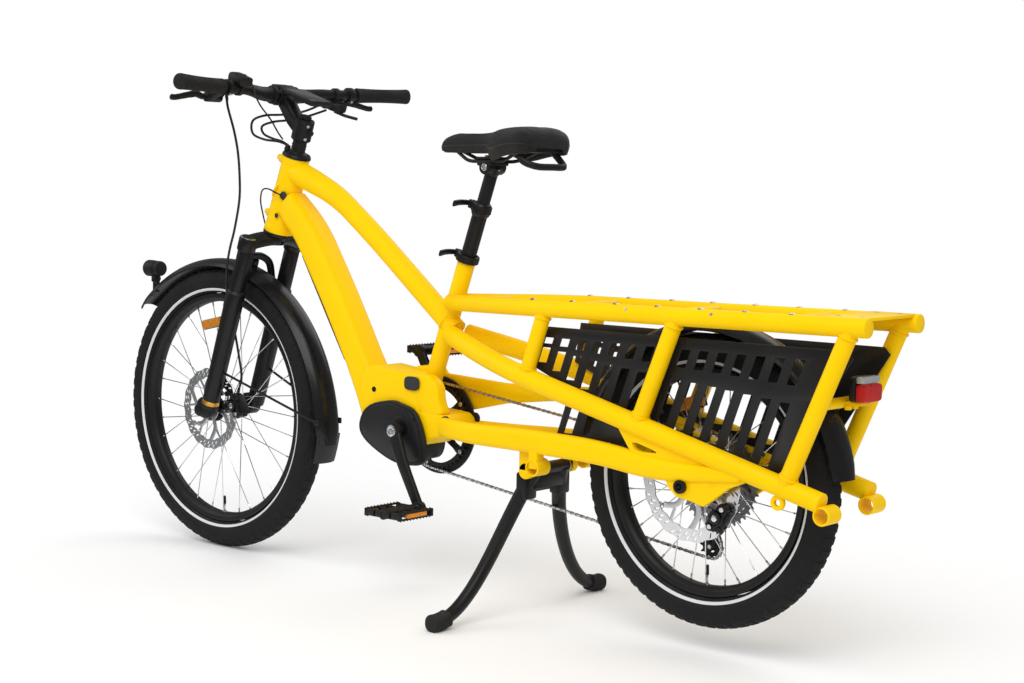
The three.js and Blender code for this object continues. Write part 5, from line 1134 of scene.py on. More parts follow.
@dataclass
class Wheel:
    """One wheel with its tyre, rim, spokes, hub and brake disc."""

    prefix: str
    body: str
    centre: Vector
    bead: float
    hub_half: float
    shell: float
    flange: float
    flange_left: float
    flange_right: float
    rotor_radius: float
    rotor_y: float
    reflector: tuple[float, float]
    valve_degrees: float = 180.0
    height: float = 57.0
    half_width: float = 28.6
    rim_depth: float = 18.0
    rim_half: float = 16.5
    spoke_count: int = 32
    spoke_radius: float = 1.0
    block_pitch: float = 5.0

    def build(self) -> None:
        """Makes every piece of the wheel."""
        self._tyre()
        self._rim()
        self._spokes()
        self._hub()
        self._rotor()
        self._valve()
        self._reflector()

    def _tyre(self) -> None:
        """The casing with its rows of tread blocks, and the pale band on its walls."""
        rise = self.height * 0.45
        crown = self.height - rise
        start = -math.asin(rise / crown)
        rows = 44
        tread = 2.0
        blocks = round(360 / self.block_pitch)
        marks = (0.0, 0.05, 0.55, 0.6)
        rings = []
        for row in range(rows + 1):
            angle = start + row / rows * (math.pi - 2 * start)
            degrees = math.degrees(angle)
            radius = self.bead + rise + (crown - tread) * math.sin(angle)
            y = (self.half_width - tread * 0.5) * math.cos(angle)
            ring = []
            for column in range(blocks * 4):
                block, step = divmod(column, 4)
                lift = self._tread(degrees, block, step) * tread
                turn = math.tau * (block + marks[step]) / blocks
                reach = max(radius + lift * math.sin(angle), self.bead + 0.3)
                ring.append(round_spot(self.centre, reach, turn, y + lift * 0.5 * math.cos(angle)))
            rings.append(ring)
        Shape().loft(rings, looped=True).piece(
            f"{self.prefix}_tyre_tread", TYRE_RUBBER, self.body, [f"{self.prefix}_tyre"], angle=24)
        band = Shape()
        for side in SIDES:
            profile = [(self.bead + 6.2, side * 22.2), (self.bead + 6.9, side * 23.1),
                       (self.bead + 10.9, side * 25.2), (self.bead + 11.6, side * 25.0),
                       (self.bead + 9.0, side * 22.0)]
            band.turned(self.centre, profile, 120, looped=True)
        band.piece(f"{self.prefix}_tyre_band", REFLEX, self.body)

    @staticmethod
    def _tread(degrees: float, block: int, step: int) -> float:
        """How high the tread stands at one place: 1 on a block and 0 in a groove.

        Args:
            degrees: The place round the tyre's section, 90 at the crown.
            block: The block's number round the wheel.
            step: The place along the block.

        Returns:
            The height's share.
        """
        outward = abs(degrees - 90)
        on = step in (1, 2)
        if outward < 8:
            return 1.0 if (block % 2 == 0 or on) else 0.2
        if outward < 13:
            return 0.0
        if outward < 36:
            return 1.0 if on else 0.0
        if outward < 41:
            return 0.1
        if outward < 62:
            return 1.0 if (on if block % 2 else step in (0, 1, 2)) else 0.0
        return 0.25 if outward < 72 and on else 0.0

    def _rim(self) -> None:
        """The box-section rim."""
        half, bead, inner = self.rim_half, self.bead, self.bead - self.rim_depth
        profile = [
            (bead, half - 2), (bead, 2 - half), (bead - 1, -half), (bead - 9, -half),
            (bead - 11, 1 - half), (inner + 1.5, -10), (inner, -7.5), (inner, 7.5),
            (inner + 1.5, 10), (bead - 11, half - 1), (bead - 9, half), (bead - 1, half),
        ]
        Shape().turned(self.centre, profile, 120, looped=True).piece(
            f"{self.prefix}_rim_hoop", SATIN, self.body, [f"{self.prefix}_rim"], angle=50)

    def _spokes(self) -> None:
        """The crossed spokes and their nipples."""
        wires, nipples = Shape(), Shape()
        rim_reach = self.bead - self.rim_depth - 0.3
        for index in range(self.spoke_count):
            left, trailing = index % 2 == 0, index % 4 < 2
            side = 1 if left else -1
            flange = self.flange_left if left else self.flange_right
            rim_angle = math.tau * index / self.spoke_count
            hub_angle = rim_angle + math.tau * (0.125 if trailing else -0.125)
            head_y = flange + (1.6 if trailing else -1.6)
            foot = self._polar(rim_reach, rim_angle, side * 3)
            head = self._polar(self.flange - 2.5, hub_angle, head_y)
            wires.rod(head, foot, self.spoke_radius, sides=8, bevel=0.1)
            along = (head - foot).normalized()
            nipples.rod(foot, foot + along * 11, 2.0, 1.7, sides=8, bevel=0.3)
        wires.piece(f"{self.prefix}_spoke_wires", BRIGHT, self.body, [f"{self.prefix}_spokes"])
        nipples.piece(f"{self.prefix}_nipples", BRIGHT, self.body)

    def _polar(self, reach: float, angle: float, y: float) -> Vector:
        """A place on this wheel, its angle measured from straight up."""
        return at(self.centre.x + reach * math.sin(angle), y, self.centre.z + reach * math.cos(angle))

    def _hub(self) -> None:
        """The black hub shell with its flanges and end caps."""
        shell = self.shell
        profile = [(9, -self.hub_half), (shell - 4, -self.hub_half), (shell - 3, 1 - self.hub_half)]
        for flange in (self.flange_right, self.flange_left):
            profile += [
                (shell, flange - 7), (shell + 2, flange - 3.4), (self.flange - 1, flange - 2.7),
                (self.flange, flange - 1.6), (self.flange, flange + 1.6),
                (self.flange - 1, flange + 2.7), (shell + 2, flange + 3.4), (shell, flange + 7),
            ]
        profile += [(shell - 3, self.hub_half - 1), (shell - 4, self.hub_half), (9, self.hub_half)]
        ordered = sorted(profile[1:-1], key=lambda pair: pair[1])
        hub = Shape().turned(self.centre, [profile[0], *ordered, profile[-1]], 64)
        hub.piece(f"{self.prefix}_hub", SATIN, self.body, angle=40)

    def _rotor(self) -> None:
        """The slotted braking band and the black spider inside it."""
        inner, outer = self.rotor_radius * 0.78, self.rotor_radius
        shares = (0, 0.16, 0.34, 0.5, 0.66, 0.84, 1)
        columns, rows = 144, len(shares) - 1
        sweep, ripple_depth, ripples = 0.16, 1.3, 18
        points = []
        for y in (self.rotor_y - 1, self.rotor_y + 1):
            for row, share in enumerate(shares):
                radius = inner + (outer - inner) * share
                wave = ripple_depth if row in (0, rows) else 0
                for column in range(columns):
                    turn = math.tau * column / columns + sweep * share
                    ripple = radius + wave * math.cos(turn * ripples) - wave
                    points.append(round_spot(self.centre, ripple, turn, y))
        kept = {(row, column) for row in range(rows) for column in range(columns)
                if not self._slotted(row, column)}
        faces = []
        lift = (rows + 1) * columns
        for row, column in sorted(kept):
            after = (column + 1) % columns
            corners = [spot[0] * columns + spot[1] for spot in (
                (row, column), (row, after), (row + 1, after), (row + 1, column))]
            faces += [corners[::-1], [corner + lift for corner in corners]]
            beside = ((row - 1, column), (row, after), (row + 1, column), (row, (column - 1) % columns))
            for start, neighbour in enumerate(beside):
                if neighbour not in kept:
                    one, other = corners[start], corners[(start + 1) % 4]
                    faces.append([one, other, other + lift, one + lift])
        Shape().add(points, faces).piece(f"{self.prefix}_rotor_band", BRIGHT, self.body)
        spider = Shape()
        count, root = 6, 22
        for arm in range(count):
            base = math.tau * arm / count
            path = [self._rotor_spot(root, base), self._rotor_spot((inner + root) / 2, base + 0.16),
                    self._rotor_spot(inner + 1, base + 0.5)]
            spider.sweep(smooth(path, 5), [(5.5, 1.0), (4.5, 1.0), (5.5, 1.0)], 12, 0.6, FORWARD)
            spider.sweep([self._rotor_spot(inner * 0.7, base + 0.1),
                          self._rotor_spot(inner + 1, base + 0.02)], [(3.0, 1.0)], 12, 0.6, FORWARD)
        spider.turned(self.centre, [(12, self.rotor_y - 1), (27, self.rotor_y - 1),
                                    (27, self.rotor_y + 1), (12, self.rotor_y + 1)], 48, looped=True)
        spider.piece(f"{self.prefix}_rotor_spider", STEEL, self.body)
        lock = Shape().turned(self.centre, [
            (10, self.rotor_y + 1), (19, self.rotor_y + 1), (19, self.rotor_y + 3),
            (17, self.rotor_y + 4), (10, self.rotor_y + 4)], 36, looped=True)
        for hole in range(count):
            angle = math.tau * hole / count
            lock.bolt(self._polar(root, angle, self.rotor_y + 1), LATERAL, 3.2, 2.0)
        lock.piece(f"{self.prefix}_rotor_lock", SATIN, self.body)

    @staticmethod
    def _slotted(row: int, column: int) -> bool:
        """Whether one field of the disc's band is cut out."""
        offset = {1: 0, 2: 0, 3: 2, 4: 2}.get(row)
        return column % 4 == offset and (column // 4) % 5 != 4

    def _rotor_spot(self, reach: float, turn: float) -> Vector:
        """A place in the disc's middle plane."""
        return round_spot(self.centre, reach, turn, self.rotor_y)

    def _valve(self) -> None:
        """The valve with its black cap, standing in from the rim."""
        inner = self.bead - self.rim_depth
        angle = math.radians(self.valve_degrees)
        foot, nut = self._polar(inner + 1, angle, 0), self._polar(inner - 3, angle, 0)
        mid, tip = self._polar(inner - 18, angle, 0), self._polar(inner - 36, angle, 0)
        Shape().rod(foot, nut, 5, sides=6, bevel=0.5).rod(nut, mid, 2.6, sides=16, bevel=0.4).piece(
            f"{self.prefix}_valve_stem", BRIGHT, self.body)
        Shape().rod(mid, tip, 3.8, 3.0, sides=16, bevel=0.8).piece(
            f"{self.prefix}_valve_cap", PLASTIC, self.body)

    def _reflector(self) -> None:
        """The amber reflector clipped between two spokes."""
        reach, degrees = self.reflector
        angle = math.radians(degrees)
        centre = self._polar(reach, angle, 6)
        outward = (self._polar(reach + 1, angle, 6) - centre).normalized()
        along = LATERAL.cross(outward)
        Shape().block(centre, (30, 3, 10), 2, along, outward).piece(
            f"{self.prefix}_wheel_reflector", AMBER, self.body)
        Shape().block(centre - LATERAL * 4, (31, 1.5, 11), 1, along, outward).piece(
            f"{self.prefix}_reflector_back", PLASTIC, self.body)


@dataclass
class MainFrame:
    """Head tube, down tube, top tube, seat tube and the yoke round the drive unit."""

    body: str = "frame"
    top_radius: float = 21.5
    top_head: float = 26.0
    seat_radius: float = 17.5
    seat_root: float = 60.0
    cover_from: float = 0.12
    cover_to: float = 0.86
    cover_depth: float = 12.0
    down: Route = (
        (1085, 0, 765), (1022, 0, 709), (928, 0, 566), (844, 0, 424), (806, 0, 352),
    )
    down_halves: Halves = ((28.5, 31), (34, 31), (34, 31), (34, 31), (37, 36))
    top: Route = (
        (1078, 0, 835), (1033, 0, 819), (943, 0, 783.5), (826.5, 0, 700), (606, 0, 527.5),
    )
    yoke_reach: float = 122.0
    yoke_rise: float = 115.0
    yoke_half: float = 42.0
    yoke: Outline = (
        (0.9, 1.06), (0.13, 0.97), (-0.12, 0.96), (-0.2, 0.6), (-0.3, 0.33), (-0.3, 0.07),
        (-0.16, 0.09), (0.49, 0.26), (0.9, 0), (1.02, 0.35), (1.07, 0.8),
    )
    yoke_beam: Outline = (
        (-0.2, 0.36), (-0.55, 0.34), (-0.9, 0.31), (-1, -0.02), (-0.54, -0.12), (-0.4, -0.24),
        (-0.28, -0.24), (-0.16, 0.09),
    )
    yoke_cheek: Outline = (
        (0.12, 0.94), (-0.45, 1), (-0.69, 0.82), (-0.71, 0.55), (-0.85, 0.28), (0.02, 0.28),
    )

    def build(self) -> None:
        """Makes the frame, its battery cover and its small fittings."""
        shell = Shape()
        self._head(shell)
        path, halves = bent(places(self.down), self.down_halves, 60)
        shell.sweep(path, halves, 44, 0.5)
        path, halves = bent(places(self.top), ((self.top_head,) * 2, (self.top_head,) * 2,
                                               (self.top_radius,) * 2), 60, 8)
        shell.sweep(path, halves, 36)
        shell.rod(SEAT_FOOT, SEAT_TOP, self.seat_radius, sides=36)
        for shares, low, high in ((self.yoke, -self.yoke_half, self.yoke_half),
                                  (self.yoke_beam, 0.6 - self.yoke_half, self.yoke_half - 0.6),
                                  (self.yoke_cheek, 14.0, self.yoke_half - 1.0)):
            outline = [(CRANK.x + a * self.yoke_reach, CRANK.z + b * self.yoke_rise) for a, b in shares]
            shell.prism(rounded(outline, 0.2, 1), low, high, 6, 4)
        shell.rod(SEAT_FOOT, SEAT_FOOT - SEAT_UP * self.seat_root, self.seat_radius, sides=36)
        self._welds(shell)
        shell.piece("front_triangle", PAINT, self.body, ["front_frame"])
        self._battery(places(self.down))
        self._fittings()

    def _head(self, shell: Shape) -> None:
        """The tapered head tube with its collars and the two cable bosses.

        Args:
            shell: The frame's shape to add to.
        """
        length = HEAD_LENGTH
        shell.turned(HEAD_FOOT, [
            (24, 0), (32.4, 0), (33, 1), (33, 11), (31.6, 14), (31.2, 20), (28.4, length - 22),
            (28.2, length - 16), (29.0, length - 12), (29.0, length - 1), (28.3, length), (24, length),
        ], 48, STEER_UP)
        for up, reach in ((150, 52), (28, 52)):
            shell.rod(steer(0, 0, up), steer(reach - 8, 0, up), 11, 9.5, 24, 2)
            shell.rod(steer(0, 0, up), steer(reach, 0, up), 6, 6, 24, 1)

    def _welds(self, shell: Shape) -> None:
        """The weld beads where tubes meet.

        Args:
            shell: The frame's shape to add to.
        """
        seat_weld = SEAT_TOP - SEAT_UP * 132
        shell.torus(seat_weld, SEAT_UP, self.seat_radius + 1, 3.4)
        top = places(self.top)
        along = (top[4] - top[3]).normalized()
        shell.torus(top[4] - along * 26, along, self.top_radius, 3.2)
        shell.torus(steer(8, 0, 92), (places(self.down)[1] - places(self.down)[0]).normalized(), 31, 3)

    def _battery(self, down: list[Vector]) -> None:
        """The battery cover let into the down tube's underside, with its seam.

        Args:
            down: The down tube's route.
        """
        direction = (down[3] - down[1]).normalized()
        normal = at(-direction.z, 0, direction.x)
        start = down[1].lerp(down[3], self.cover_from) + normal * self.cover_depth
        end = down[1].lerp(down[3], self.cover_to) + normal * self.cover_depth
        cover = Shape().sweep([start, end], [(25.7, 21.7)], 44, 0.3, bevel=2.5)
        cover.piece("battery_cover", PLASTIC, self.body, ["battery"])
        seam = Shape()
        for share in (0.03, 0.97):
            middle = start.lerp(end, share) + normal * 20.6
            seam.block(middle, (1.0, 20, 1.0), 0.4, direction, normal)
        seam.bolt(start.lerp(end, 0.2) + normal * 21, normal, 4.5, 0.6)
        seam.piece("battery_seams", PORT, self.body)

    def _fittings(self) -> None:
        """Grommets, bolts and the charging cover on the frame."""
        grommet = Shape().turned(at(1081, 26, 782), [(9, 0), (9, 2), (7, 5), (3, 6)], 24)
        grommet.turned(at(1098, 30.5, 740), [(5, 0), (5, 1.2), (3, 1.6)], 20)
        grommet.piece("frame_grommets", PORT, self.body)
        bolts = Shape()
        for side in SIDES:
            bolts.bolt(at(592, side * 46, 351), LATERAL * side, 5, 1.4)
            bolts.turned(at(592, side * 41, 351), [(11.5, 0), (11.5, side * 4.4), (9.8, side * 5.2),
                                                   (8.6, side * 4.6), (4, side * 4.6)], 32)
            bolts.turned(at(790, side * 41.4, 398), [(5.5, 0), (5.5, side * 1.6), (3, side * 1.6)], 24)
        bolts.piece("yoke_bolts", SATIN, self.body)
        port = Shape()
        oval_port = oval(at(683, 0, 418.8), FORWARD, VERTICAL, 20, 13.8, 40, 0.62)
        port.prism([(p.x, p.z) for p in oval_port], 42.3, 46.3, 1.3, 3)
        port.piece("charge_flap", PORT, "port_flap", ["charge_port_cover"])


@dataclass
class Rack:
    """The deck rails, the cross bars, the tail plate and the two side frames."""

    body: str = "frame"
    rail_radius: float = 16.0
    rail_y: float = 84.5
    tail_x: float = -351.6
    bend_x: float = 384.0
    front_height: float = 590.0
    tail_height: float = 597.0
    cross_radius: float = 9.0
    strut_y: float = 83.0
    slope: float = 0.2443
    struts: Sequence[tuple[float, float, float]] = ((-320, -204, 15), (20, 99, 15), (312, 357, 14))
    strut_foot_z: float = 324.0
    cross_bars: Sequence[float] = (500, 270, 40, -190)
    rail_bolts: Sequence[float] = (340, 248, 150, 60, -30, -120, -210)
    plate_front: float = -262.0
    lamp_bar_z: float = 466.0
    tip: Vector = field(default_factory=lambda: at(-280, 0, 288))
    stand_tube: Vector = field(default_factory=lambda: at(330, 0, 296))

    def rail_height(self, x: float) -> float:
        """The rail's middle height at one place."""
        share = (self.bend_x - x) / (self.bend_x - self.tail_x)
        return self.front_height + (self.tail_height - self.front_height) * share

    def diagonal_height(self, x: float) -> float:
        """The diagonal tube's middle height at one place."""
        return 520.2 - self.slope * (600 - x)

    def lamp_bar_x(self) -> float:
        """Where the bar across the tail meets the rearmost struts, from the rear axle."""
        top_x, foot_x, _ = self.struts[0]
        share = (self.tail_height - self.lamp_bar_z) / (self.tail_height - self.strut_foot_z)
        return top_x + (foot_x - top_x) * share

    def build(self) -> None:
        """Makes the rack and its hardware."""
        self._deck()
        for side, label in zip(SIDES, ("left", "right")):
            self._side(side, label)
        self._hardware()

    def _deck(self) -> None:
        """Rails, cross bars and the tail plate."""
        deck = Shape()
        for side in SIDES:
            path, halves = bent(places([(606, 20, 583), (self.bend_x, self.rail_y, self.front_height),
                                        (self.tail_x, self.rail_y, self.tail_height)], side),
                                [(self.rail_radius,) * 2], 90, 8)
            deck.sweep(path, halves, 36, bevel=2.0)
        for x in self.cross_bars:
            reach = self.rail_y / 2 if x > self.bend_x else self.rail_y
            deck.pin(x, self.rail_height(x) + 3, -reach, reach, self.cross_radius)
        plate_rear = self.tail_x + 7
        deck.block(at((self.plate_front + plate_rear) / 2, 0, self.tail_height + 13),
                   ((self.plate_front - plate_rear) / 2, self.rail_y, 3), 1.5)
        deck.piece("deck_frame", PAINT, self.body, ["rack_frame"])

    def _side(self, side: int, label: str) -> None:
        """One side frame: the diagonal, the struts, the lower stay, the dropout and its sockets.

        Args:
            side: 1 on the left, -1 on the right.
            label: Left or right, as the names say it.
        """
        tubes = Shape()
        spots = [(600, 24), (480, 63), (385, 82), (-274, 80)]
        path = [at(x, side * out, self.diagonal_height(x)) for x, out in spots]
        path, halves = bent(path, [(19, 19), (19, 19), (19, 19), (17.5, 17.5)], 60)
        tubes.sweep(path, halves, 36, bevel=1.5)
        for top_x, foot_x, radius in self.struts:
            top = at(top_x, side * self.strut_y, self.rail_height(top_x))
            foot = at(foot_x, side * self.strut_y, self.diagonal_height(foot_x))
            tubes.rod(foot, top, radius, sides=32)
            along = (top - foot).normalized()
            tubes.torus(foot + along * 20, along, radius, 2.4)
            tubes.torus(top - along * 17, along, radius, 2.4)
        self._lower_stay(tubes, side)
        self._dropout(tubes, side)
        for where, inner in ((self.tip, 53), (self.stand_tube, 56)):
            low, high = at(where.x, side * inner, where.z), at(where.x, side * 93, where.z)
            tubes.pipe(low, high, 16, 13, 36, 1.2)
        tubes.block(at(self.stand_tube.x, side * 80, self.stand_tube.z + 20), (10, 11, 22), 2)
        ear, ear_half = side * 63.8, 6.5
        tubes.pin(365, 284, ear - ear_half, ear + ear_half, 15)
        tubes.block(at(365, ear, 312), (15, ear_half, 28), 2)
        eye = at(-191, side * 80, 298)
        tubes.pipe(eye - LATERAL * 4, eye + LATERAL * 4, 13, 6, 28, 1)
        self._web(tubes, side)
        replaced = [f"side_frame_{label}"]
        if side > 0:
            self._lamp_bar(tubes)
            steel = Shape().pin(0, 302.2, -86, 86, 6).pin(0, 302.2, 85.7, 95, 12, 28, 2)
            steel.bolt(at(0, 93, 302.2), LATERAL, 7, 2)
            steel.piece("rear_axle", SATIN, self.body)
        else:
            self._upper_stay(tubes)
        tubes.piece(f"side_tubes_{label}", PAINT, self.body, replaced)

    def _lower_stay(self, tubes: Shape, side: int) -> None:
        """The flattened stay from the yoke to the dropout.

        Args:
            tubes: The side frame's shape to add to.
            side: 1 on the left, -1 on the right.
        """
        drop = 0 if side > 0 else 10
        spots = [(594, 47, 341, 19), (500, 70, 340, 19), (380, 80, 344, 22), (182, 80, 341, 22),
                 (50, 80, 323, 20), (-120, 80, 334, 12)]
        path = [at(x, side * y, z - drop) for x, y, z, _ in spots]
        halves = [(13, half if side > 0 else min(half, 15)) for *_, half in spots]
        path, halves = bent(path, halves, 70)
        tubes.sweep(path, halves, 36, 0.7, bevel=1.5)

    def _web(self, tubes: Shape, side: int) -> None:
        """The plate between the diagonal and the lower stay, with its three-cornered window.

        Args:
            tubes: The side frame's shape to add to.
            side: 1 on the left, -1 on the right.
        """
        edge = [(150, self.diagonal_height(150) - 6), (112, 352), (96, 330), (-60, 338),
                (-60, self.diagonal_height(-60))]
        window = [(111, 371), (102, 352), (42, 353)]
        low, high = sorted((side * 75, side * 85))
        frame_line, window_line = [], []
        steps = 6
        for index, corner in enumerate(edge):
            after = edge[(index + 1) % len(edge)]
            for step in range(steps):
                frame_line.append(at(corner[0] + (after[0] - corner[0]) * step / steps, 0,
                                     corner[1] + (after[1] - corner[1]) * step / steps))
        soft = rounded(window, 0.2, 2)
        middle = at(sum(x for x, _ in window) / 3, 0, sum(z for _, z in window) / 3)
        for point in frame_line:
            turn = (point - middle).normalized()
            best = max(soft, key=lambda spot: (at(spot[0], 0, spot[1]) - middle).normalized().dot(turn))
            window_line.append(at(best[0], 0, best[1]))
        rings = [[point + LATERAL * y for point in line] for line, y in (
            (frame_line, low), (frame_line, high), (window_line, high), (window_line, low))]
        tubes.loft(rings, looped=True)

    def _dropout(self, tubes: Shape, side: int) -> None:
        """The plate that holds the axle, with its lightening hole's rim.

        Args:
            tubes: The side frame's shape to add to.
            side: 1 on the left, -1 on the right.
        """
        shares = [(0.66, 1.3), (0.66, 0.3), (0.3, 0.4), (0.23, -0.17), (0.08, -0.67), (-0.18, -0.8),
                  (-0.36, -1), (-0.5, -0.6), (-0.77, 0.27), (-1, 0.67), (-1, 1.4)]
        outline = [(a * 125, 302.2 + b * 30) for a, b in shares]
        low, high = (74.3, 86) if side > 0 else (-86, -74.3)
        tubes.prism(outline, low, high, 2.2, 3)
        tubes.torus(at(-62, side * 86, 318), LATERAL, 8, 1.6, 28, 8)

    def _lamp_bar(self, tubes: Shape) -> None:
        """The bar across the tail and the tail lamp's bracket with its two bolts.

        Args:
            tubes: The side frame's shape to add to.
        """
        bar_x, high = self.lamp_bar_x(), self.lamp_bar_z
        lamp_x = 302
        tubes.pin(bar_x, high, -68, self.strut_y, self.cross_radius)
        tubes.block(at((bar_x - lamp_x) / 2, 0, high), ((bar_x + lamp_x) / 2, 15.5, 3), 1)
        for side in SIDES:
            tubes.pipe(at(bar_x - 12, side * 11, high - 11), at(bar_x - 12, side * 11, high - 3), 6, 3,
                       20, 0.5)

    def _upper_stay(self, tubes: Shape) -> None:
        """The high stay outside the chain, with its bridge to the yoke.

        Args:
            tubes: The side frame's shape to add to.
        """
        outline = [(733, 446), (702, 446), (690, 431), (529, 424), (290, 436), (290, 412),
                   (426, 398), (530, 384), (628, 361), (668, 414), (733, 414)]
        tubes.prism(outline, -74, -64, 3, 3)
        tubes.block(at(717.5, -44.5, 438), (15.5, 23.5, 8), 2)

    def _hardware(self) -> None:
        """Rail bolts, plate bolts and the screws beside the rails."""
        bolts = Shape()
        for side in SIDES:
            for x in self.rail_bolts:
                spot = at(x, side * self.rail_y, self.rail_height(x) + self.rail_radius - 0.8)
                bolts.turned(spot, [(6, 0), (6, 1.0), (4, 2.0)], 20, VERTICAL)
                bolts.turned(spot + VERTICAL, [(3, 0), (3, 1.4), (2, 1.6)], 6, VERTICAL)
            for x in (-282, -326):
                bolts.bolt(at(x, side * 62, self.tail_height + 16), VERTICAL, 5, 0.1)
            for x in (120, -60):
                spot = at(x, side * (self.rail_y + 13.2), self.rail_height(x) + 8)
                bolts.bolt(spot, at(0, side * 0.85, 0.5).normalized(), 3.2, 1.2)
        bolts.piece("rack_bolts", BRIGHT, self.body)


@dataclass
class Bodywork:
    """Side panels, mudguards and lamps."""

    rack: Rack = field(default_factory=Rack)
    rear_radius: float = 284.0
    front_radius: float = 330.0
    thickness: float = 2.6
    rise: float = 16.0
    headlamp_z: float = 608.0
    flap_from: float = 184.5
    flap_rows: int = 13
    steps: int = 64

    def build(self) -> None:
        """Makes each panel, mudguard and lamp."""
        for label, side in (("left", 1), ("right", -1)):
            softened(f"side_panel_{label}", PANEL, width=0.7)
            self._panel_bolts(label, side)
        self._rear_guard()
        self._front_guard()
        self._tail_lamp()
        self._headlamp()

    def _panel_bolts(self, label: str, side: int) -> None:
        """The panel's black screws and the bright one at its rear corner.

        Args:
            label: Left or right, as the names say it.
            side: 1 on the left, -1 on the right.
        """
        screws = Shape()
        for x, z in ((325, 543), (20, 546), (-148, 372), (62, 424)):
            screws.bolt(at(x, side * 62.1, z), LATERAL * side, 4.2, 1.6)
        screws.piece(f"panel_screws_{label}", PLASTIC, "frame")
        corner = Shape().bolt(at(-297, side * 62.1, 541), LATERAL * side, 4.6, 1.8)
        corner.piece(f"panel_corner_screw_{label}", BRIGHT, "frame")

    def _shell(self, centre: Vector, radius: float, half: float, start: float, end: float,
               flare: float) -> Shape:
        """A channel bent round a wheel, arched in section with rolled edges.

        Args:
            centre: The wheel's middle.
            radius: The radius of the channel's crown.
            half: Half its width.
            start: Where it starts, in degrees.
            end: Where it ends.
            flare: How far its ends stand off.

        Returns:
            The shape.
        """
        arch = []
        for step in range(17):
            share = -1 + step / 8
            arch.append((share * half, -self.rise * abs(share) ** 2.6))
        under = [(y * (1 - self.thickness / half), drop - self.thickness) for y, drop in reversed(arch)]
        edge = [(half * 0.985, -self.rise - self.thickness * 0.5)]
        section = [*arch, *edge, *under, (-edge[0][0], edge[0][1])]
        rings = []
        for step in range(self.steps + 1):
            share = step / self.steps
            angle = math.radians(start + share * (end - start))
            reach = radius + flare * abs(2 * share - 1) ** 3
            taper = min(1.0, 0.82 + 0.18 * min(share, 1 - share) * 30)
            rings.append([round_spot(centre, reach + drop, angle, y * taper) for y, drop in section])
        return Shape().loft(rings)

    def _rear_guard(self) -> None:
        """The rear mudguard and its two bosses."""
        guard = self._shell(REAR_AXLE, self.rear_radius, 36, 8, 173, 0)
        bar_x, rise = self.rack.lamp_bar_x(), self.rack.lamp_bar_z - REAR_AXLE.z
        degrees = math.degrees(math.atan2(rise, bar_x))
        reach = math.hypot(rise, bar_x) - 9.3
        guard.rod(around(REAR_AXLE, self.rear_radius - 1.3, degrees), around(REAR_AXLE, reach, degrees), 6)
        low = REAR_AXLE.z + math.sqrt(self.rear_radius ** 2 - 40 ** 2) - 1.3
        guard.rod(at(40, 0, low), at(40, 0, 583.9), 6)
        guard.piece("rear_mudguard", MUDGUARD, "frame", ["rear_fender"])

    def _front_guard(self) -> None:
        """The front mudguard with its bosses, wire stays and clips, and the flap behind the wheel."""
        guard = self._shell(FRONT_AXLE, self.front_radius, 33, 38, 188, 20)
        guard.rod(steer(50, 0, -102), steer(50, 0, -84.3), 8)
        guard.rod(at(1541, 0, 554), at(1541, 0, 578.7), 8)
        guard.piece("front_mudguard", MUDGUARD, "sliders", ["front_fender"])
        stays = Shape()
        for side in SIDES:
            eye = at(1232, side * 66, 399)
            end = around(FRONT_AXLE, self.front_radius, 180, side * 32)
            stays.rod(eye, end, 2.6, sides=14, bevel=0.4)
        stays.piece("guard_stays", SATIN, "sliders")
        clips = Shape()
        for side in SIDES:
            spot = around(FRONT_AXLE, self.front_radius + 1, 180, side * 32)
            clips.block(spot, (6, 2.6, 6), 1)
            clips.bolt(spot + LATERAL * side * 2.4, LATERAL * side, 2.6, 1.6)
        clips.piece("guard_clips", PLASTIC, "sliders")
        flap = Shape()
        rings = []
        for step in range(self.flap_rows):
            degrees = self.flap_from + step * 0.9
            reach = self.front_radius + 11 - step * 0.3
            half = 32 - step * 0.25
            ring = [around(FRONT_AXLE, reach - 5 * abs(a) ** 3 + b, degrees, half * a)
                    for a, b in ((-1, 0), (-0.5, 0), (0, 0), (0.5, 0), (1, 0), (1, -2.5),
                                 (0.5, -2.5), (0, -2.5), (-0.5, -2.5), (-1, -2.5))]
            rings.append(ring)
        flap.loft(rings).piece("mud_flap", HOSE, "sliders")

    def _tail_lamp(self) -> None:
        """The tail lamp: a black back, a red lens with a clear strip above it."""
        seat_x = -299
        back = Shape().sweep([at(-287.5, 0, 491), at(seat_x, 0, 491)], [(30.6, 21.6)], 44, 0.3, bevel=2)
        back.piece("tail_lamp_back", PLASTIC, "frame", ["tail_lamp"])
        red = Shape().sweep([at(seat_x, 0, 485), at(-316.6, 0, 485)], [(29.6, 15)], 44, 0.3, bevel=3)
        red.piece("tail_lamp_lens", RED_LENS, "frame")
        top = Shape().sweep([at(seat_x, 0, 506.5), at(-313, 0, 506.5)], [(28, 6.09)], 44,
                            0.3, bevel=2)
        top.piece("tail_lamp_top", CLEAR_LENS, "frame")

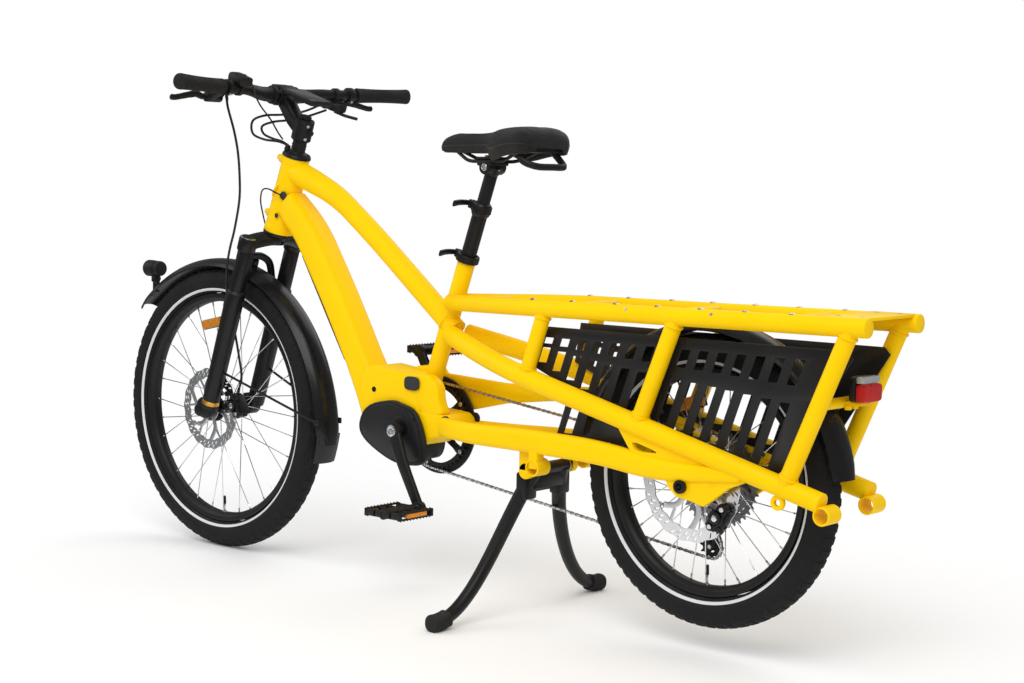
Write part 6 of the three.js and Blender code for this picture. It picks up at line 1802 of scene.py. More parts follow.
    def _headlamp(self) -> None:
        """The headlamp with its cooling ribs, lens and tilting foot."""
        z = self.headlamp_z
        profile = [(14, 1522.3), (16, 1522.8), (17, 1525)]
        for rib in range(4):
            x = 1528 + rib * 4
            profile += [(17.6, x), (17.6, x + 2), (16.2, x + 2.2), (16.2, x + 3.8)]
        profile += [(16.5, 1545), (18.6, 1550), (18.9, 1566), (18.2, 1567.6), (15.5, 1567.6),
                    (14.5, 1562), (6, 1560)]
        body = Shape().turned(at(0, 0, z), profile, 48, FORWARD)
        body.pin(1541, 585, -9, 9, 6).block(at(1543, 0, 588), (9, 6.5, 11), 2)
        body.bolt(at(1541, 9, 585), LATERAL, 4, 1.6)
        body.piece("headlamp_body", PLASTIC, "lamp", ["headlamp"])
        lens = Shape().turned(at(0, 0, z), [(15, 1562), (15, 1565), (11, 1566.6), (4, 1567.4)], 48, FORWARD)
        lens.piece("headlamp_lens", CLEAR_LENS, "lamp")


@dataclass
class Fork:
    """The fork's crown and stanchions, and the lower legs that slide on them."""

    leg_y: float = 66.0
    leg_forward: float = 15.5
    lowers_top: float = -145.6
    arch_forward: float = 50.0

    def build(self) -> None:
        """Makes the upper and lower halves."""
        self._crown()
        self._lowers()

    @staticmethod
    def _upright(shape: Shape, forward: float, left: float, low: float, high: float, radius: float,
                 bevel: float = 1.2) -> None:
        """A round bar along the steering axis, in its own frame."""
        shape.rod(at(forward, left, low), at(forward, left, high), radius, sides=36, bevel=bevel)

    def _crown(self) -> None:
        """The crown, its caps, the stanchions and the steerer."""
        crown = Shape()
        for low, high, radius in ((-17, HEAD_LENGTH - 4, 20), (HEAD_LENGTH - 8, 212, 12), (-7, -0.3, 33)):
            self._upright(crown, 0, 0, low, high, radius)
        for side in SIDES:
            path = [at(0, 0, -17), at(4, side * 22, -18), at(self.leg_forward * 0.7, side * 46, -25),
                    at(self.leg_forward, side * self.leg_y, -33)]
            crown.sweep(smooth(path, 6), [(20, 13)], 32, 0.7, FORWARD)
            self._upright(crown, self.leg_forward, side * self.leg_y, -50, -20, 20, bevel=3)
        crown.steered("fork_bridge", GLOSSY_METAL, "steering", "fork_crown")
        tubes, rings = Shape(), Shape()
        for side in SIDES:
            self._upright(tubes, self.leg_forward, side * self.leg_y, self.lowers_top - 65, -34, 17)
            rings.torus(at(self.leg_forward, side * self.leg_y, -19.6), VERTICAL, 16.5, 1.5)
        tubes.steered("stanchions", GLOSSY_METAL)
        rings.steered("crown_rings", STEEL)
        caps = Shape()
        for side in SIDES:
            caps.turned(at(self.leg_forward, side * self.leg_y, -21), [
                (14.6, 0), (14.6, 2.6), (12, 4.2), (5, 4.2), (4, 2.2)], 32, VERTICAL)
        caps.steered("crown_caps", SATIN)

    def _lowers(self) -> None:
        """The lower legs, their arch and dropouts, the seals and the axle."""
        legs, seals = Shape(), Shape()
        axle = into_steer(FRONT_AXLE)
        foot_top = axle.z + 20
        for side in SIDES:
            foot = at(self.leg_forward, side * self.leg_y, 0)
            profile = [(12, foot_top - 8), (18, foot_top - 6), (19, foot_top), (19.2, foot_top + 60),
                       (20.4, self.lowers_top - 40), (20.5, self.lowers_top - 4), (19.6, self.lowers_top)]
            legs.turned(foot, profile, 40, VERTICAL)
            seals.turned(foot + VERTICAL * self.lowers_top, [
                (17.3, -1), (20.2, -1), (20.4, 2), (18.6, 5), (17.3, 6)], 36, VERTICAL, looped=True)
            middle = at((self.leg_forward + axle.x) / 2, 0, (foot_top + axle.z) / 2)
            faces = [at(middle.x, y, middle.z) for y in sorted((side * 46.7, side * 76))]
            legs.sweep(faces, [(22.6, 22.6)], 36, 0.8, FORWARD, bevel=4)
            ends = sorted((side * 70, side * 77.5))
            legs.rod(at(axle.x, ends[0], axle.z), at(axle.x, ends[1], axle.z), 13, bevel=2)
        arch = [(25.5, 56, -157.6), (36, 50, -133.6), (46, 40, -94), (self.arch_forward, 20, -79),
                (self.arch_forward, 0, -76)]
        legs.sweep(smooth(over(arch), 6), [(6, 8)], 28, 0.7, FORWARD)
        legs.rod(at(axle.x, -75.5, axle.z), at(axle.x, 75.5, axle.z), 7.4, bevel=0.6)
        legs.steered("fork_legs", GLOSSY_METAL, "sliders", "fork_lowers")
        seals.steered("fork_seals", HOSE, "sliders")
        bands = Shape()
        bands.turned(at(self.leg_forward, self.leg_y, foot_top + 4), [
            (19.0, 0), (19.5, 0.6), (19.5, 9), (19.0, 9.6)], 40, VERTICAL)
        bands.steered("fork_band", GOLD, "sliders")
        lever = Shape()
        lever.rod(at(axle.x, -76, axle.z), at(axle.x, -78, axle.z), 9, bevel=0.6)
        lever.sweep(smooth([at(axle.x, -76.6, axle.z), at(axle.x - 8, -78, axle.z + 20),
                            at(axle.x - 16, -77, axle.z + 46)], 6), [(5, 2.4)], 20, 0.7, FORWARD, 0.8)
        lever.steered("axle_lever", SATIN, "sliders")


@dataclass
class Cockpit:
    """Stem, handlebar, grips, brake levers, shifter, screen and remote."""

    clamp_forward: float = 82.8
    clamp_up: float = 276.0
    end_radius: float = 11.1
    clamp_radius: float = 15.9
    ends: Route = ((36.1, 317, 303.4), (60.7, 192, 291.9), (71.5, 100, 286))
    end_y: float = 319.0
    screen_up: float = 294.0
    remote_y: float = 140.0
    shifter_y: float = -135.0
    pod: Vector = field(default_factory=lambda: at(62, -142, 265))
    master_forward: float = 108.0
    master_up: float = 256.0

    def build(self) -> None:
        """Makes everything above the head tube."""
        self._stem()
        self._bar()
        for side, label in zip(SIDES, ("left", "right")):
            self._grip(side, label)
            self._brake(side, label)
        self._shifter()
        self._screen()
        self._remote()

    def bar_at(self, y: float) -> Vector:
        """The bar's middle at one sideways place, in the steering frame.

        Args:
            y: The place from the middle, positive to the left.

        Returns:
            The place.
        """
        side = math.copysign(1, y)
        spots = [*self.ends, *((self.clamp_forward, y, self.clamp_up) for y in (60, 0))]
        for outer, inner in zip(spots, spots[1:]):
            if inner[1] <= abs(y):
                share = (outer[1] - abs(y)) / (outer[1] - inner[1])
                u, w = (outer[k] + (inner[k] - outer[k]) * share for k in (0, 2))
                return at(u, side * abs(y), w)
        return at(*spots[-1])

    def _band(self, shape: Shape, y: float, half: float, radius: float) -> None:
        """A clamp band round the bar."""
        low, high = self.bar_at(y - half), self.bar_at(y + half)
        shape.rod(low, high, radius, sides=32, bevel=1.2)

    def _stem(self) -> None:
        """The headset cap, the column, the clamp and the arm."""
        base = HEAD_LENGTH + 0.3
        stem = Shape()
        profile = [(12, base), (30.6, base), (31, base + 1), (30, base + 5), (28, base + 8), (20, base + 9),
                   (17, base + 12), (15, base + 14), (15, 203), (19, 204), (21, 206), (21, 248),
                   (19, 250), (12, 250)]
        stem.turned(at(0, 0, 0), profile, 44, VERTICAL)
        stem.sweep(smooth([at(0, 0, 227), at(30, 0, 240), at(60, 0, 261), at(self.clamp_forward, 0,
                                                                             self.clamp_up)], 5),
                   [(17, 20), (17, 17)], 32, 0.7)
        stem.rod(at(self.clamp_forward, -24, self.clamp_up), at(self.clamp_forward, 24, self.clamp_up),
                 22, sides=44, bevel=3)
        stem.rod(at(0, 0, 227), at(-29, 0, 227), 6, bevel=1.5)
        stem.turned(at(0, 0, 0), [(11, 249), (12.5, 250.5), (12.5, 256), (11, 258), (4, 258)], 32, VERTICAL)
        for ring in (base + 14, base + 20, base + 26):
            stem.torus(at(0, 0, ring), VERTICAL, 15, 1.0)
        stem.steered("stem_body", SATIN, "steering", "stem")
        bolts = Shape()
        for up in (212, 240):
            bolts.bolt(at(-20.5, 8, up), -FORWARD, 3.6, 2.4)
        for y in (-15, 15):
            for up in (-12, 12):
                spot = at(self.clamp_forward + 19, y, self.clamp_up + up)
                bolts.bolt(spot, FORWARD, 3.4, 2.6)
        bolts.steered("stem_bolts", BRIGHT)
        cap = Shape().block(at(self.clamp_forward + 12, 0, self.clamp_up), (7.5, 22, 19), 3)
        cap.steered("stem_faceplate", SATIN)

    def _bar(self) -> None:
        """The bar, thick in the middle and swept back at its ends."""
        tip, *ends = self.ends
        left = [(tip[0], self.end_y, tip[2]), *ends, (self.clamp_forward, 60, self.clamp_up)]
        path = places(left) + places(left, -1)[::-1]
        radii = [self.end_radius] * 3 + [self.clamp_radius]
        sizes = [(r, r) for r in radii + radii[::-1]]
        path, sizes = bent(path, sizes, 34, 8)
        Shape().sweep(path, sizes, 32, 1, VERTICAL).steered("bar", SATIN, "steering", "handlebar",
                                                           angle=50)

    def _grip(self, side: int, label: str) -> None:
        """A waisted rubber grip with its ribs and inner collar.

        Args:
            side: 1 on the left, -1 on the right.
            label: Left or right, as the names say it.
        """
        outer, inner = self.bar_at(side * 319), self.bar_at(side * 190)
        axis = (outer - inner).normalized()
        length = (outer - inner).length
        profile = [(12, 0), (15.6, 0), (16.4, 1), (16.4, 5), (15.2, 6)]
        ribs = 22
        for rib in range(ribs):
            share = rib / (ribs - 1)
            reach = 8 + share * (length - 18)
            waist = 15.9 - 1.1 * math.sin(math.pi * share)
            profile += [(waist - 0.7, reach), (waist, reach + 1.0), (waist, reach + 3.2),
                        (waist - 0.7, reach + 4.2)]
        profile += [(15.6, length - 4), (16.4, length - 3), (16.0, length + 2), (13, length + 3.6),
                    (4, length + 4)]
        Shape().turned(inner, profile, 40, axis).steered(
            f"rubber_grip_{label}", GRIP, "steering", f"grip_{label}")

    def _brake(self, side: int, label: str) -> None:
        """The master cylinder and its lever blade.

        Args:
            side: 1 on the left, -1 on the right.
            label: Left or right, as the names say it.
        """
        master = Shape()
        self._band(master, side * 172, 7, 16.6)
        bar = self.bar_at(side * 172)
        ahead, up = self.master_forward, self.master_up
        master.sweep(smooth([bar, bar.lerp(at(ahead, side * 172, up), 0.5) + VERTICAL * 3,
                             at(ahead, side * 172, up)], 4), [(9, 10)], 28, 0.7)
        ends = sorted((side * 146, side * 186))
        master.rod(at(ahead, ends[0], up), at(ahead, ends[1], up), 10.4, sides=32, bevel=2.5)
        master.block(at(104, side * 162, 264), (9, 15, 3), 2)
        master.rod(at(ahead, side * 147, up), at(112, side * 139, 258), 4.5, 3.2, 20)
        master.steered(f"brake_body_{label}", SATIN, "steering", f"brake_master_{label}")
        screws = Shape()
        for y in (152, 172):
            screws.bolt(at(104, side * y, 267), VERTICAL, 2.2, 1.2)
        screws.bolt(bar + at(-12, 0, -11), at(-0.7, 0, -0.7), 3, 2)
        screws.steered(f"brake_screws_{label}", BRIGHT)
        path = [(ahead, 186.8, up), (ahead, 194, up), (106, 204, 259), (104, 215, 262), (101, 235, 260),
                (99, 255, 256.5), (97, 272, 254), (96, 284, 254.5)]
        halves = [(4, 4), (6.6, 4.4), (7, 4.4), (7, 4.4), (6.4, 4), (6, 4), (6, 4), (4.4, 4)]
        curve = smooth(places(path, side), 4)
        sizes = [halves[min(step // 4, len(halves) - 1)] for step in range(len(curve))]
        blade = Shape().sweep(curve, sizes, 28, 0.7, VERTICAL, 0.8)
        blade.steered(f"lever_blade_{label}", SATIN, f"{label}_brake", f"brake_lever_{label}")

    def _shifter(self) -> None:
        """The gear pod under the right of the bar, and its thumb lever."""
        pod = Shape()
        self._band(pod, self.shifter_y, 6, 14.8)
        profile = [(8, -9), (20, -9), (21.6, -7.5), (22, -3), (22, 4), (20, 7.6), (16, 8.8), (6, 9)]
        pod.turned(self.pod, profile, 44, VERTICAL)
        pod.rod(self.pod, self.bar_at(self.shifter_y), 10.5, sides=24)
        pod.block(at(60, -139, 273.2), (12, 8, 1.0), 0.6)
        pod.steered("shifter_pod", PLASTIC, "steering", "shifter")
        window = Shape().block(at(60, -139, 273.9), (8, 5, 0.5), 0.3)
        window.steered("shifter_window", GLASS)
        lever = Shape().sweep(smooth([at(62, -142, 252.7), at(37, -144, 252.7), at(24, -152, 252.7),
                                      at(12, -163, 252.7)], 5), [(3, 5.8)], 24, 0.7, VERTICAL, 0.8)
        lever.steered("thumb_lever", PLASTIC, "shift_trigger", "shifter_lever")

    def _screen(self) -> None:
        """The screen over the stem, on two arms."""
        up = self.screen_up
        slab = Shape().sweep([at(-36, 0, up), at(56, 0, up)], [(31.6, 5.8)], 44, 0.3, bevel=2)
        for y in (-30, 30):
            self._band(slab, y, 4, 19.6)
            slab.sweep([at(52, y, up), at(self.clamp_forward, y, self.clamp_up)], [(4, 4)], 20)
        slab.steered("screen_case", PLASTIC, "steering", "display")
        glass = Shape().block(at(10, 0, 299.6), (39, 27, 0.35), 0.3)
        glass.steered("screen_window", GLASS)
        keys = Shape()
        for x in (-22, -10, 2):
            keys.block(at(x, -33, up), (4, 1.2, 2.4), 0.6)
        keys.steered("screen_keys", GRIP)

    def _remote(self) -> None:
        """The remote on the left, its keys and its button."""
        centre = self.bar_at(self.remote_y) + VERTICAL * 20
        case = Shape()
        self._band(case, self.remote_y, 5, 14.8)
        case.sweep([centre - FORWARD * 21, centre + FORWARD * 21], [(16.8, 9.8)], 40, 0.5, bevel=2.5)
        case.steered("remote_case", PLASTIC, "steering", "remote")
        keys = Shape()
        for x, y in ((10, -6), (10, 6), (1, 10)):
            keys.turned(centre + at(x, y, 9.2), [(3.4, 0), (3.4, 0.9), (2.6, 1.3)], 20, VERTICAL)
        keys.steered("remote_keys", GRIP)
        top = centre.z + 10
        button = Shape().turned(at(centre.x - 6, centre.y, 0), [
            (5.5, top - 3), (6.7, top - 3), (6.9, top + 1.6), (6.2, top + 2.3), (3, top + 2.5)],
            32, VERTICAL)
        button.steered("mode_key", PORT, "mode_button", "remote_button")


@dataclass
class Stoppers:
    """The two brake calipers."""

    def build(self) -> None:
        """Makes the front and the rear one, each astride its disc."""
        self._caliper("front", "sliders", FRONT_AXLE, at(1204, 0, 327), 58, 30, 60, 41.5)
        self._caliper("rear", "frame", REAR_AXLE, at(-64, 0, 254), 62, 40, 74, 57)

    @staticmethod
    def _caliper(label: str, body: str, axle: Vector, middle: Vector, lean: float, low: float,
                 high: float, disc: float) -> None:
        """A two-piston caliper astride its disc.

        Args:
            label: Front or rear.
            body: The body that it rides on.
            axle: The wheel's middle.
            middle: The caliper's middle.
            lean: How far its length leans from forward, in degrees.
            low: Its right side.
            high: Its left side.
            disc: The disc's place.
        """
        angle = math.radians(lean)
        along = spoke_way(angle)
        outward = (middle - axle).normalized()
        if along.dot(outward) ** 2 > 0.5:
            along = at(-outward.z, 0, outward.x)
        half = Shape()
        for start, end in ((low, disc - 1.9), (disc + 1.9, high)):
            centre = at(middle.x, (start + end) / 2, middle.z)
            for shift, wide in ((0, 15), (-20, 8), (20, 8)):
                half.rod(at(middle.x, start, middle.z) + along * shift,
                         at(middle.x, end, middle.z) + along * shift, wide, sides=36, bevel=1.6)
            half.block(centre, (24, (end - start) / 2, 11), 2.4, along, along.cross(LATERAL))
        half.block(at(middle.x, disc, middle.z) + outward * 13, (22, 12, 4.5), 2, along, outward)
        half.rod(at(middle.x, high - 1, middle.z), at(middle.x, high + 4.5, middle.z), 11, sides=36)
        half.rod(at(middle.x, high - 6, middle.z) + along * 14,
                 at(middle.x, high - 6, middle.z) + along * 14 + outward * 24, 5, 4, 24)
        half.piece(f"{label}_caliper_body", SATIN, body, [f"{label}_caliper"])
        bolts = Shape()
        for shift in (-20, 20):
            bolts.bolt(at(middle.x, high, middle.z) + along * shift, LATERAL, 4.5, 2.2)
        bolts.bolt(at(middle.x, high + 4.2, middle.z), LATERAL, 5.5, 1.2)
        bolts.piece(f"{label}_caliper_bolts", BRIGHT, body)


CHAIN_PITCH = 12.7
CHAIN_FRONT_Y = -50.0
ENGAGED = 7
COG_TEETH = (42, 36, 30, 25, 21, 18, 15, 13, 11)
COG_SPACING = 4.35
COG_FIRST_Y = -26.5
ENGAGED_Y = COG_FIRST_Y - ENGAGED * COG_SPACING


@dataclass(frozen=True)
class Sprocket:
    """A toothed wheel on the chain's path, with its sense of turning."""

    x: float
    z: float
    teeth: int
    sense: int
    y: float

    @property
    def radius(self) -> float:
        """The radius that the chain's pins lie on."""
        return CHAIN_PITCH / (2 * math.sin(math.pi / self.teeth))

    @property
    def centre(self) -> Vector:
        """Its middle."""
        return at(self.x, self.y, self.z)


class ChainLine:
    """The chain's path over its four wheels, with the cage swung to a whole number of links."""

    def __init__(self) -> None:
        """Finds the cage's angle and the place of each pin."""
        low, high = -95.0, -60.0
        self.links = 2 * round(self._length((low + high) / 2) / CHAIN_PITCH / 2)
        rising = self._length(high) > self._length(low)
        for _ in range(60):
            guess = (low + high) / 2
            if (self._length(guess) > self.links * CHAIN_PITCH) == rising:
                high = guess
            else:
                low = guess
        self.wheels = self._wheels((low + high) / 2)
        self.runs = self._runs(self.wheels)
        self.pins = [self._spot((index + 0.25) * CHAIN_PITCH) for index in range(self.links)]

    @staticmethod
    def _wheels(degrees: float) -> list[Sprocket]:
        """The chainring, the cog in use, the guide pulley and the tension pulley.

        Args:
            degrees: The gear cage's angle.

        Returns:
            The four wheels in the chain's order.
        """
        angle = math.radians(degrees)
        return [
            Sprocket(CRANK.x, CRANK.z, 44, 1, CHAIN_FRONT_Y),
            Sprocket(0, REAR_AXLE.z, COG_TEETH[ENGAGED], 1, ENGAGED_Y),
            Sprocket(12, 243, 11, -1, ENGAGED_Y),
            Sprocket(12 + 72 * math.cos(angle), 243 + 72 * math.sin(angle), 11, 1, ENGAGED_Y),
        ]

    @staticmethod
    def _runs(wheels: Sequence[Sprocket]) -> list[tuple]:
        """Each straight run and the arc after it: heading, length, angle and wheels.

        Args:
            wheels: The wheels in the chain's order.

        Returns:
            The runs and arcs in order.
        """
        spans = []
        for index, start in enumerate(wheels):
            end = wheels[(index + 1) % len(wheels)]
            dx, dz = end.x - start.x, end.z - start.z
            offset = end.sense * end.radius - start.sense * start.radius
            heading = math.atan2(dz, dx) - math.asin(offset / math.hypot(dx, dz))
            spans.append((heading, math.sqrt(dx * dx + dz * dz - offset * offset), start, end))
        found = []
        for index, (heading, length, start, end) in enumerate(spans):
            found.append((heading, length, 0.0, start, end))
            swing = (end.sense * (spans[(index + 1) % len(spans)][0] - heading)) % math.tau
            found.append((heading, swing * end.teeth * CHAIN_PITCH / math.tau, swing, end, end))
        return found

    def _length(self, degrees: float) -> float:
        """The whole path's length at one cage angle."""
        return sum(run[1] for run in self._runs(self._wheels(degrees)))

    def _spot(self, distance: float) -> Vector:
        """The place of a pin at one distance along the path.

        Args:
            distance: How far along the path.

        Returns:
            The place.
        """
        for heading, length, swing, wheel, end in self.runs:
            if distance > length:
                distance -= length
                continue
            turn = heading + wheel.sense * swing * distance / length
            reach = wheel.sense * wheel.radius
            foot = at(wheel.x + reach * math.sin(turn), wheel.y, wheel.z - reach * math.cos(turn))
            if swing:
                return foot
            y = wheel.y + (end.y - wheel.y) * distance / length
            return at(foot.x + distance * math.cos(heading), y, foot.z + distance * math.sin(heading))
        return self._spot(0.0)

    def phase(self, wheel: Sprocket) -> float:
        """The turn that puts a wheel's teeth between the pins that lie on it.

        Args:
            wheel: The wheel.

        Returns:
            The turn in radians.
        """
        on_wheel = [pin for pin in self.pins
                    if abs(math.hypot(pin.x - wheel.x, pin.z - wheel.z) - wheel.radius) < 0.15]
        middle = on_wheel[len(on_wheel) // 2]
        return math.atan2(middle.z - wheel.z, middle.x - wheel.x)


@dataclass
class Drivetrain:
    """The motor, the chain and everything that it runs over."""

    line: ChainLine = field(default_factory=ChainLine)
    tooth_rise: float = 3.0
    tooth_foot: float = 4.4
    plate_half: float = 3.9
    inner_plate_y: float = 1.25
    outer_plate_y: float = 2.25
    roller_radius: float = 3.1
    pin_radius: float = 1.6
    cage_half: float = 5.4
    high_knuckle: Vector = field(default_factory=lambda: at(-8, 0, 266))
    low_knuckle: Vector = field(default_factory=lambda: at(12, 0, 243))

    def build(self) -> None:
        """Makes the motor covers, the wheels, the chain and the gear arm."""
        self._motor()
        self._chainring()
        self._cassette()
        self._pulleys()
        self._chain()
        self._cage()
        self._derailleur()

    def _toothed(self, shape: Shape, wheel: Sprocket, half: float, phase: float, inner: float) -> None:
        """A toothed ring with thinned teeth and an open middle.

        Args:
            shape: The shape to add to.
            wheel: The wheel's place and teeth.
            half: Half its thickness.
            phase: The turn of its first pin.
            inner: The radius of the opening.
        """
        root, tip = wheel.radius - self.tooth_foot, wheel.radius + self.tooth_rise
        profile = ((-4.6, root + 0.4), (-3.2, root + 1.0), (-2.0, root + 4.2), (-0.9, tip - 0.3),
                   (0.9, tip - 0.3), (2.0, root + 4.2), (3.2, root + 1.0), (4.6, root + 0.4))
        rim, crest, hole = [], [], []
        for tooth in range(wheel.teeth):
            middle = phase + math.tau * (tooth + 0.5) / wheel.teeth
            for along, reach in profile:
                angle = middle + along / wheel.radius
                rim.append((angle, reach))
                crest.append((angle, min(reach, root + 4.6) + max(0, reach - root - 4.6) * 0.6))
                hole.append((angle, inner))
        rings = []
        for line, y in ((hole, -half), (crest, -half), (rim, -half * 0.4), (rim, half * 0.4),
                        (crest, half), (hole, half)):
            rings.append([round_spot(wheel, reach, angle, wheel.y + y) for angle, reach in line])
        shape.loft(rings, looped=True)

    def _motor(self) -> None:
        """The motor's body, its left and right covers and the rings round the spindle."""
        body = [(1, -0.04), (0.82, 0.56), (0.25, 0.79), (-0.1, 0.56), (-0.22, 0.06), (-0.25, -0.59),
                (-0.1, -0.99), (0.35, -0.91), (0.86, -0.44)]
        cover = [(1, -0.04), (0.82, 0.56), (0.25, 0.79), (0.02, 0.71), (-0.26, 0.59), (-0.41, 0.19),
                 (-0.52, -0.37), (-0.53, -0.91), (0, -0.99), (0.35, -0.86), (0.86, -0.44)]
        spread = [rounded([(CRANK.x + a * 120 * grow, CRANK.z + b * 70 * grow) for a, b in shares])
                  for shares, grow in ((body, 1.0), (cover, 1.04), (cover, 0.92))]
        unit = Shape().prism(spread[0], -44, 44, 3, 3)
        unit.prism(spread[1], 42.3, 53.6, 3.5, 4)
        unit.prism(spread[0], -47, -43.6, 1.4, 3)
        home = body_of("drive_unit")
        unit.piece("motor_unit", PLASTIC, home, ["drive_unit"])
        plate = Shape().prism([(x + 4, z) for x, z in spread[2]], 52.0, 55.4, 1.6, 3)
        plate.piece("motor_cover", PANEL, home)
        rings = Shape()
        rings.turned(at(CRANK.x, 0, CRANK.z), [(13, 53), (26, 53), (27, 54), (27, 56.6), (25.5, 57.6),
                                               (14, 57.6), (13, 57)], 64, looped=True)
        for a, b in ((0.86, 0.3), (0.3, 0.62), (-0.3, 0.36), (-0.42, -0.68), (0.3, -0.72)):
            rings.bolt(at(CRANK.x + a * 114, 53, CRANK.z + b * 66), LATERAL, 4, 2.2)
        rings.piece("motor_rings", SATIN, home)

    def _chainring(self) -> None:
        """The chainring on its five arms, and the guard ring outside it."""
        wheel = self.line.wheels[0]
        inner = wheel.radius - 12
        ring = Shape()
        self._toothed(ring, wheel, 0.9, self.line.phase(wheel), inner)
        arms, bolts = Shape(), Shape()
        for arm in range(5):
            turn = math.tau * arm / 5
            along = spoke_way(turn)
            across = at(-math.sin(turn), 0, math.cos(turn))
            path = [wheel.centre + along * reach for reach in (20, 40, 62, inner + 2)]
            arms.sweep(path, [(13, 2.2), (9, 2.2), (7.5, 2), (9.5, 1.6)], 24, 0.6, across, 0.6)
            spot = wheel.centre + along * (inner + 4)
            ends = spot - LATERAL * 9.4, spot + LATERAL * 1.4
            arms.rod(ends[0], ends[1], 4.2, sides=20, bevel=0.4)
            bolts.bolt(ends[0], -LATERAL, 4.6, 1.4)
            bolts.bolt(ends[1], LATERAL, 4.6, 1.4)
        arms.turned(at(wheel.x, 0, wheel.z), [
            (12.1, -65.7), (22, -65.7), (24, -64), (24, -52), (22.5, -48.4), (12.1, -48.2)],
            48, looped=True)
        ring.piece("chainring_teeth", SATIN, "cranks", ["chainring"])
        arms.piece("chainring_spider", SATIN, "cranks")
        bolts.piece("chainring_bolts", STEEL, "cranks")
        guard = Shape().turned(at(wheel.x, 0, wheel.z), [
            (79, -60), (98.6, -60), (100, -58.8), (100, -57.2), (98.6, -56), (79, -56), (77.8, -58)],
            96, looped=True)
        guard.piece("chain_guard", PLASTIC, "cranks")

    def _cassette(self) -> None:
        """The cogs, the large ones on spider arms, with their core and lock ring."""
        cogs, core = Shape(), Shape()
        wheel = self.line.wheels[1]
        for index, teeth in enumerate(COG_TEETH):
            y = COG_FIRST_Y - index * COG_SPACING
            cog = Sprocket(0, REAR_AXLE.z, teeth, 1, y)
            phase = self.line.phase(wheel) if index == ENGAGED else index * 0.21
            self._toothed(cogs, cog, 0.9, phase, max(17.4, cog.radius - 13) if teeth > 20 else 17.4)
            if teeth > 20:
                for arm in range(6):
                    turn = math.tau * (arm / 6) + index * 0.12
                    path = [cog.centre + spoke_way(t) * reach for t, reach in (
                        (turn, 18), (turn + 0.14, (18 + cog.radius) / 2), (turn + 0.32, cog.radius - 11))]
                    cogs.sweep(smooth(path, 4), [(0.8, 3.6)], 14, 0.6)
        low = COG_FIRST_Y - (len(COG_TEETH) - 1) * COG_SPACING - 1.8
        core.turned(REAR_AXLE, [(17.4, low), (20.4, low), (20.4, COG_FIRST_Y + 1.8),
                                (17.4, COG_FIRST_Y + 1.8)], 40, looped=True)
        core.turned(REAR_AXLE, [(13, low), (19, low), (19.4, low - 1.2), (17, low - 2.2), (13, low - 2.2)],
                    40, looped=True)
        cogs.piece("cassette_cogs", COG_STEEL, "sprockets", ["cassette"])
        core.piece("cassette_core", SATIN, "sprockets")

    def _pulleys(self) -> None:
        """The two pulleys with their windows and caps."""
        for name, body, wheel in zip(("guide", "tension"), ("upper_pulley", "lower_pulley"),
                                     self.line.wheels[2:]):
            shape = Shape()
            self._toothed(shape, wheel, 1.0, self.line.phase(wheel), 11)
            shape.turned(wheel.centre, [(3.3, -2.4), (7, -2.4), (7.6, -1.6), (7.6, 1.6), (7, 2.4),
                                        (3.3, 2.4)], 36, looped=True)
            for arm in range(5):
                turn = math.tau * arm / 5
                path = [wheel.centre + spoke_way(turn) * reach for reach in (6, 12)]
                shape.sweep(path, [(1.2, 2.6)], 12, 0.6)
            shape.piece(f"{name}_pulley_wheel", PLASTIC, body, [f"{name}_pulley"])

    def _plate(self, shape: Shape, start: Vector, end: Vector, y: float, wide: float) -> None:
        """One waisted side plate between two pins, on one side of the chain.

        Args:
            shape: The shape to add to.
            start: The first pin.
            end: The second pin.
            y: Its inner face's place.
            wide: Half its height at the pins.
        """
        along = at(end.x - start.x, 0, end.z - start.z).normalized()
        upward = at(-along.z, 0, along.x)
        half = (end - start).length / 2
        middle = (start + end) / 2
        outline = []
        for step in range(12):
            angle = math.tau * (step + 0.5) / 12
            reach = math.copysign(half, math.cos(angle)) + wide * math.cos(angle)
            waist = wide * math.sin(angle) * (0.5 if abs(math.cos(angle)) < 0.3 else 1.0)
            outline.append((reach, waist))
        sides = 1 if y > 0 else -1
        rings = []
        for depth, inset in ((0, 0.3), (0.2, 0), (0.75, 0), (0.95, 0.3)):
            grow = 1 - inset / wide
            rings.append([middle + along * reach * (1 - inset / (half + wide)) + upward * waist * grow
                          + LATERAL * (y + sides * depth) for reach, waist in outline])
        shape.loft(rings)

    def _chain(self) -> None:
        """Each link with its own two plates, and a roller and pin at each joint."""
        plates, rollers = Shape(), Shape()
        pins = self.line.pins
        for index, pin in enumerate(pins):
            after = pins[(index + 1) % len(pins)]
            out = self.outer_plate_y if index % 2 else self.inner_plate_y
            for side in SIDES:
                self._plate(plates, pin, after, side * out, self.plate_half)
            for half, radius, sides, bevel in ((1.2, self.roller_radius, 14, 0.2),
                                               (3.6, self.pin_radius, 10, 0.3)):
                rollers.rod(pin - LATERAL * half, pin + LATERAL * half, radius, sides=sides, bevel=bevel)
        plates.piece("chain_plates", CHAIN_STEEL, "frame", ["chain"])
        rollers.piece("chain_rollers", COG_STEEL, "frame")

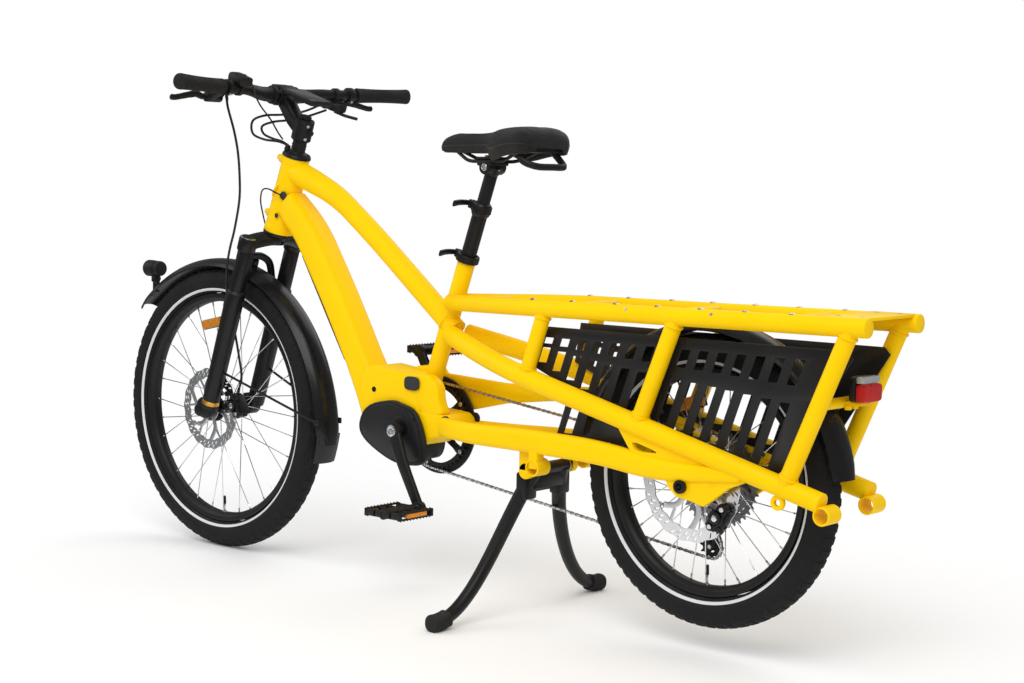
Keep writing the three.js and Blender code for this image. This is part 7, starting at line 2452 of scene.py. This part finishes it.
    def _cage(self) -> None:
        """The two cut-out cage plates and their bolts."""
        guide, tension = self.line.wheels[2:]
        direction = (tension.centre - guide.centre).normalized()
        upward = at(-direction.z, 0, direction.x)
        cage, bolts = Shape(), Shape()
        for side in SIDES:
            face = LATERAL * side * self.cage_half
            for bow in (-1, 1):
                path = smooth([guide.centre + face - upward * bow * 2,
                               guide.centre + face + upward * bow * 6.4 + direction * 8,
                               (guide.centre + tension.centre) / 2 + face + upward * bow * 4.6,
                               tension.centre + face + upward * bow * 6.4 - direction * 8,
                               tension.centre + face - upward * bow * 2], 6)
                cage.sweep(path, [(2.6, 0.85)], 16, 0.6, upward)
            for wheel in (guide, tension):
                low, high = wheel.centre + face - LATERAL * 0.8, wheel.centre + face + LATERAL * 0.8
                cage.rod(low, high, 8.6, sides=32, bevel=0.3)
                bolts.bolt(wheel.centre + face + LATERAL * side * 0.8, LATERAL * side, 4, 1.6)
        for wheel in (guide, tension):
            cage.rod(wheel.centre - LATERAL * 5.2, wheel.centre + LATERAL * 5.2, 3, sides=20, bevel=0.2)
        cage.piece("gear_cage", SATIN, "cage", ["derailleur_cage"])
        bolts.piece("gear_cage_bolts", STEEL, "cage")

    def _derailleur(self) -> None:
        """The hanger bolt, the two links between the knuckles, the barrel and its spring cover."""
        gear = Shape()
        high, low = self.high_knuckle, self.low_knuckle
        gear.rod(high - LATERAL * 84, high - LATERAL * 65, 13, sides=40, bevel=2.5)
        gear.rod(low - LATERAL * 84, low - LATERAL * 63.7, 12.6, sides=40, bevel=2.5)
        for shift in (-6, 6):
            offset = at(shift * 0.75, 0, shift * 0.66)
            gear.sweep([high + offset - LATERAL * 74, (high + low) / 2 + offset * 1.2 - LATERAL * 77,
                        low + offset - LATERAL * 75], [(6, 3.4)], 24, 0.6, bevel=0.8)
        gear.block(at(-18, -72, 276), (7, 9, 5), 2)
        gear.rod(at(-24, -74, 262), at(-38, -74, 262), 4.4, 3.6, 24, 0.8)
        gear.rod(high - LATERAL * 65.5, high - LATERAL * 86, 5, sides=24)
        gear.piece("gear_mechanism", SATIN, "frame", ["derailleur"])
        bolts = Shape()
        bolts.bolt(high - LATERAL * 84, -LATERAL, 7, 3).bolt(low - LATERAL * 84, -LATERAL, 5, 2.4)
        bolts.bolt(at(-20, -81, 277), -LATERAL, 2.2, 1.4).bolt(at(-13, -81, 278), -LATERAL, 2.2, 1.4)
        bolts.piece("gear_bolts", STEEL, "frame")


@dataclass
class Cranks:
    """The crank arms and the pedals."""

    length: float = 165.5
    left_degrees: float = -120.8
    half_width: float = 46.0
    pedal_inner: float = 98.0
    rail_reach: float = 44.0
    rail_teeth: int = 10

    def build(self) -> None:
        """Makes both sides."""
        for side, label in zip(SIDES, ("left", "right")):
            self._arm(side, label)
            self._pedal(side, label)

    def _spot(self, side: int, reach: float, y: float) -> Vector:
        """A place along one arm."""
        angle = math.radians(self.left_degrees + (0 if side > 0 else 180))
        return round_spot(CRANK, reach, angle, side * y)

    def _arm(self, side: int, label: str) -> None:
        """A forged arm with its boss, its hollow back and the pedal's axle.

        Args:
            side: 1 on the left, -1 on the right.
            label: Left or right, as the names say it.
        """
        angle = math.radians(self.left_degrees)
        across = at(-math.sin(angle), 0, math.cos(angle))
        arm = Shape()
        path = smooth([self._spot(side, reach, y) for reach, y in (
            (0, 74), (30, 79), (62, 84), (110, 86.4), (self.length, 88))], 5)
        sizes = [(16 - 5 * step / (len(path) - 1), 6.5) for step in range(len(path))]
        arm.sweep(path, sizes, 32, 0.7, across, 2)
        ends = [self._spot(side, 0, 66), self._spot(side, 0, 81.6)]
        arm.rod(ends[0], ends[1], 19, sides=48, bevel=2)
        arm.rod(self._spot(side, self.length, 80), self._spot(side, self.length, 96), 13, sides=36, bevel=2)
        arm.rod(self._spot(side, self.length, 88), self._spot(side, self.length, 183.7), 5, bevel=0.5)
        if side > 0:
            arm.rod(self._spot(1, 0, 67), self._spot(1, 0, -71.7), 11.7, sides=32, bevel=0.8)
        arm.piece(f"crank_{label}", SATIN, "cranks", [f"crank_arm_{label}"])
        bolt = Shape()
        outward = LATERAL * side
        bolt.turned(self._spot(side, 0, 81.4), [
            (12, 0), (12, 0.8), (9, 1.4), (7.6, 0.6), (4.6, 0.4), (4.4, 1.6), (2, 1.8)], 36, outward)
        bolt.turned(self._spot(side, self.length, 95.6), [(8.6, 0), (8.6, 1), (7.4, 1.8), (5.2, 1.8)],
                    6, outward)
        bolt.piece(f"crank_bolts_{label}", STEEL, "cranks")

    def _pedal(self, side: int, label: str) -> None:
        """A caged platform pedal with serrated rails and two amber reflectors.

        Args:
            side: 1 on the left, -1 on the right.
            label: Left or right, as the names say it.
        """
        centre = self._spot(side, self.length, self.pedal_inner + self.half_width)
        cage, pins, amber = Shape(), Shape(), Shape()
        body = f"{label}_pedal"
        inner, outer = centre - LATERAL * self.half_width, centre + LATERAL * self.half_width
        cage.pipe(inner, outer, 10, 5.7, 36, 1.5)
        for way in SIDES:
            for y, wide in ((self.half_width - 5, 4.6), (self.half_width * 0.25, 3)):
                for reach in (12, 30):
                    spot = centre + at(way * reach, y, 0)
                    cage.block(spot, (13, wide, 6.6), 2)
                    cage.block(spot - LATERAL * 2 * y, (13, wide, 6.6), 2)
            rail = centre + at(way * self.rail_reach, 0, 0)
            for level in SIDES:
                cage.block(rail + VERTICAL * level * 6, (3.4, self.half_width, 1.7), 1)
            for y in (-self.half_width + 3, self.half_width - 3):
                cage.block(rail + LATERAL * y, (4, 3, 7.6), 1)
            for tooth in range(self.rail_teeth):
                y = -self.half_width + 6 + tooth * (2 * self.half_width - 12) / (self.rail_teeth - 1)
                for level in SIDES:
                    foot = rail + at(0, y, level * 7)
                    pins.rod(foot, foot + VERTICAL * level * 2.8, 1.8, 1.0, 8, 0.3)
            amber.block(centre + at(way * 46, 0, 0), (2.6, 27, 4.2), 1)
        cage.piece(f"pedal_cage_{label}", PLASTIC, body, [f"pedal_{label}"])
        pins.piece(f"pedal_pins_{label}", SATIN, body)
        amber.piece(f"pedal_reflectors_{label}", AMBER, body)


@dataclass
class Seat:
    """The telescoping posts with their clamps, and the saddle."""

    clamp_x: float = 518.0
    nose_x: float = 643.0
    rear_x: float = 378.0
    base_z: float = 881.3
    top_z: float = 922.0
    half_width: float = 76.0
    stations: Route = (
        (0, 0.1, 0.05), (0.01, 0.17, 0.3), (0.05, 0.22, 0.54), (0.14, 0.25, 0.71), (0.27, 0.28, 0.77),
        (0.4, 0.31, 0.76), (0.5, 0.4, 0.78), (0.58, 0.6, 0.84), (0.67, 0.84, 0.94),
        (0.78, 0.97, 1), (0.91, 1, 1), (0.96, 0.94, 0.92), (0.99, 0.79, 0.7), (1, 0.62, 0.45),
    )
    droop: float = 17.0
    section: Outline = (
        (0, 1), (0.18, 1), (0.36, 0.985), (0.52, 0.955), (0.66, 0.91), (0.78, 0.84), (0.88, 0.74),
        (0.95, 0.61), (0.99, 0.46), (1, 0.33), (1, 0.2), (0.99, 0.07), (0.96, -0.06), (0.93, -0.17),
        (0.9, -0.26), (0.83, -0.26), (0.78, 0),
    )

    def build(self) -> None:
        """Makes the posts, the clamps, the levers and the saddle."""
        self._clamp("seat_clamp", "frame_clamp_lever", "seat_clamp", "frame", "seat_clamp_lever",
                    -12, 3, 23, 17.9, -4.5)
        self._lower()
        self._upper()
        self._pad()
        self._under()

    def _clamp(self, name: str, lever_body: str, node: str, body: str, lever_node: str, low: float,
               high: float, radius: float, bore: float, lever_up: float) -> None:
        """A slotted collar with its lug and its quick-release lever.

        Args:
            name: The start of the pieces' names.
            lever_body: The body of the lever.
            node: The node that the collar replaces.
            body: The collar's body.
            lever_node: The node that the lever replaces.
            low: The collar's foot, up the seat tube's axis.
            high: Its top.
            radius: Its outer radius.
            bore: Its bore.
            lever_up: The lever's height.
        """
        middle = (low + high) / 2
        half = (high - low) / 2
        collar = Shape().pipe(seat(0, 0, low), seat(0, 0, high), radius, bore, 44, 1.6)
        for side in SIDES:
            collar.sweep([seat(bore + 1, side * 4.6, middle), seat(30, side * 4.6, middle)],
                         [(2.6, half)], 24, 0.3, bevel=0.8)
        collar.rod(seat(23, -8, middle), seat(23, 9, middle), 3.2, bevel=0.5)
        collar.piece(f"{name}_collar", SATIN, body, [node])
        path = smooth([seat(33.5, -7.5, lever_up), seat(33.5, 0, lever_up), seat(35.5, 12, lever_up),
                       seat(34.5, 30, lever_up), seat(28.5, 50, lever_up)], 5)
        sizes = [(4.6 + 1.6 * step / (len(path) - 1), 3) for step in range(len(path))]
        lever = Shape().sweep(path, sizes, 28, 0.7, SEAT_UP, 0.8)
        lever.rod(seat(33.5, -4, lever_up - 6), seat(33.5, -4, lever_up + 6), 5, sides=28)
        lever.piece(f"{name}_lever_arm", SATIN, lever_body, [lever_node])

    def _lower(self) -> None:
        """The lower post with its collar and lever."""
        post = Shape().pipe(seat(0, 0, -128), seat(0, 0, 100), 15, 13, 44, 0.6)
        post.turned(seat(0, 0, 0), [(13, 84), (16, 84), (17.5, 86), (18.5, 90), (13, 90)], 44, SEAT_UP,
                    looped=True)
        post.piece("lower_post_tube", SATIN, "lower_post", ["seatpost_lower"])
        self._clamp("post", "post_lever", "seatpost_lower", "lower_post", "post_clamp_lever",
                    90, 106, 20, 13.1, 98)
        seal = Shape().turned(seat(0, 0, 106), [(13, 0), (18, 0), (16.6, 3), (13.2, 4.6)], 40, SEAT_UP,
                              looped=True)
        seal.piece("post_wiper", HOSE, "lower_post")

    def _upper(self) -> None:
        """The upper post, its head and the two plates that hold the rails."""
        post = Shape().rod(seat(0, 0, 20), seat(0, 0, 182), 12.7, sides=44, bevel=0.6)
        post.turned(seat(0, 0, 0), [(12, 166), (14, 170), (16.5, 178), (17, 184), (14, 188)], 40, SEAT_UP)
        post.rod(at(self.clamp_x, -25, 846), at(self.clamp_x, 25, 846), 14.5, sides=44, bevel=3)
        post.block(at(self.clamp_x, 0, 853), (19, 26, 4.5), 3)
        post.block(at(self.clamp_x, 0, 858), (14, 15, 7), 2.5)
        post.block(at(self.clamp_x, 0, 863.3), (19.4, 27, 2.5), 1.6)
        for way in SIDES:
            x = self.clamp_x + way * 13
            post.rod(at(x, 0, 838), at(x, 0, 869), 3.4, sides=20, bevel=0.4)
        post.piece("upper_post_tube", SATIN, "upper_post", ["seatpost_upper"])
        bolts = Shape()
        for way in SIDES:
            x = self.clamp_x + way * 13
            bolts.bolt(at(x, 0, 841.4), -VERTICAL, 5, 3)
            bolts.turned(at(x, 0, 865.6), [(6, 0), (6, 2.6), (5, 3.6)], 24, VERTICAL)
        bolts.torus(at(self.clamp_x, 25, 846), LATERAL, 6, 1.4)
        bolts.bolt(at(self.clamp_x, 24.6, 846), LATERAL, 4, 1.2)
        bolts.piece("saddle_bolts", STEEL, "upper_post")

    def _stations(self) -> list[Vector]:
        """The stations with smooth ones between them."""
        return smooth([Vector(station) for station in self.stations], 5)

    @staticmethod
    def _wing(back: float, wide: float) -> float:
        """How far the wing's edge hangs at one place, as a share of its deepest."""
        return max(0.0, min(1.0, (wide - 0.4) / 0.25)) * math.exp(-((back - 0.62) / 0.15) ** 2)

    def _ring(self, back: float, wide: float, high: float, section: Outline, groove: float) -> list[Vector]:
        """One ring of the pad, the left half and its mirror image.

        Args:
            back: How far back it is, as a share of the length.
            wide: Its width's share.
            high: Its crown's share.
            section: The half section.
            groove: How deep the channel down the middle is.

        Returns:
            The ring.
        """
        x = self.nose_x + (self.rear_x - self.nose_x) * back
        half = []
        for across, rise in section:
            y = across * wide * self.half_width
            channel = groove * math.exp(-(y / 8.5) ** 2) if rise > 0.5 else 0
            seam = 0.9 * math.exp(-((across - 0.72) / 0.035) ** 2) if rise > 0.5 else 0
            wing = self._wing(back, wide) * max(0.0, min(1.0, (0.5 - rise) / 0.6))
            fall = self.droop * wing * across ** 2
            z = self.base_z + rise * high * (self.top_z - self.base_z) - channel - seam - fall
            half.append(at(x, y, z))
        return [*half, *(at(p.x, -p.y, p.z) for p in half[:0:-1])]

    def _pad(self) -> None:
        """The padded top with its channel, and the piping round its side."""
        fine = [tuple(point) for point in smooth([Vector((a, b, 0)) for a, b in self.section], 4)]
        section = [(a, b) for a, b, _ in fine]
        rings, piping = [], []
        for back, wide, high in self._stations():
            share = max(0.0, min(1.0, (back - 0.16) / 0.14)) * max(0.0, min(1.0, (0.97 - back) / 0.12))
            groove = 6.0 * share * share * (3 - 2 * share)
            rings.append(self._ring(back, wide, high, section, groove))
            x = self.nose_x + (self.rear_x - self.nose_x) * back
            fall = self.droop * self._wing(back, wide) * 0.5
            piping.append(at(x, wide * self.half_width * 0.995,
                             self.base_z + 0.2 * high * (self.top_z - self.base_z) - fall))
        pad = Shape().loft(rings).piece("saddle_pad", HIDE, "upper_post", ["saddle"], angle=60)
        bead = Shape()
        path = piping[6:-3]
        for side in SIDES:
            bead.sweep([at(p.x, side * p.y, p.z) for p in path], [(1.3, 1.3)], 12)
        bead.piece("saddle_piping", HIDE_SMOOTH, "upper_post")

    def _under(self) -> None:
        """The shell below the pad, the two rails and the lifting handle behind."""
        shell = Shape()
        rings = []
        for back, wide, _ in self._stations()[8:-8]:
            x = self.nose_x + (self.rear_x - self.nose_x) * back
            half = wide * 0.7 * self.half_width
            rings.append([at(x, a * half, self.base_z - 0.6 - b) for a, b in (
                (1, 0), (-1, 0), (-1, 3), (-0.86, 6.6), (-0.3, 7), (0.3, 7), (0.86, 6.6), (1, 3))])
        shell.loft(rings).piece("saddle_shell", PLASTIC, "upper_post", ["saddle_base"], angle=50)
        rails, handle = Shape(), Shape()
        for side in SIDES:
            route, _ = bent(places([(604, 8, 877), (562, 21, 857), (474, 21, 857), (428, 28, 877)], side),
                            [(3.5, 3.5)], 16, 6)
            rails.sweep(route, [(3.5, 3.5)], 20)
        rails.piece("saddle_rails", SATIN, "upper_post")
        left = [(412, 50, 877), (396, 56, 858), (376, 40, 848), (371, 0, 847)]
        handle.sweep(smooth(over(left), 8), [(6.5, 5.4)], 24, 0.8, VERTICAL)
        handle.piece("saddle_handle", PLASTIC, "upper_post")


@dataclass
class Stand:
    """The two-legged stand with its rubber feet."""

    tube: Vector = field(default_factory=lambda: at(365, 0, 284))
    tube_half: float = 57.0
    leg: Route = ((365, 38, 284), (417.6, 77, 175.9), (427, 142, 8), (429, 248, 16))
    steps: int = 28
    root_radius: float = 14.5
    taper: float = 2.6
    boot_radius: float = 16.4
    boot_share: float = 0.87

    def build(self) -> None:
        """Makes the legs, the feet and the washers."""
        legs = Shape()
        ends = LATERAL * self.tube_half
        legs.rod(self.tube - ends, self.tube + ends, 12, sides=36, bevel=1.2)
        for side in SIDES:
            shares = [step / self.steps for step in range(self.steps + 1)]
            path = [self._leg(side, share) for share in shares]
            radii = [(self.root_radius - self.taper * step / self.steps,) * 2
                     for step in range(self.steps + 1)]
            legs.sweep(path, radii, 32, 1, FORWARD, 1.0)
            legs.block(self._leg(side, 0.09), (13, 17, 26), 5)
        legs.block(at(371, 0, 262), (10, 42, 16), 4)
        legs.rod(at(378, -22, 246), at(378, 22, 246), 7, bevel=1)
        legs.piece("stand_tubes", SATIN, "stand", ["stand_legs"])
        for side, label in zip(SIDES, ("left", "right")):
            self._boot(side, label)
        hardware = Shape()
        for side in SIDES:
            hardware.bolt(at(self.tube.x, side * self.tube_half, self.tube.z), LATERAL * side, 7, 0.3)
            hardware.turned(at(self.tube.x, side * 50, self.tube.z), [
                (12.4, 0), (14.5, 0), (14.5, 2.4), (12.4, 2.4)], 32, looped=True)
        hardware.piece("stand_washers", STEEL, "stand")

    def _leg(self, side: int, share: float) -> Vector:
        """A place along one leg."""
        a, b, c, d = places(self.leg, side)
        rest = 1 - share
        return a * rest ** 3 + b * 3 * rest * rest * share + c * 3 * rest * share ** 2 + d * share ** 3

    def _boot(self, side: int, label: str) -> None:
        """A ribbed rubber foot, flat where it stands on the floor.

        Args:
            side: 1 on the left, -1 on the right.
            label: Left or right, as the names say it.
        """
        rows = 14
        route = [self._leg(side, self.boot_share + (1 - self.boot_share) * step / rows)
                 for step in range(rows + 1)]
        route.append(route[-1] + LATERAL * side * 3)
        rings = []
        for index, point in enumerate(route):
            before, after = route[max(index - 1, 0)], route[min(index + 1, len(route) - 1)]
            across, upward = across_of((after - before).normalized(), FORWARD)
            radius = self.boot_radius - (1.0 if index % 3 == 1 and 1 < index < 12 else 0)
            if index in (0, len(route) - 1):
                radius = self.boot_radius - (1.4 if index else 2.8)
            ring = oval(point, across, upward, radius, radius, 36, 0.85)
            for corner in ring:
                corner.z = max(corner.z, 0.2)
            rings.append(ring)
        Shape().loft(rings).piece(f"stand_boot_{label}", GRIP, "stand", [f"stand_foot_{label}"])


@dataclass
class Hoses:
    """The hoses and wires that hang free, each a cord."""

    front: Route = (
        (1128, 143, 985), (1118, 148, 962), (1108, 140, 915), (1107, 130, 870), (1113, 120, 820),
        (1124, 111, 772), (1150, 101, 712), (1176, 92, 668), (1192, 86, 630), (1203, 78, 590),
        (1218, 62, 555), (1222, 46, 520), (1217, 41, 480), (1205, 40, 430), (1195, 42, 390),
        (1199.2, 47, 356.4),
    )
    rear: Route = (
        (1134, -137, 984), (1142, -100, 968), (1130, -45, 957), (1122, 0, 953), (1130, 38, 950),
        (1144, 58, 938), (1150, 52, 912), (1132, 36, 900), (1106, 20, 896),
    )
    gear: Route = (
        (1112, -124, 968), (1124, -80, 953), (1127, -30, 943), (1128, 12, 938), (1136, 38, 928),
        (1134, 36, 912), (1116, 26, 902), (1102, 15, 897),
    )
    control: Route = (
        (1080, 119, 1016), (1082, 108, 998), (1090, 94, 982), (1103, 70, 966), (1106, 42, 942),
        (1098, 28, 915), (1091, 20, 900),
    )
    lamp: Route = (
        (1081, 31, 782), (1090, 40, 788), (1112, 43, 796), (1140, 34, 792), (1155, 25, 770),
        (1152, 22, 745), (1143, 22, 720), (1134, 22, 703),
    )

    def build(self) -> None:
        """Makes the cords, the grommet that two of them enter, and the hoses' ferrules."""
        top = steer(22, 10, HEAD_LENGTH + 18.6)
        end = [tuple(top)]
        self._cord("front_brake_line", self.front, 2.5, "", ["front_brake_hose"],
                   ("steering", "sliders", (1113, 120, 820), (1203, 78, 590)))
        self._cord("rear_brake_line", [*self.rear, *end], 2.5, "steering", ["bar_cables"])
        self._cord("gear_line", [*self.gear, *end], 2.5, "steering")
        self._cord("control_wire", self.control, 1.7, "steering")
        self._cord("lamp_wire", self.lamp, 1.6, "",
                   blend=("frame", "steering", (1090, 40, 788), (1152, 22, 745)))
        foot = steer(22, 10, HEAD_LENGTH + 8.6)
        Shape().turned(foot, [(4, 0), (7, 0), (7, 2), (6.2, 3), (6.2, 7), (5, 10), (3.4, 10)], 28,
                       STEER_UP).piece("cable_grommet", HOSE, "steering")
        for name, body, pairs in (
                ("hose_ferrules", "steering", (self.front[:2], self.rear[:2])),
                ("caliper_ferrule", "sliders", (self.front[:-3:-1],))):
            ends = Shape()
            for start, after in pairs:
                low = at(*start)
                along = (at(*after) - low).normalized()
                ends.rod(low - along * 2, low + along * 9, 3.6, 3.0, 20, 0.4)
            ends.piece(name, SATIN, body)

    @staticmethod
    def _cord(name: str, route: Route, radius: float, body: str, replaces: Sequence[str] = (),
              blend: tuple | None = None) -> None:
        """One cord along a smooth route, with its length put in the log.

        Args:
            name: The piece's name.
            route: The points of its middle line.
            radius: Its radius.
            body: The body that it rides on, empty where it runs between two bodies and then rides on none.
            replaces: The nodes that it stands for.
            blend: The two bodies it runs between and where the change starts and ends; where it is given,
                the cord's transform is baked into its mesh, and the two bodies and the two places go
                unused.
        """
        path = smooth(places(route), 8)
        line = Shape().sweep(path, [(radius, radius)], 14).piece(name, HOSE, body, replaces)
        length = sum((b - a).length for a, b in zip(path, path[1:])) * MM
        if blend:
            first, second, start, end = blend
            tuple(into_scene(at(*start)))
            tuple(into_scene(at(*end)))
            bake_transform(line)
        tuple(into_scene(path[0]))
        [tuple(into_scene(point)) for point in path]
        LOG.info("%s is %.0f mm long", name, length / MM)


@dataclass
class Studio:
    """The camera, the floor, the world and the soft lamps."""

    place: Vector = field(default_factory=lambda: at(-1758.86, 2591.11, 813.50))
    yaw: float = -0.8622
    pitch: float = -0.0872
    roll: float = 0.0174
    focal_share: float = 1793.49 / 1024
    sensor: float = 36.0
    fade: tuple[float, float] = (1.1, 2.0)
    world_light: float = 0.72
    mirrored_light: float = 0.2

    def build(self) -> None:
        """Sets up the picture."""
        self._camera()
        self._floor()
        self._world()
        self._lamp("key_softbox", (-1.6, 2.4, 3.2), 2.6, 66)
        self._lamp("fill_softbox", (2.6, 1.6, 2.2), 2.4, 20)
        self._lamp("back_softbox", (0.4, -2.8, 2.6), 2.6, 24)
        bpy.context.scene.view_settings.view_transform = "Standard"

    def _camera(self) -> None:
        """The camera at the photograph's place."""
        ahead = Vector((
            math.cos(self.yaw) * math.cos(self.pitch), math.sin(self.yaw) * math.cos(self.pitch),
            math.sin(self.pitch),
        ))
        flat_right = ahead.cross(VERTICAL).normalized()
        flat_up = flat_right.cross(ahead)
        right = flat_right * math.cos(self.roll) + flat_up * math.sin(self.roll)
        upward = flat_up * math.cos(self.roll) - flat_right * math.sin(self.roll)
        data = bpy.data.cameras.new("camera")
        data.sensor_width = self.sensor
        data.lens = self.focal_share * self.sensor
        data.clip_start, data.clip_end = 0.05, 60
        camera = bpy.data.objects.new("camera", data)
        bpy.context.scene.collection.objects.link(camera)
        camera.matrix_world = Matrix.Translation(into_scene(self.place)) @ Matrix(
            (right, upward, -ahead)).transposed().to_4x4()
        bpy.context.scene.camera = camera

    def _floor(self) -> None:
        """A pale floor that fades into the white behind it away from the bicycle."""
        data = bpy.data.meshes.new("floor")
        reach = 6
        data.from_pydata([(-reach, -reach, 0), (reach, -reach, 0), (reach, reach, 0),
                          (-reach, reach, 0)], [], [(0, 1, 2, 3)])
        material = bpy.data.materials.new("pale_floor")
        material.use_nodes = True
        material.node_tree.nodes.clear()
        tree = Tree(material.node_tree)
        matte = tree.node("ShaderNodeBsdfDiffuse")
        matte.inputs["Color"].default_value = (0.97, 0.97, 0.97, 1)
        clear = tree.node("ShaderNodeBsdfTransparent")
        place = tree.node("ShaderNodeTexCoord").outputs["Object"]
        length = tree.node("ShaderNodeVectorMath", operation="LENGTH")
        tree.link(place, length.inputs[0])
        blend = tree.node("ShaderNodeMixShader")
        tree.link(tree.spread(length.outputs["Value"], *self.fade), blend.inputs[0])
        tree.link(matte.outputs[0], blend.inputs[1])
        tree.link(clear.outputs[0], blend.inputs[2])
        tree.link(blend.outputs[0], tree.node("ShaderNodeOutputMaterial").inputs["Surface"])
        data.materials.append(material)
        floor = bpy.data.objects.new("floor", data)
        bpy.context.scene.collection.objects.link(floor)

    def _world(self) -> None:
        """Even pale light all round, white where the camera sees it."""
        world = bpy.data.worlds.new("studio")
        bpy.context.scene.world = world
        world.use_nodes = True
        tree = Tree(world.node_tree)
        world.node_tree.nodes.clear()
        rays = tree.node("ShaderNodeLightPath")
        seen = tree.math("MAXIMUM", rays.outputs["Is Camera Ray"], rays.outputs["Is Transmission Ray"])
        back = tree.node("ShaderNodeBackground")
        back.inputs["Color"].default_value = (1, 1, 1, 1)
        unseen = tree.spread(rays.outputs["Is Glossy Ray"], 0, 1, self.world_light, self.mirrored_light)
        tree.link(tree.math("MAXIMUM", unseen, seen), back.inputs["Strength"])
        output = tree.node("ShaderNodeOutputWorld")
        tree.link(back.outputs[0], output.inputs["Surface"])

    @staticmethod
    def _lamp(name: str, place: tuple[float, float, float], size: float, power: float) -> None:
        """A square soft lamp that looks at the bicycle's middle.

        Args:
            name: The lamp's name.
            place: Where it stands, in metres.
            size: Its side, in metres.
            power: Its power in watts.
        """
        data = bpy.data.lights.new(name, "AREA")
        data.size = size
        data.energy = power
        lamp = bpy.data.objects.new(name, data)
        bpy.context.scene.collection.objects.link(lamp)
        lamp.location = place
        lamp.rotation_euler = (Vector((0, 0, 0.4)) - lamp.location).to_track_quat("-Z", "Y").to_euler()


def dress_rest() -> None:
    """Gives each CAD node that still shows a plain finish."""
    for name, node in frame["nodes"].items():
        if not node.hide_render:
            node.material_slots[0].material = (PAINT if "frame" in name else PLASTIC).material()


def main() -> None:
    """Builds every sub-assembly in order."""
    logging.basicConfig(level=logging.INFO, format="%(name)s %(message)s")
    Studio().build()
    Wheel("front", "front_wheel", FRONT_AXLE, bead=253.5, hub_half=46.4, shell=15, flange=29,
          flange_left=26, flange_right=-32, rotor_radius=90, rotor_y=41.5, reflector=(188.6, 12)).build()
    Wheel("rear", "rear_wheel", REAR_AXLE, bead=203, hub_half=73.7, shell=17, flange=30,
          flange_left=40, flange_right=-20, rotor_radius=101.5, rotor_y=57, reflector=(140.6, 16.5)).build()
    for assembly in (MainFrame(), Rack(), Bodywork(), Fork(), Cockpit(), Stoppers(), Drivetrain(),
                     Cranks(), Seat(), Stand(), Hoses()):
        assembly.build()
        LOG.info("%s is built", type(assembly).__name__)
    dress_rest()


if __name__ == "__main__":
    main()
